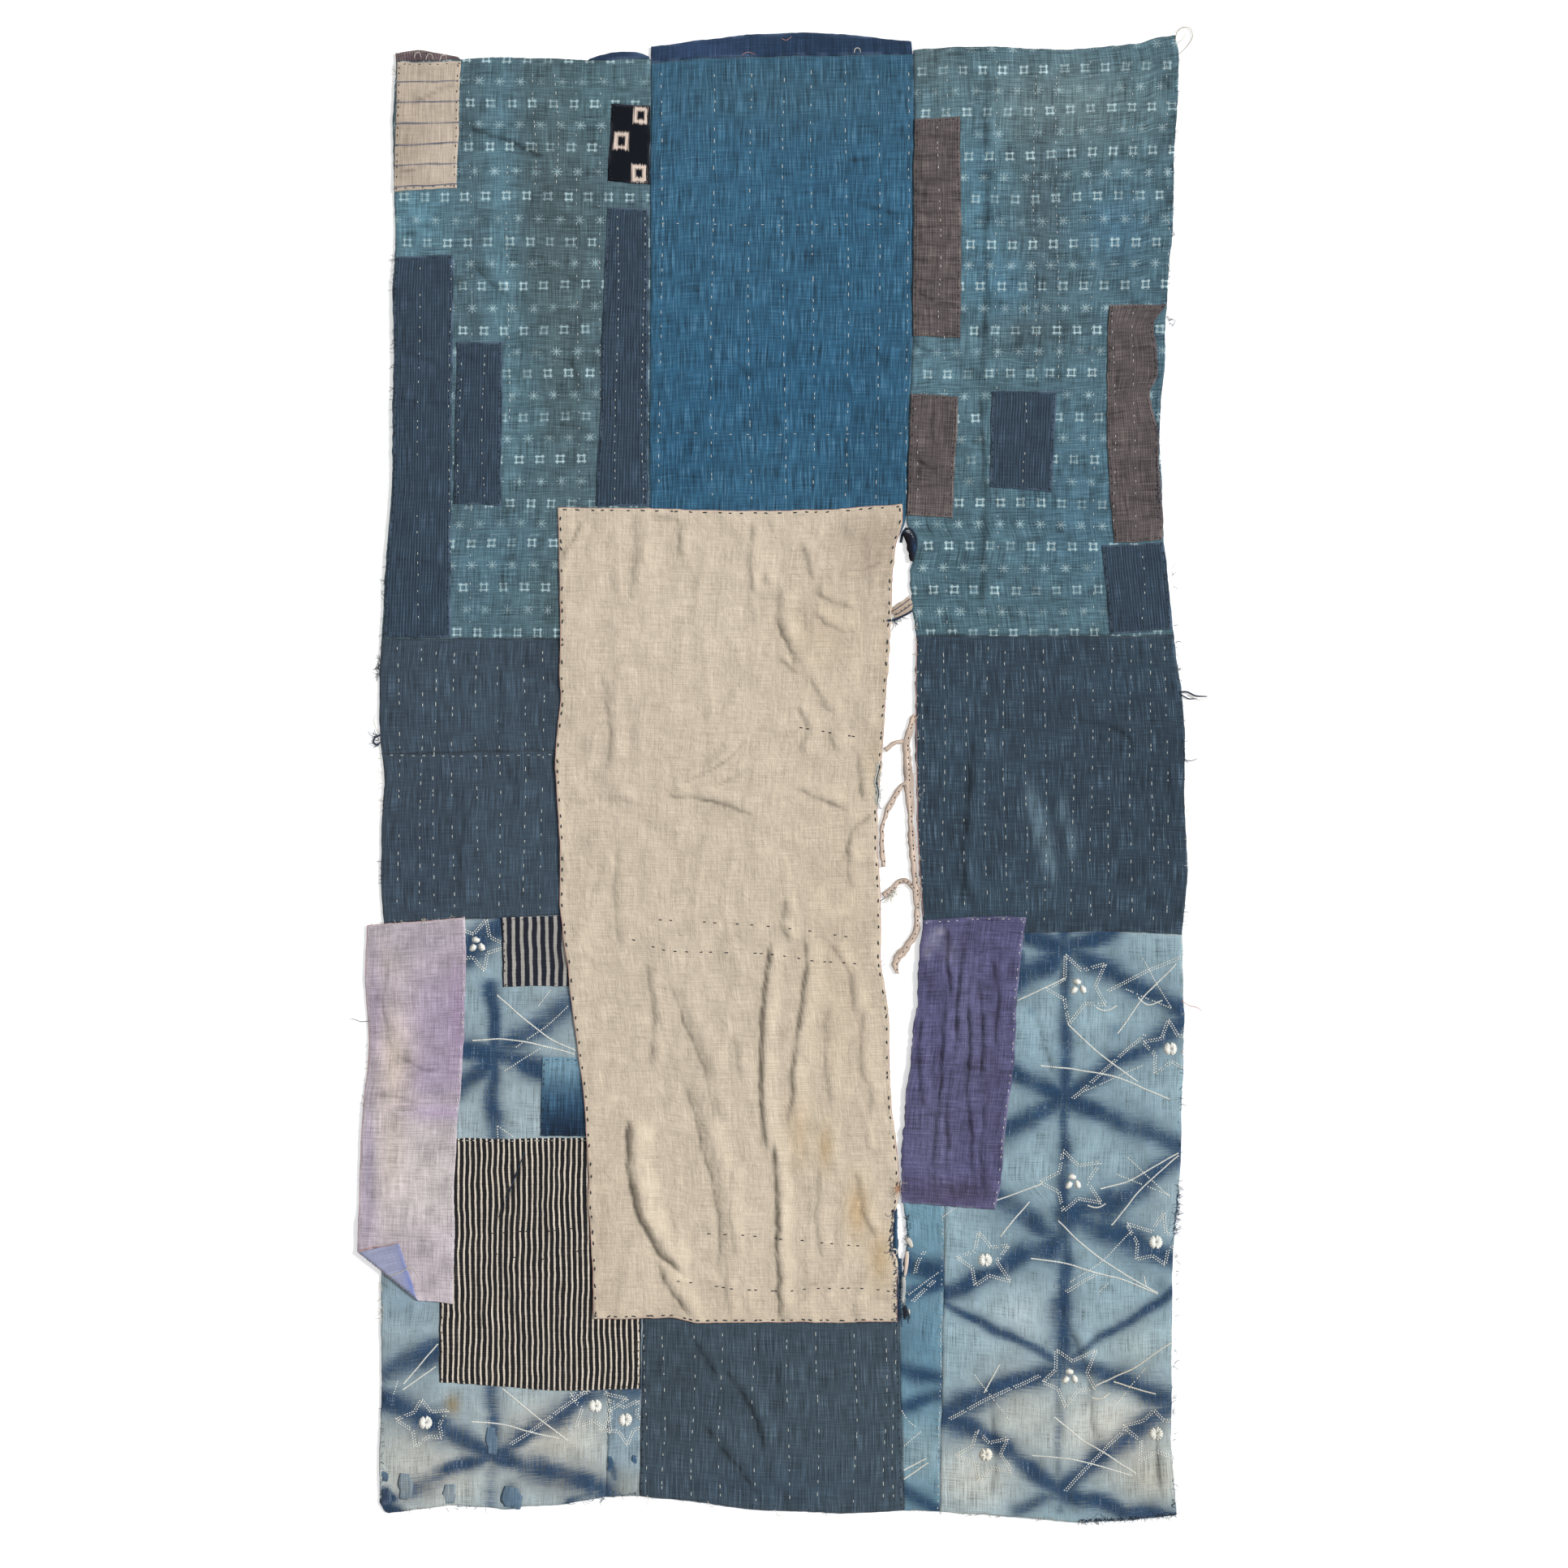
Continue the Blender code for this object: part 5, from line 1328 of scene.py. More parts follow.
@dataclass
class Ground:
    """The three columns, each pieced from several cloths, and the backing that shows above them."""

    cell: float = 5.0
    fine_cell: float = 3.85
    strip_left_head: float = 1612.0
    strip_right_head: float = 1452.0

    def build(self) -> list[Sheet]:
        """Lists the sheets of the ground, each with its four sides."""
        left_seam = span("seam_left", 1126, self.strip_left_head)
        torn_side = span("right_left", 1140, self.strip_right_head)
        strip_left = [left_seam[-1], *STRIP_LEFT_SIDE]
        strip_right = [torn_side[-1], *STRIP_RIGHT_SIDE]
        rows = [
            ("kasuri_left", "kasuri", KASURI_LEFT_CLOTH, self.fine_cell, between(
                span("outer_left", 76, 787), span("seam_left", 74, 787),
                [(568, 74), (603, 71), (685, 72), (723, 74)])),
            ("indigo_left_upper", "indigo_cotton", INDIGO_LEFT, self.cell, between(
                span("outer_left", 787, 929), span("seam_left", 787, 923))),
            ("indigo_left_lower", "indigo_cotton", INDIGO_LEFT, self.cell, between(
                span("outer_left", 929, 1137), span("seam_left", 923, 1126), bottom=[(690, 1127)])),
            ("shibori_left", "shibori", RESIST_LEFT, self.fine_cell, between(
                span("outer_left", 1137, 1850), np.array([*left_seam, *strip_left[1:]]), [(690, 1127)],
                [(475, 1864), (484, 1863), (519, 1859), (558, 1854), (609, 1857), (629, 1860), (644, 1856),
                 (685, 1854)])),
            ("shibori_left_strip", "shibori", RESIST_LEFT_STRIP, self.fine_cell, between(
                np.array(STRIP_LEFT_SIDE), span("seam_left", self.strip_left_head, 1843))),
            ("blue_centre", "blue_cotton", BLUE_COTTON, self.cell, between(
                span("seam_left", 79, 1128), span("middle_right", 67, 1128), BLUE_TOP[1:-1])),
            ("indigo_centre", "indigo_cotton", INDIGO_CENTRE, self.cell, between(
                span("seam_left", 1128, 1843), span("middle_right", 1128, 1861),
                bottom=[(831, 1847), (869, 1852), (933, 1860), (1035, 1865)])),
            ("kasuri_right", "kasuri", KASURI_RIGHT_CLOTH, self.fine_cell, between(
                span("right_left", 62, 783), span("outer_right", 44, 783),
                [(1176, 59), (1228, 58), (1312, 62), (1381, 56), (1410, 53), (1416, 48)])),
            ("indigo_right", "indigo_cotton", INDIGO_RIGHT, self.cell, between(
                span("right_left", 783, 1140), span("outer_right", 783, 1152),
                bottom=[(1264, 1149), (1351, 1147)])),
            ("shibori_right", "shibori", RESIST_RIGHT, self.fine_cell, between(
                np.array([*torn_side, *strip_right[1:]]), span("outer_right", 1152, 1866),
                [(1264, 1149), (1351, 1147)], [(1217, 1866), (1284, 1872), (1338, 1876), (1391, 1872)])),
            ("shibori_right_strip", "shibori", RESIST_RIGHT_STRIP, self.fine_cell, between(
                span("right_left", self.strip_right_head, 1861), np.array(STRIP_RIGHT_SIDE))),
            ("band_navy", "navy_cotton", NAVY_COTTON, self.cell, between(
                [(802, 58), (802, 79)], [(1123, 52), (1124, 67)], [(915, 43), (992, 40), (1045, 43)],
                BLUE_TOP[1:-1])),
            ("band_brown", "brown_cotton", BROWN_COTTON, self.cell, between(
                [(487, 66), (488, 76)], [(565, 71), (568, 74)], [(515, 62), (542, 66)])),
            ("band_blue", "navy_cotton", NAVY_COTTON, self.cell, between(
                [(727, 72), (725, 74)], [(800, 71), (800, 74)], [(750, 65), (787, 65)])),
        ]
        return [
            Sheet(name, slot, finish, sides, ON_TABLE, GROUND_THICK, cell)
            for name, slot, finish, cell, sides in rows
        ]


@dataclass
class Patches:
    """The mending patches on the ground, the long linen panel, and the turned lavender cloth."""

    linen_cell: float = 3.3
    turned_cell: float = 2.5
    fine_cell: float = 2.3

    def build(self) -> list[Sheet]:
        """Lists the patches, each with its outline's four sides."""
        start, stop, tip = np.array(TURN_START), np.array(TURN_END), np.array(TURNED_TIP)
        line = (stop - start) / np.linalg.norm(stop - start)
        corner = tuple((2 * (start + line * ((tip - start) @ line)) - tip).tolist())
        rows = [
            ("tan_patch", TAN_COTTON, "tan_cotton", [(489, 77), (568, 76), (563, 232), (486, 236)], ()),
            ("black_kasuri_patch", BLACK_KASURI, "black_kasuri", [
                (754, 128), (801, 131), (801, 228), (749, 224)], ()),
            ("navy_strip", NAVY_STRIPE, "navy_stripe", [
                (749, 256), (799, 258), (799, 624), (735, 624), (736, 579), (741, 502), (741, 415),
                (743, 377)], ()),
            ("navy_left_long", NAVY_STRIPE, "navy_stripe", [
                (487, 318), (559, 314), (557, 500), (555, 785), (473, 785), (476, 690), (483, 612),
                (486, 470), (485, 352)], ((487, 318), (559, 314), (555, 785), (473, 785))),
            ("navy_left_short", NAVY_STRIPE, "navy_stripe", [
                (563, 423), (620, 423), (618, 623), (559, 622)], ()),
            ("navy_small_right", NAVY_STRIPE, "navy_stripe", [
                (1221, 483), (1302, 482), (1296, 607), (1220, 600)], ()),
            ("navy_edge_right", NAVY_STRIPE, "navy_stripe", [
                (1356, 672), (1434, 669), (1445, 776), (1367, 781)], ()),
            ("brown_upper", BROWN_COTTON, "brown_cotton", [
                (1127, 147), (1183, 144), (1184, 417), (1124, 414)], ()),
            ("brown_lower", BROWN_COTTON, "brown_cotton", [
                (1122, 486), (1180, 489), (1174, 638), (1118, 635)], ()),
            ("brown_edge", BROWN_COTTON, "brown_cotton", [
                (1367, 377), (1437, 375), (1421, 400), (1425, 433), (1425, 464), (1416, 484), (1427, 533),
                (1428, 579), (1432, 617), (1434, 642), (1432, 666), (1372, 669), (1368, 617), (1364, 553),
                (1363, 464)], ((1367, 377), (1437, 375), (1432, 666), (1372, 669))),
            ("stripe_patch_small", BOLD_STRIPE_SMALL, "bold_stripe", [
                (618, 1130), (712, 1127), (712, 1214), (620, 1216)], ()),
            ("stripe_patch_large", BOLD_STRIPE, "bold_stripe", [
                (541, 1403), (722, 1401), (790, 1401), (790, 1710), (685, 1713), (609, 1707),
                (542, 1702)], ((541, 1403), (790, 1401), (790, 1710), (542, 1702))),
            ("ombre_patch", OMBRE_COTTON, "ombre_indigo",
             [(668, 1302), (728, 1304), (728, 1399), (666, 1399)], ()),
            ("lavender_patch", LAVENDER_COTTON, "lavender_cotton", [
                (452, 1139), (573, 1130), (575, 1171), (573, 1248), (569, 1337), (565, 1375), (560, 1452),
                (560, 1556), (558, 1605), TURN_END, corner, TURN_START, (443, 1439), (448, 1370),
                (455, 1283), (450, 1196)], ((452, 1139), (573, 1130), (558, 1605), corner)),
            ("purple_patch", PURPLE_COTTON, "purple_cotton", [
                (1136, 1135), (1198, 1129), (1264, 1130), (1257, 1184), (1252, 1248), (1249, 1311),
                (1243, 1362), (1237, 1408), (1232, 1464), (1226, 1489), (1167, 1485), (1110, 1480),
                (1110, 1426), (1115, 1350), (1122, 1304), (1128, 1248), (1132, 1184)],
             ((1136, 1135), (1264, 1130), (1226, 1489), (1110, 1480))),
            ("linen_panel", LINEN, "linen", [
                (688, 626), (780, 627), (964, 630), (1035, 627), (1112, 622), (1113, 645), (1104, 670),
                (1099, 706), (1098, 757), (1092, 844), (1089, 908), (1081, 997), (1081, 1048),
                (1085, 1099), (1085, 1180), (1091, 1222), (1096, 1263), (1095, 1324), (1099, 1375),
                (1106, 1426), (1108, 1464), (1106, 1480), (1101, 1492), (1098, 1536), (1105, 1556),
                (1104, 1582),
                (1105, 1628),
                (856, 1629), (830, 1623), (732, 1624), (731, 1569), (725, 1480), (727, 1452), (723, 1395),
                (718, 1337), (708, 1263), (700, 1196), (694, 1150), (690, 1112), (690, 1048), (684, 938),
                (690, 869), (690, 732)], ((688, 626), (1112, 622), (1105, 1628), (732, 1624))),
        ]
        sheets = []
        for name, finish, slot, outline, corners in rows:
            sheets.append(Sheet(name, slot, finish, outline_sides(outline, corners or outline[:4])))
            if "brown" in name or name == "purple_patch":
                sheets[-1].cell = self.fine_cell
            if name == "linen_panel":
                sheets[-1].thick, sheets[-1].cell = LINEN_THICK, self.linen_cell
            if name == "lavender_patch":
                sheets[-1].is_turned, sheets[-1].cell, sheets[-1].held = True, self.turned_cell, "folded"
        return sheets


@dataclass
class SeamRemains:
    """What is left of the binding in the torn seam: tapes, a strap across it and a rolled edge."""

    tape_crown: float = 0.35
    roll_crown: float = 1.4

    def build(self) -> list[Sheet]:
        """Lists the tapes, each along its own path."""
        rows = [
            ("tape_main", SEAM_TAPE, "seam_tape", ON_TABLE, self.tape_crown, [
                (1127, 881, 5), (1122, 896, 9), (1117, 912, 9), (1118, 936, 11), (1119, 959, 12),
                (1120, 985, 10),
                (1122, 1000, 7), (1123, 1022, 10), (1126, 1061, 8), (1129, 1099, 7), (1130, 1119, 9),
                (1128, 1150, 7), (1115, 1171, 8), (1103, 1181, 9), (1103, 1190, 10), (1105, 1199, 5)]),
            ("tape_arm", SEAM_TAPE, "seam_tape", ON_TABLE, self.tape_crown, [
                (1114, 913, 5), (1106, 913, 6), (1098, 918, 5), (1090, 925, 6)]),
            ("tape_upper_branch", SEAM_TAPE, "seam_tape", ON_TABLE, self.tape_crown, [
                (1117, 962, 5), (1107, 973, 8), (1092, 998, 6), (1086, 1024, 5), (1087, 1046, 7),
                (1089, 1067, 5)]),
            ("tape_lower_branch", SEAM_TAPE, "seam_tape", ON_TABLE, self.tape_crown, [
                (1127, 1098, 4), (1119, 1085, 6), (1110, 1082, 6), (1102, 1094, 6), (1088, 1103, 6)]),
            ("bridge_strap", STRAP_COTTON, "tan_cotton", ON_TABLE, self.tape_crown, [
                (1100, 757, 15), (1109, 752, 16), (1117, 746, 17), (1124.5, 740, 17)]),
            ("seam_roll", ROLLED_EDGE_SHADE, "navy_cotton", ON_GROUND, self.roll_crown, [
                (1114, 656, 5), (1120, 660, 12), (1123, 670, 13), (1124, 682, 9), (1123, 692, 5)]),
        ]
        return [
            Sheet(name, slot, finish, ribbon(path), base, PATCH_THICK, 2.5, crown)
            for name, finish, slot, base, crown, path in rows
        ]


class Surface:
    """The laid cloth as a whole: which sheet is uppermost at a place, and how high it is."""

    def __init__(self, sheets: Sequence[Sheet]) -> None:
        """Keeps each sheet with its outline, from the ground up."""
        self.layers = []
        for sheet in sheets:
            top, right, bottom, left = [softened(side, 6.0, 1) for side in sheet.sides]
            self.layers.append((sheet, np.concatenate([top[:-1], right[:-1], bottom[:0:-1], left[:0:-1]])))

    @staticmethod
    def within(outline: Array, x: Array, y: Array) -> NDArray[np.bool_]:
        """Tests places against an outline: inside where a level ray crosses it an odd number of times."""
        low, high = outline.min(axis=0), outline.max(axis=0)
        result = np.zeros(x.shape, dtype=bool)
        near = (x > low[0]) & (x < high[0]) & (y > low[1]) & (y < high[1])
        if near.any():
            px, py = x[near][:, None], y[near][:, None]
            ax, ay = outline[:, 0], outline[:, 1]
            bx, by = np.roll(ax, -1), np.roll(ay, -1)
            spans = (ay > py) != (by > py)
            slope = (bx - ax) / np.where(by == ay, 1e-9, by - ay)
            result[near] = (spans & (px < ax + (py - ay) * slope)).sum(axis=1) % 2 == 1
        return result

    def settle(self, x: Array, y: Array) -> tuple[Array, Array, Array, NDArray[np.object_]]:
        """Finds where threads lie.

        Args:
            x: Board places.
            y: Board places.

        Returns:
            The places as the cloth's edges are warped, the height of the cloth there, and the name of the
            uppermost sheet, which is empty on the floor.
        """
        place_x, place_y = warped(x, y)
        height = np.zeros(x.shape)
        names = np.full(x.shape, "", dtype=object)
        for sheet, outline in self.layers:
            inside = self.within(outline, x, y)
            if inside.any():
                level = sheet.base + sheet.thick + relief(sheet.name, place_x[inside], place_y[inside])
                height[inside] = level
                names[inside] = sheet.name
        start, stop, tip = np.array(TURN_START), np.array(TURN_END), np.array(TURNED_TIP)
        flap = self.within(np.array([start, tip, stop]), x, y)
        line = (stop - start) / np.linalg.norm(stop - start)
        part = ((x - start[0]) * line[1] - (y - start[1]) * line[0]) / ((tip - start) @ (line[1], -line[0]))
        height[flap] = height[flap] + 2 * BEND_RADIUS + PATCH_THICK / 2 + TIP_LIFT * part[flap] ** 2
        return place_x, place_y, height, names


def tubes(paths: Array, radius: Array, sides: int = 4, flatness: float = 1.0) -> tuple[Array,
                                                                                       NDArray[np.int64]]:
    """Closed tubes along many paths of equally many points.

    Round each point stand the sides of a ring: r cos(a) along the level side direction and r sin(a) along
    the normal, which is that direction crossed with the path's.

    Args:
        paths: Places in mm with z up, paths by points by 3.
        radius: Radius at each point.
        sides: An even number of corners in a ring.
        flatness: How tall a ring is for its width.

    Returns:
        Vertices and quads.
    """
    along = np.gradient(paths, axis=1)
    along /= np.maximum(np.linalg.norm(along, axis=-1, keepdims=True), 1e-9)
    aside = np.cross(along, np.array([0.0, 0.0, 1.0]))
    aside /= np.maximum(np.linalg.norm(aside, axis=-1, keepdims=True), 1e-9)
    normal = np.cross(aside, along) * flatness
    angle = np.arange(sides) * 2 * np.pi / sides
    ring = np.cos(angle)[:, None] * aside[:, :, None] + np.sin(angle)[:, None] * normal[:, :, None]
    points = paths[:, :, None] + ring * radius[:, :, None, None]
    count, steps = paths.shape[:2]
    number = np.arange(count * steps * sides).reshape(count, steps, sides)
    after = np.roll(number, -1, axis=2)
    walls = np.stack([number[:, :-1], number[:, 1:], after[:, 1:], after[:, :-1]], axis=-1).reshape(-1, 4)
    fans = [[0, k, k + 1, k + 2] for k in range(1, sides - 1, 2)]
    caps = [number[:, 0][:, fan] for fan in fans] + [number[:, -1][:, fan[::-1]] for fan in fans]
    return points.reshape(-1, 3), np.concatenate([walls, *caps])


@dataclass
class Threads:
    """Many threads of one kind, joined in one piece."""

    name: str
    slot: str
    finish: Finish
    surface: Surface
    points: list[Array] = field(default_factory=list)
    faces: list[NDArray[np.int64]] = field(default_factory=list)

    def add(self, flat: Array, rise: Array, radius: Array, flatness: float = 1.0, sides: int = 4,
            keep: NDArray[np.bool_] | None = None) -> None:
        """Adds threads along paths on the board.

        Args:
            flat: Places (x, y), paths by points by 2.
            rise: Height of the thread's middle over the cloth at each point.
            radius: Radius at each point.
            flatness: How tall a thread is for its width.
            sides: Corners round it.
            keep: Which paths to keep, all where it isn't given.
        """
        if keep is not None:
            flat = flat[keep]
        if not len(flat):
            return
        x, y, height, _ = self.surface.settle(flat[..., 0], flat[..., 1])
        rise, radius = np.broadcast_to(rise, x.shape), np.broadcast_to(radius, x.shape)
        paths = np.stack([x - BOARD_X, BOARD_Y - y, np.maximum(height + rise, radius * flatness)], axis=-1)
        points, faces = tubes(paths, radius, sides, flatness)
        self.faces.append(faces + sum(len(done) for done in self.points))
        self.points.append(points)

    def stitches(self, middles: Array, along: Array, length: float | Array, radius: float,
                 sheets: Sequence[str] = ()) -> None:
        """Adds short stitches that dive into the cloth at both ends.

        Args:
            middles: Middle of each stitch on the board.
            along: Unit direction of each stitch.
            length: Length of the stitches.
            radius: Radius of the thread.
            sheets: Names of the sheets that they may lie on, any where it is empty.
        """
        step = np.array([-0.5, -0.3, 0.0, 0.3, 0.5])
        length = np.broadcast_to(length, len(middles))
        flat = middles[:, None] + along[:, None] * (step[:, None] * length[:, None, None])
        names = self.surface.settle(middles[:, 0], middles[:, 1])[3]
        keep = np.isin(names, sheets) if len(sheets) else names != ""
        rise = np.array([-0.45, 0.15, 0.3, 0.15, -0.45])
        self.add(flat, rise, radius * np.array([0.6, 1, 1.1, 1, 0.6]), keep=keep)

    def build(self) -> None:
        """Builds the joined piece, coloured along its length."""
        points, faces = np.concatenate(self.points), np.concatenate(self.faces)
        x, y = points[:, 0] + BOARD_X, BOARD_Y - points[:, 1]
        wash = self.finish.wash(x, y, np.full(x.shape, 99.0))
        uv = {"Cloth": np.stack([x, y], axis=-1) * MM}
        piece = new_piece(self.name, points * MM, faces, [self.finish.material()], uv, wash)
        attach(piece, "root")
        LOG.info("%s: %d faces", self.name, len(faces))


def dotted(line: Line | Array, pitch: float, seed: int, jitter: float = 0.12) -> tuple[Array, Array]:
    """Evenly spaced places along a line, a little uneven, with the line's direction at each.

    Args:
        line: Points of the line.
        pitch: Distance between places.
        seed: Seed of the unevenness.
        jitter: Unevenness as a share of the pitch.

    Returns:
        Places and unit directions.
    """
    length = np.linalg.norm(np.diff(np.asarray(line, float), axis=0), axis=1).sum()
    count = max(1, int(length / pitch))
    draw = np.random.default_rng(seed)
    part = (np.arange(count) + 0.5 + jitter * draw.normal(size=count)) / count
    part = np.clip(part, 0, 1)
    ahead = resample(line, 0, np.clip(part + 1 / length, 0, 1)) - resample(line, 0,
                                                                           np.clip(part - 1 / length, 0, 1))
    return resample(line, 0, part), ahead / np.maximum(np.linalg.norm(ahead, axis=1, keepdims=True), 1e-9)


PALE_THREAD = Finish("pale_cotton_thread", "#C9CDC8", "#EDEBE2", slub=0.2, mottle=0.2, crumple=0.2)
DARK_THREAD = Finish("dark_indigo_thread", "#171C26", "#4A5566", slub=0.2, mottle=0.2, crumple=0.2)
RESIST_MARK = Finish("undyed_resist_mark", "#E4E4DC", "#F4F3EC", slub=0.3, mottle=0.2, crumple=0.2, blots=(
    Blot(1400, 1700, 60, 60, "#D8C9A4", 0.5), Blot(1200, 1810, 60, 60, "#D6CDB6", 0.5),
))
FRAY_PALE = Finish("frayed_pale_thread", "#C3BEB2", "#E4E0D4", slub=0.2, mottle=0.3, crumple=0.2, blots=(
    Blot(1106, 1463, 9, 9, "#A4683C", 0.9), Blot(1116, 1556, 6, 18, "#D8C0B2", 0.8),
    Blot(1112, 1590, 6, 16, "#8C9CA8", 0.7), Blot(1455, 1200, 40, 160, "#8FA6B0", 0.6),
    Blot(1250, 1868, 150, 20, "#A8A79E", 0.6), Blot(1082, 970, 8, 30, "#9DB4B6", 0.5),
))
FRAY_DARK = Finish("frayed_indigo_thread", "#1D2C40", "#5F7C93", slub=0.2, mottle=0.5, crumple=0.2, blots=(
    Blot(630, 1858, 160, 14, "#4B6275", 0.6), Blot(1105, 1540, 9, 60, "#2F5A7E", 0.6),
    Blot(1115, 1617, 5, 9, "#0E0D12", 0.9), Blot(1450, 1550, 20, 200, "#3A5570", 0.6),
    Blot(1430, 520, 10, 140, "#22304A", 0.6), Blot(900, 1858, 120, 14, "#44596A", 0.6),
))
PINK_EDGE = Finish("selvedge_thread", "#B98A80", "#D9B5AB", slub=0.2, mottle=0.3, crumple=0.2)


@dataclass
class Stitching:
    """Rows of running stitch: pale mending rows on the blue cloths, and the stitches that hold each patch."""

    pale_radius: float = 0.42
    dark_radius: float = 0.75
    inset: float = 3.0

    # Rows of pale mending stitch. Columns: x of the upright rows, top, bottom, pitch, length, sheets
    COLUMNS = (
        *[(columns, top, bottom, 16, 5.0, ()) for columns, top, bottom in STITCH_COLUMNS],
        ((658, 686), 90, 230, 9, 4.2, ("kasuri_left",)), ((626,), 200, 520, 10, 4.0, ("kasuri_left",)),
        ((741, 712, 580), 90, 780, 17, 3.0, ("kasuri_left",)),
        ((1275, 1302), 90, 470, 10, 3.6, ("kasuri_right",)),
        ((1165, 1228, 1345, 1396, 1437), 70, 778, 19, 3.0, ("kasuri_right",)),
        ((516, 555), 324, 780, 15, 2.8, ("navy_left_long",)),
        ((566, 596), 430, 618, 13, 3.0, ("navy_left_short",)),
        ((760, 793), 264, 618, 11, 3.0, ("navy_strip",)), ((1262,), 490, 600, 12, 3.8, ("navy_small_right",)),
        ((1408,), 680, 774, 14, 3.0, ("navy_edge_right",)), ((1156,), 152, 410, 12, 3.2, ("brown_upper",)),
        ((1129,), 494, 632, 16, 3.0, ("brown_lower",)), ((1397, 1372), 384, 662, 12, 3.0, ("brown_edge",)),
    )
    LEVEL = (
        (276, 806, 1118, 20), (534, 806, 1114, 20), (930, 476, 684, 13), (1367, 452, 562, 13),
    )
    # Dark stitches across the linen. Rows: pitch, then the row's points
    LINEN_ROWS = (
        (12, [(984, 896), (1063, 910)]), (22, [(800, 1132), (946, 1140), (1053, 1155)]),
        (15, [(779, 1158), (823, 1172), (946, 1174), (1004, 1185), (1068, 1187)]),
        (18, [(862, 1519), (909, 1520), (967, 1526), (1029, 1532), (1072, 1536)]),
        (14, [(836, 1578), (876, 1583), (910, 1588), (969, 1591), (1011, 1586), (1052, 1586), (1099, 1590)]),
        (13.5, [(604, 1520), (640, 1517), (680, 1516), (724, 1510)]),
        (17, [(592, 1542), (630, 1548), (660, 1553), (690, 1546), (724, 1538)]),
    )
    # Small darned mends on the left resist-dyed cloth. Columns: middle x, top, bottom, half the width
    MENDS = (
        (606, 1759, 1791, 7), (476, 1833, 1853, 6), (500, 1815, 1847, 9), (554, 1828, 1852, 8),
        (631, 1832, 1859, 13),
        (752, 1794, 1812, 3), (781, 1793, 1803, 3), (475, 1812, 1824, 4),
    )

    def build(self, surface: Surface, sheets: dict[str, Sheet]) -> None:
        """Sews the pale rows, the dark rows and the rows along each patch's edge."""
        pale = Threads("mending_stitches", "seam_tape", PALE_THREAD, surface)
        for group, (columns, top, bottom, pitch, length, allowed) in enumerate(self.COLUMNS):
            for index, x in enumerate(columns):
                seed = 100 * group + index
                sway = 2.2 * np.sin(np.linspace(0, 5, 9) + seed)
                line = np.stack([x + sway, np.linspace(top, bottom, 9)], axis=1)
                middles, along = dotted(line, pitch, seed, 0.2)
                draw = np.random.default_rng(seed + 7)
                kept = draw.random(len(middles)) > 0.12
                sizes = length * draw.uniform(0.6, 1.25, len(middles))
                ground = allowed or ("blue_centre", "indigo_left_upper", "indigo_left_lower", "indigo_right",
                                     "indigo_centre")
                pale.stitches(middles[kept], along[kept], sizes[kept], self.pale_radius, ground)
        for seed, (y, left, right, pitch) in enumerate(self.LEVEL):
            middles, along = dotted([(left, y), ((left + right) / 2, y + 2), (right, y)], pitch, 900 + seed)
            pale.stitches(middles, along, 4.0, self.pale_radius)
        for name, side, pitch, length in (
            ("lavender_patch", 1, 15, 4.0), ("lavender_patch", 0, 16, 3.0), ("purple_patch", 1, 13, 3.0),
            ("purple_patch", 0, 12, 3.0), ("stripe_patch_large", 0, 8, 2.6),
            ("shibori_right_strip", 1, 9, 2.6),
        ):
            self.sew_side(pale, sheets[name], side, pitch, length, self.pale_radius * 1.25)
        pale.build()
        dark = Threads("patch_stitches", "navy_cotton", DARK_THREAD, surface)
        for seed, (pitch, line) in enumerate(self.LINEN_ROWS):
            middles, along = dotted(line, pitch, 950 + seed, 0.3)
            dark.stitches(middles, along, 4.4, self.dark_radius * 0.8, ("linen_panel", "stripe_patch_large"))
        for side, pitch in enumerate((15.5, 16, 11, 16.5)):
            self.sew_side(dark, sheets["linen_panel"], side, pitch, 5.0, self.dark_radius)
        for name in ("stripe_patch_small", "stripe_patch_large", "ombre_patch", "tan_patch", "navy_left_long",
                     "navy_left_short", "navy_small_right", "brown_upper", "brown_lower", "brown_edge",
                     "navy_edge_right", "black_kasuri_patch", "navy_strip", "indigo_centre"):
            for side in range(4):
                if name != "indigo_centre" or side in (1, 3):
                    self.sew_side(dark, sheets[name], side, 10.5, 3.0, self.dark_radius * 0.6)
        for name, pitch in (("tape_main", 8), ("tape_upper_branch", 11), ("tape_lower_branch", 6),
                            ("bridge_strap", 5)):
            _, right, _, left = [softened(side, 4.0, 2) for side in sheets[name].sides]
            line = (resample(left, 60) + resample(right, 60)) / 2 + [1.2, 0]
            middles, along = dotted(line, pitch, len(name), 0.25)
            dark.stitches(middles, along, 2.6, self.dark_radius * 0.8, (name,))
        dark.build()
        mends = Threads("darned_mends", "shibori", MEND_COTTON, surface)
        step = np.linspace(0, 1, 12)
        for x, top, bottom, half in self.MENDS:
            line = np.stack([x + 0.8 * np.sin(7 * step + x), top + (bottom - top) * step], axis=1)
            wide = half * np.sin(np.pi * (0.06 + 0.88 * step)) ** 0.25 * (1 + 0.09 * np.sin(11 * step + x))
            mends.add(line[None], np.full(12, 0.1), wide, 0.014, 8)
        mends.build()
        edge = Threads("selvedge_edges", "brown_cotton", PINK_EDGE, surface)
        for name, sides in (("linen_panel", (0, 1, 2, 3)), ("lavender_patch", (0, 3))):
            for side in sides:
                line = self.moved_in(sheets[name], side, 0.5)
                line = resample(line, int(np.linalg.norm(np.diff(line, axis=0), axis=1).sum() / 5))
                if name == "lavender_patch":
                    line = line[(line[:, 1] < TURN_START[1] - 3)]
                edge.add(line[None], np.full(len(line), -0.62), np.full(len(line), 0.42), 0.8)
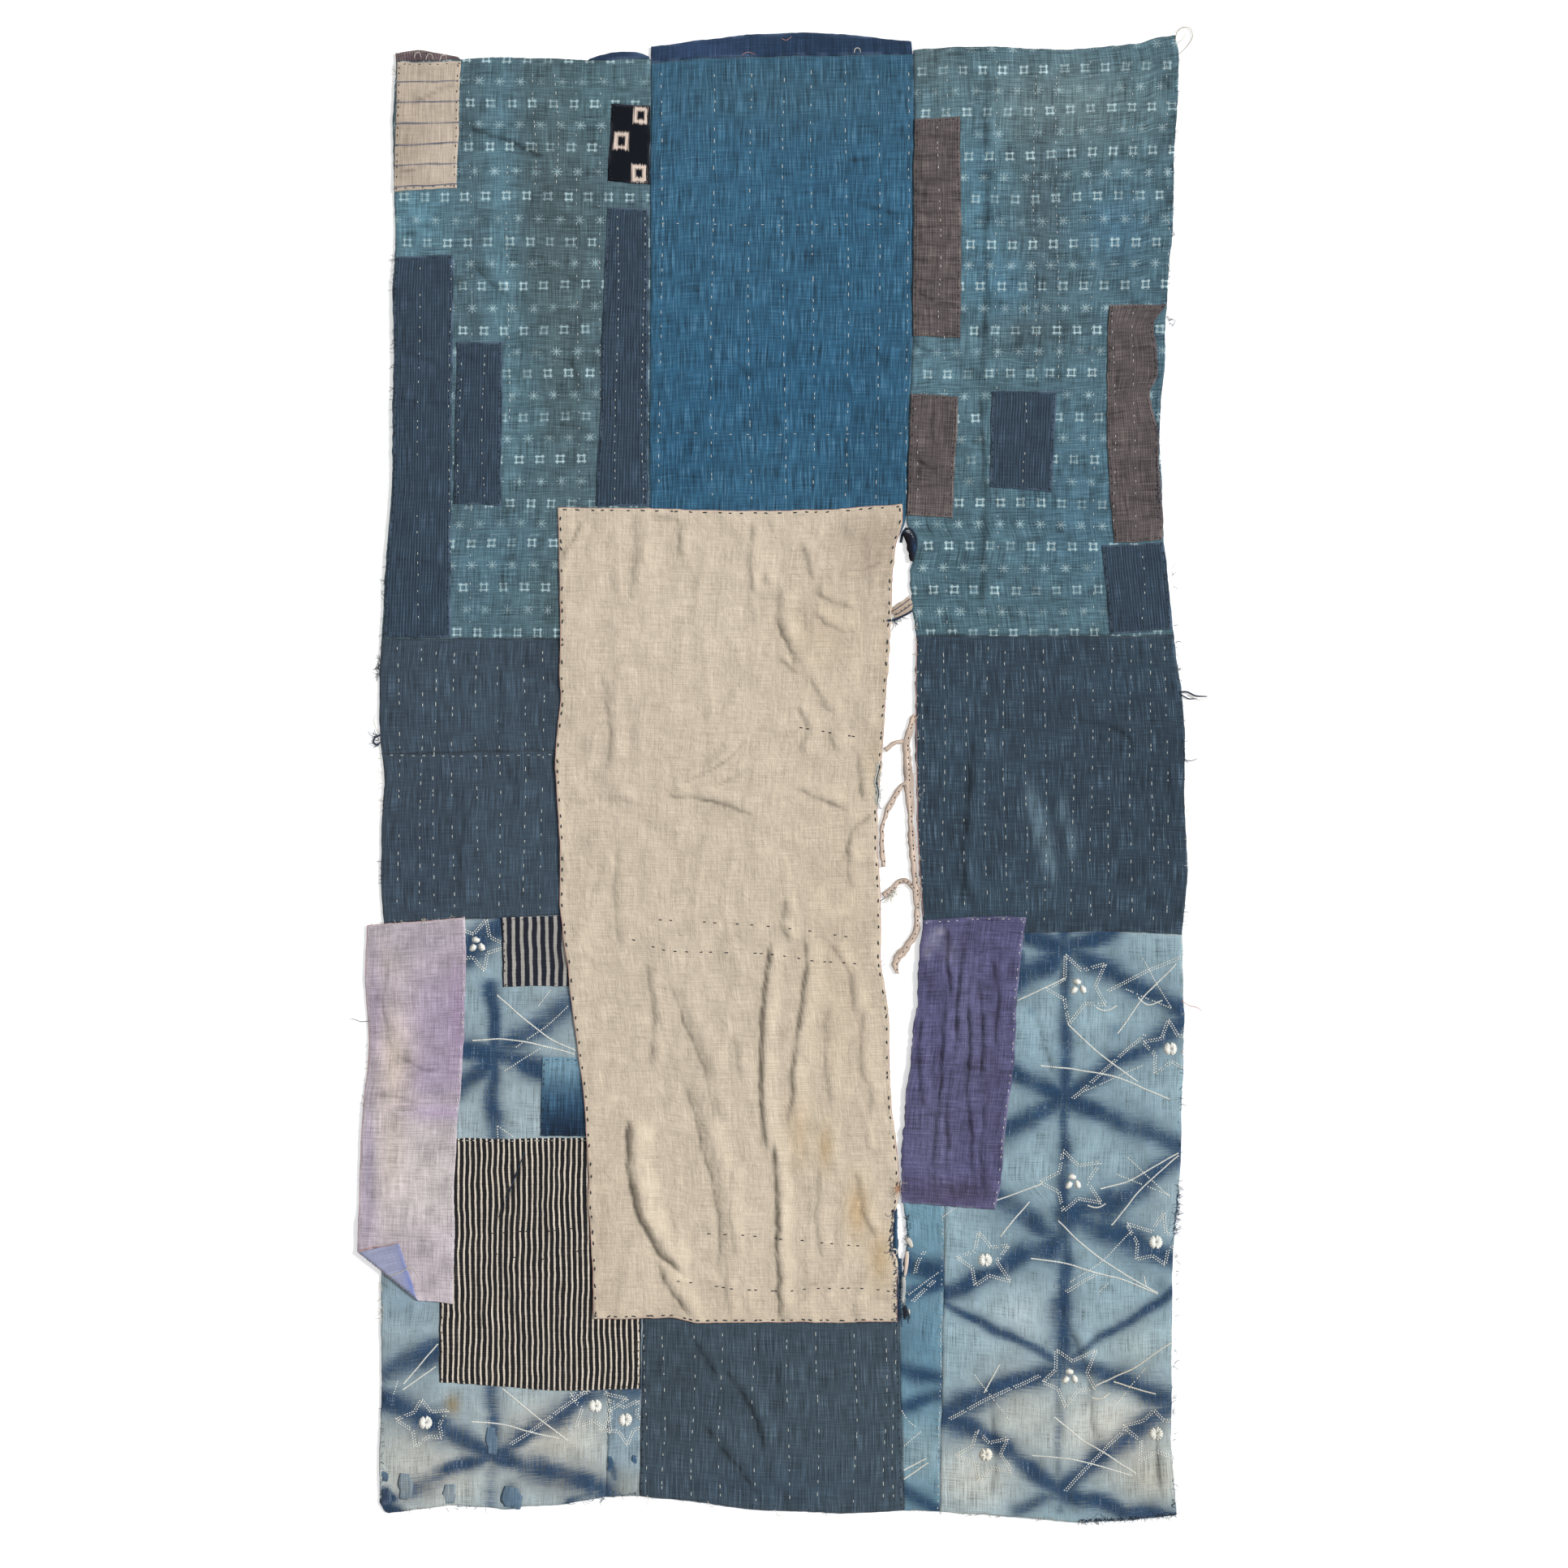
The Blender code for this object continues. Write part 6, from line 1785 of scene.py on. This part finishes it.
        torn = np.array(span("right_left", 786, 1130), float) + [0.8, 0]
        edge.add(resample(torn, 90)[None], np.full(90, -0.5), np.full(90, 0.5))
        edge.build()

    def moved_in(self, sheet: Sheet, side: int, distance: float) -> Array:
        """A side of a sheet moved towards the sheet's middle line."""
        line = softened(sheet.sides[side], 4.0, 2)
        facing = softened(sheet.sides[(side + 2) % 4], 4.0, 2)
        across = resample(facing, len(line)) - line
        return line + across / np.linalg.norm(across, axis=1)[:, None] * distance

    def sew_side(self, threads: Threads, sheet: Sheet, side: int, pitch: float, length: float,
                 radius: float) -> None:
        """Sews a row of stitches just inside one side of a sheet."""
        middles, along = dotted(self.moved_in(sheet, side, self.inset), pitch, len(sheet.name) * 10 + side,
                                0.2)
        draw = np.random.default_rng(side + len(sheet.name))
        turn = draw.normal(scale=0.16, size=len(middles))
        along = np.stack([
            along[:, 0] * np.cos(turn) - along[:, 1] * np.sin(turn),
            along[:, 0] * np.sin(turn) + along[:, 1] * np.cos(turn),
        ], axis=1)
        sizes = length * draw.uniform(0.7, 1.2, len(middles))
        threads.stitches(middles, along, sizes, radius, (sheet.name,))


@dataclass
class ResistMarks:
    """Undyed marks that stitched and tied threads left in the resist-dyed cloth, still puckered."""

    row_gap: float = 1.35
    inner_share: float = 0.5
    height: float = 0.32

    # Plain five-pointed stars: middle, reach, turn in degrees, and whether a tied disc is inside
    STARS = (
        (1328, 1216, 42, -22, False), (1322, 1456, 40, -18, False), (1214, 1552, 35, -14, True),
        (1424, 1530, 36, -58, True), (1318, 1696, 40, -28, False), (1214, 1792, 35, -20, True),
        (1424, 1766, 38, -76, True), (1441, 1292, 36, -4, True), (525, 1752, 35, -12, True),
        (734, 1731, 37, -66, True), (771, 1749, 32, 32, True), (588, 1164, 34, 20, False),
    )
    # Trails: kind of row, then its points. A rope is one row of slanted marks, dots one row, double two rows
    TRAILS = (
        ("rope", [(613, 1226), (642, 1252), (683, 1283), (711, 1295)]),
        ("rope", [(582, 1282), (616, 1279), (652, 1283), (708, 1299)]), ("rope", [(540, 1655), (497, 1704)]),
        ("rope", [(538, 1683), (496, 1711)]), ("rope", [(620, 1711), (669, 1751), (699, 1774)]),
        ("rope", [(581, 1751), (617, 1754), (689, 1772)]), ("dots", [(679, 1219), (661, 1243)]),
        ("dots", [(701, 1238), (673, 1264), (635, 1290)]), ("dots", [(666, 1290), (621, 1319)]),
        ("double", [(725, 1711), (670, 1751), (629, 1779)]), ("dots", [(613, 1386), (613, 1401)]),
        ("dots", [(613, 1386), (633, 1400)]), ("dots", [(490, 1700), (484, 1718)]),
        ("rope", [(1304, 1504), (1330, 1531), (1383, 1569), (1426, 1592)]),
        ("rope", [(1270, 1551), (1307, 1555), (1383, 1576), (1426, 1593)]),
        ("rope", [(1299, 1745), (1332, 1773), (1399, 1814)]),
        ("rope", [(1271, 1792), (1320, 1797), (1394, 1817)]),
        ("rope", [(1350, 1707), (1396, 1685), (1442, 1655)]), ("rope", [(1371, 1702), (1424, 1717)]),
        ("dots", [(1373, 1731), (1411, 1684)]), ("rope", [(1232, 1680), (1212, 1715)]),
        ("double", [(1169, 1748), (1207, 1727), (1281, 1694)]), ("dots", [(1200, 1693), (1243, 1749)]),
        ("dots", [(1394, 1516), (1358, 1553), (1317, 1580)]), ("double", [(1312, 1592), (1350, 1569)]),
        ("double", [(1312, 1836), (1345, 1801), (1386, 1760)]), ("rope", [(1254, 1233), (1313, 1205)]),
        ("double", [(1364, 1221), (1412, 1196), (1456, 1178)]),
        ("rope", [(1376, 1273), (1408, 1228), (1448, 1187)]), ("dots", [(1386, 1218), (1443, 1242)]),
        ("dots", [(1406, 1180), (1443, 1242)]), ("rope", [(1315, 1262), (1352, 1296), (1401, 1333)]),
        ("rope", [(1281, 1313), (1314, 1315), (1371, 1325), (1441, 1355)]),
        ("double", [(1319, 1355), (1410, 1274)]), ("dots", [(1334, 1344), (1408, 1313)]),
        ("rope", [(1228, 1478), (1284, 1458)]), ("rope", [(1356, 1464), (1388, 1456), (1451, 1420)]),
        ("rope", [(1369, 1510), (1401, 1468), (1451, 1423)]), ("dots", [(1118, 1595), (1156, 1567)]),
        ("dots", [(1108, 1732), (1116, 1750), (1128, 1758)]), ("rope", [(1113, 1811), (1141, 1796)]),
        ("rope", [(1113, 1822), (1144, 1801)]), ("dots", [(1113, 1782), (1135, 1763)]),
        ("double", [(1123, 1603), (1151, 1577)]), ("double", [(1126, 1569), (1130, 1552), (1139, 1541)]),
        ("rope", [(1402, 1228), (1414, 1240), (1432, 1232)]),
        ("rope", [(1350, 1240), (1362, 1247), (1376, 1238)]), ("dots", [(1366, 1580), (1354, 1592)]),
        ("rope", [(1409, 1572), (1412, 1584)]), ("rope", [(1340, 1484), (1352, 1490), (1362, 1482)]),
        ("dots", [(1374, 1446), (1440, 1472)]), ("dots", [(1388, 1426), (1440, 1474)]),
        ("rope", [(1232, 1524), (1254, 1496), (1268, 1480)]),
        ("dots", [(1160, 1500), (1176, 1486), (1196, 1484)]),
        ("rope", [(1344, 1722), (1356, 1726), (1366, 1716)]),
    )

    def build(self, surface: Surface) -> None:
        """Lays the marks as short, almost flat puckers of undyed cloth."""
        marks = Threads("resist_marks", "shibori", RESIST_MARK, surface)
        for seed, (x, y, reach, turn, has_disc) in enumerate(self.STARS):
            corner = np.arange(11)
            angle = np.radians(turn - 90) + corner * np.pi / 5
            size = reach * np.where(corner % 2, self.inner_share, 1.0)
            size[:10] *= 1 + 0.09 * np.random.default_rng(seed).normal(size=10)
            size[10] = size[0]
            outline = np.stack([x + size * np.cos(angle), y + size * np.sin(angle)], axis=1)
            for ray, (start, stop) in enumerate(zip(outline, outline[1:])):
                self.row(marks, "double", np.array([start, stop]), 1000 + 10 * seed + ray)
            self.centre(marks, x, y, has_disc)
        for seed, (kind, points) in enumerate(self.TRAILS):
            self.row(marks, kind, softened(points, 4.0, 3), seed + 50)
        marks.build()

    def row(self, marks: Threads, kind: str, line: Array, seed: int) -> None:
        """Lays one trail of marks.

        Args:
            marks: The joined piece.
            kind: Rope, dots or double.
            line: The trail's points.
            seed: Seed of its unevenness.
        """
        middles, along = dotted(line, 1.8 if kind == "rope" else 2.9, seed, 0.05)
        aside = np.stack([-along[:, 1], along[:, 0]], axis=1)
        draw = np.random.default_rng(seed + 300)
        kept = draw.random(len(middles)) > (0.0 if kind == "rope" else 0.04)
        middles, along, aside = middles[kept], along[kept], aside[kept]
        if kind == "rope":
            self.lay(marks, middles, along * 0.8 + aside * 0.6, 2.6, 0.82)
            return
        for shift in (-self.row_gap, self.row_gap) if kind == "double" else (0.0,):
            self.lay(marks, middles + aside * shift + along * 0.6 * shift, along, 1.6, 0.98)

    def lay(self, marks: Threads, middles: Array, along: Array, length: float, radius: float) -> None:
        """Lays short, flat marks on the resist-dyed cloths alone."""
        step = np.array([-0.5, 0.0, 0.5])
        flat = middles[:, None] + along[:, None] * (step * length)[:, None]
        names = marks.surface.settle(middles[:, 0], middles[:, 1])[3]
        keep = np.array(["shibori" in name for name in names], dtype=bool)
        if radius < 1.5:
            marks.add(flat, np.array([-0.1, self.height, -0.1]), radius * np.array([0.55, 1, 0.55]), 0.3,
                      keep=keep)
        else:
            marks.add(flat, np.array([0.08, 0.14, 0.08]), radius * np.array([0.5, 1, 0.7]), 0.06, keep=keep)

    def centre(self, marks: Threads, x: float, y: float, has_disc: bool) -> None:
        """Lays a star's middle: a tied disc of overlapping petals, or three large dots."""
        count = 15 if has_disc else 3
        angle = np.arange(count) * 2 * np.pi / count + 0.4
        ray = np.stack([np.cos(angle), np.sin(angle)], axis=1)
        middles = np.array([x, y]) + ray * (4.5 if has_disc else 6.4)
        if has_disc:
            ray, middles = np.delete(ray, (3, 10), axis=0), np.delete(middles, (3, 10), axis=0)
        self.lay(marks, middles, ray if has_disc else ray[:, ::-1], 7.8 if has_disc else 9.6,
                 2.2 if has_disc else 4.2)


@dataclass
class LooseThreads:
    """Frays along the torn edges, and the threads, loops and tufts that hang off the cloth."""

    reach: float = 5.0
    radius: float = 0.24

    # Frayed runs: start and end on the board, threads, length, and 1 for dark threads
    RUNS = (
        ((486, 80), (485, 112), 10, 5, 0), ((484, 300), (484, 362), 16, 5, 1),
        ((485, 400), (483, 560), 26, 4, 1), ((476, 680), (470, 800), 22, 5, 1),
        ((466, 810), (465, 832), 26, 6, 1), ((463, 905), (464, 920), 22, 8, 1),
        ((468, 930), (469, 1000), 16, 5, 0), ((469, 1060), (470, 1095), 8, 4, 1),
        ((468, 1578), (469, 1625), 14, 6, 0), ((470, 1700), (472, 1850), 26, 4, 1),
        ((478, 1862), (640, 1857), 26, 4, 1), ((690, 1853), (786, 1842), 26, 6, 1),
        ((800, 1845), (1035, 1864), 30, 5, 1), ((1120, 1863), (1330, 1874), 30, 4, 0),
        ((1330, 1875), (1448, 1866), 150, 6, 1), ((1452, 64), (1442, 380), 36, 3, 1),
        ((1424, 400), (1428, 640), 90, 4, 1), ((1440, 386), (1446, 402), 9, 4, 1),
        ((1446, 700), (1462, 960), 34, 4, 1), ((1463, 1000), (1456, 1300), 34, 4, 0),
        ((1456, 1300), (1446, 1860), 70, 5, 1), ((1097, 700), (1086, 990), 50, 4, 0),
        ((1080, 940), (1082, 995), 60, 7, 0), ((1086, 1110), (1098, 1400), 34, 4, 0),
        ((1101, 1490), (1098, 1546), 80, 6, 1), ((1106, 1552), (1107, 1626), 150, 6, 1),
        ((1117, 1494), (1116, 1545), 34, 4, 1), ((1112, 1574), (1112, 1606), 50, 5, 0),
        ((1453, 1458), (1449, 1522), 80, 6, 1), ((1126, 690), (1133, 1120), 46, 4, 0),
        ((1105, 1456), (1108, 1470), 36, 9, 0), ((1099, 765), (1113, 760), 26, 7, 1),
        ((452, 1139), (573, 1130), 22, 2, 0), ((455, 1200), (443, 1440), 20, 3, 0),
        ((1112, 1608), (1118, 1624), 40, 6, 1), ((1106, 1094), (1094, 1108), 40, 8, 0),
        ((1118, 650), (1128, 672), 40, 5, 1),
    )
    # Single threads: radius, 1 for dark, 2 for pink, then the thread's points
    SINGLES = (
        (0.75, 0, [(1447, 52), (1449, 40), (1458, 33), (1468, 36), (1470, 47), (1462, 58), (1453, 66)]),
        (0.4, 0, [(1447, 56), (1456, 50), (1461, 42), (1456, 37)]),
        (1.1, 1, [(1452, 853), (1462, 852), (1472, 857), (1487, 858)]),
        (0.9, 1, [(1452, 855), (1464, 861), (1474, 860)]), (0.5, 0, [(1463, 856), (1476, 862), (1486, 860)]),
        (0.5, 1, [(1458, 936), (1468, 937), (1475, 934)]),
        (0.45, 2, [(1456, 1233), (1466, 1240), (1476, 1242), (1482, 1247)]),
        (0.4, 1, [(455, 1257), (444, 1258), (436, 1255), (430, 1256)]),
        (0.4, 0, [(468, 906), (462, 893), (461, 886), (464, 879)]),
        (1.2, 1, [(470, 905), (462, 908), (459, 914), (464, 918), (469, 914)]),
        (0.4, 0, [(797, 1842), (799, 1849), (796, 1856)]), (0.4, 0, [(872, 1849), (876, 1857), (881, 1856)]),
        (0.4, 0, [(955, 1860), (959, 1868), (965, 1867)]),
        (0.8, 0, [(1084, 936), (1080, 950), (1077, 964), (1081, 976), (1079, 988), (1084, 996)]),
        (0.6, 1, [(1086, 938), (1082, 951), (1079, 965), (1083, 977), (1081, 989), (1086, 997)]),
        (0.5, 0, [(1088, 940), (1084, 954), (1081, 967), (1085, 979), (1084, 992)]),
        (0.5, 2, [(441, 1540), (460, 1535), (480, 1533), (495, 1528)]),
        (0.6, 0, [(480, 1571), (493, 1567), (507, 1560), (512, 1566), (516, 1573)]),
        (0.5, 0, [(510, 72), (512, 66), (517, 65), (519, 72)]),
        (0.5, 0, [(524, 74), (527, 67), (532, 67), (533, 74)]),
        (0.5, 0, [(541, 75), (544, 68), (550, 69), (550, 76)]), (0.4, 2, [(962, 47), (968, 51), (975, 46)]),
        (0.4, 2, [(914, 68), (922, 64), (930, 67)]),
        (0.6, 0, [(1052, 66), (1053, 60), (1059, 60), (1060, 66)]),
        (1.6, 1, [(1110, 668), (1112, 657), (1117, 650), (1123, 651), (1129, 660), (1130, 673),
            (1126, 687)]),
        (3.4, 0, [(1116, 1524), (1120, 1529), (1123, 1536)]),
        (2.6, 0, [(1117, 1541), (1116, 1556), (1114, 1572)]),
        (2.4, 0, [(1113, 1573), (1113, 1588), (1112, 1604)]),
        (3.0, 1, [(1114, 1608), (1115, 1616), (1114, 1625)]),
        (2.2, 1, [(1103, 1490), (1103, 1510), (1103, 1530), (1104, 1546)]),
        (1.0, 0, [(1099, 1538), (1104, 1538), (1104, 1545), (1099, 1545)]),
        (2.0, 1, [(1108, 1550), (1109, 1575), (1108, 1600), (1109, 1622)]),
        (1.2, 0, [(1119, 1612), (1120, 1618)]),
        (1.2, 1, [(646, 1418), (638, 1440), (628, 1466), (614, 1500)]),
        (1.5, 1, [(1088, 765), (1100, 764), (1113, 758), (1124, 752)]),
        (0.5, 0, [(1099, 764), (1102, 770), (1099, 776), (1096, 780)]),
        (0.45, 1, [(1085, 1110), (1094, 1104), (1098, 1098), (1104, 1100)]),
    )

    def build(self, surface: Surface) -> None:
        """Builds the pale, the dark and the pink loose threads."""
        kinds = [
            Threads("loose_pale_threads", "seam_tape", FRAY_PALE, surface),
            Threads("loose_dark_threads", "navy_cotton", FRAY_DARK, surface),
            Threads("loose_pink_threads", "brown_cotton", PINK_EDGE, surface),
        ]
        for seed, (start, stop, count, length, kind) in enumerate(self.RUNS):
            self.fray(kinds[kind], np.array(start, float), np.array(stop, float), count, length, seed)
        for radius, kind, points in self.SINGLES:
            line = resample(softened(points, 1.5, 2), 0, np.linspace(0, 1, 14))
            self.drape(kinds[kind], line[None], np.array([radius]))
        for kind in kinds:
            kind.build()

    def fray(self, threads: Threads, start: Array, stop: Array, count: int, length: float, seed: int) -> None:
        """Scatters curled thread ends along an edge.

        Each end leaves at right angles, turned by a draw, and bends evenly on its way.
        """
        draw = np.random.default_rng(seed + 700)
        side = (stop - start) / np.linalg.norm(stop - start)
        # Every run's far side from the cloth's middle line is its outer one
        outward = np.array([side[1], -side[0]])
        turned = threads.surface.settle(*(((start + stop) / 2 + outward * 6)[:, None]))[3][0] != ""
        outward = -outward if turned else outward
        part = draw.random(count)
        first = start + (stop - start) * part[:, None] - outward * 2.5 + draw.normal(scale=0.8,
                                                                                     size=(count, 2))
        heading = np.arctan2(outward[1], outward[0]) + draw.normal(scale=0.75, size=count)
        bend = draw.normal(scale=1.1, size=count)
        reach = (length + 2.5) * draw.uniform(0.4, 1.35, count)
        step = np.linspace(0, 1, 6)
        angle = heading[:, None] + bend[:, None] * step
        move = np.stack([np.cos(angle), np.sin(angle)], axis=-1) * (reach / 5)[:, None, None]
        paths = first[:, None] + np.cumsum(move, axis=1) - move[:, :1]
        self.drape(threads, paths, self.radius * draw.uniform(0.7, 1.5, count))

    def drape(self, threads: Threads, paths: Array, radius: Array) -> None:
        """Lays threads from the cloth down to the floor, over whatever cloth they cross."""
        height = threads.surface.settle(paths[..., 0], paths[..., 1])[2]
        step = np.linspace(0, 1, paths.shape[1])
        first = np.maximum(height[:, :1] - 0.5, 0.6)
        over = np.where(height > 0, height + 0.2, 0)
        level = np.maximum(first * (1 - step) ** 1.5 + 0.4, np.where(step > 0.12, over, 0))
        flatness = 0.3 if radius.max() > 1.3 else 1.0
        threads.add(paths, level - height, radius[:, None] * (1 - 0.5 * step ** 3), flatness,
                    6 if flatness < 1 else 4)


@dataclass
class Studio:
    """A white floor, a low soft key light from the right, a pale sky, and a camera straight above."""

    floor_side: float = 14.0
    floor_drop: float = 0.0003
    camera_height: float = 4.0
    sensor: float = 36.0
    key_strength: float = 3.1
    key_angle: float = 0.30
    sky: float = 0.50
    floor_glow: float = 0.32

    def build(self) -> None:
        """Makes the floor, the lights and the camera."""
        half = self.floor_side / 2
        corners = np.array([(-half, -half), (half, -half), (half, half), (-half, half)])
        points = np.concatenate([corners, np.full((4, 1), -self.floor_drop)], axis=1)
        graph = Graph("white_floor")
        shader = graph.add("BsdfPrincipled", {
            "Base Color": (0.93, 0.93, 0.93, 1), "Roughness": 0.9, "Specular IOR Level": 0.0,
            "Emission Color": (1, 1, 1, 1), "Emission Strength": self.floor_glow,
        })
        graph.add("OutputMaterial", {"Surface": shader})
        floor = new_piece("floor", points, np.array([[0, 1, 2, 3]]), [graph.material])
        key = bpy.data.lights.new("key", "SUN")
        key.energy = self.key_strength
        key.angle = self.key_angle
        lamp = bpy.data.objects.new("key", key)
        lamp.rotation_euler = (np.radians(-14), np.radians(54), 0)
        bpy.context.scene.collection.objects.link(lamp)
        world = bpy.data.worlds.new("sky")
        world.use_nodes = True
        background = world.node_tree.nodes["Background"]
        background.inputs["Color"].default_value = (1, 1, 1, 1)
        background.inputs["Strength"].default_value = self.sky
        bpy.context.scene.world = world
        view = bpy.data.cameras.new("camera")
        view.sensor_width = self.sensor
        view.lens = self.sensor * self.camera_height / (FRAME_SIDE * MM)
        camera = bpy.data.objects.new("camera", view)
        camera.location = (
            (FRAME_MIDDLE - BOARD_X) * MM, (BOARD_Y - FRAME_MIDDLE) * MM, self.camera_height,
        )
        bpy.context.scene.collection.objects.link(camera)
        bpy.context.scene.camera = camera
        bpy.context.scene.view_settings.view_transform = "Standard"


def main() -> None:
    """Builds every sub-assembly in order."""
    logging.basicConfig(level=logging.INFO, format="%(message)s")
    sheets = [sheet for part in (Ground(), Patches(), SeamRemains()) for sheet in part.build()]
    for sheet in sheets:
        sheet.build()
    surface = Surface(sheets)
    Stitching().build(surface, {sheet.name: sheet for sheet in sheets})
    ResistMarks().build(surface)
    LooseThreads().build(surface)
    Studio().build()


if __name__ == "__main__":
    main()
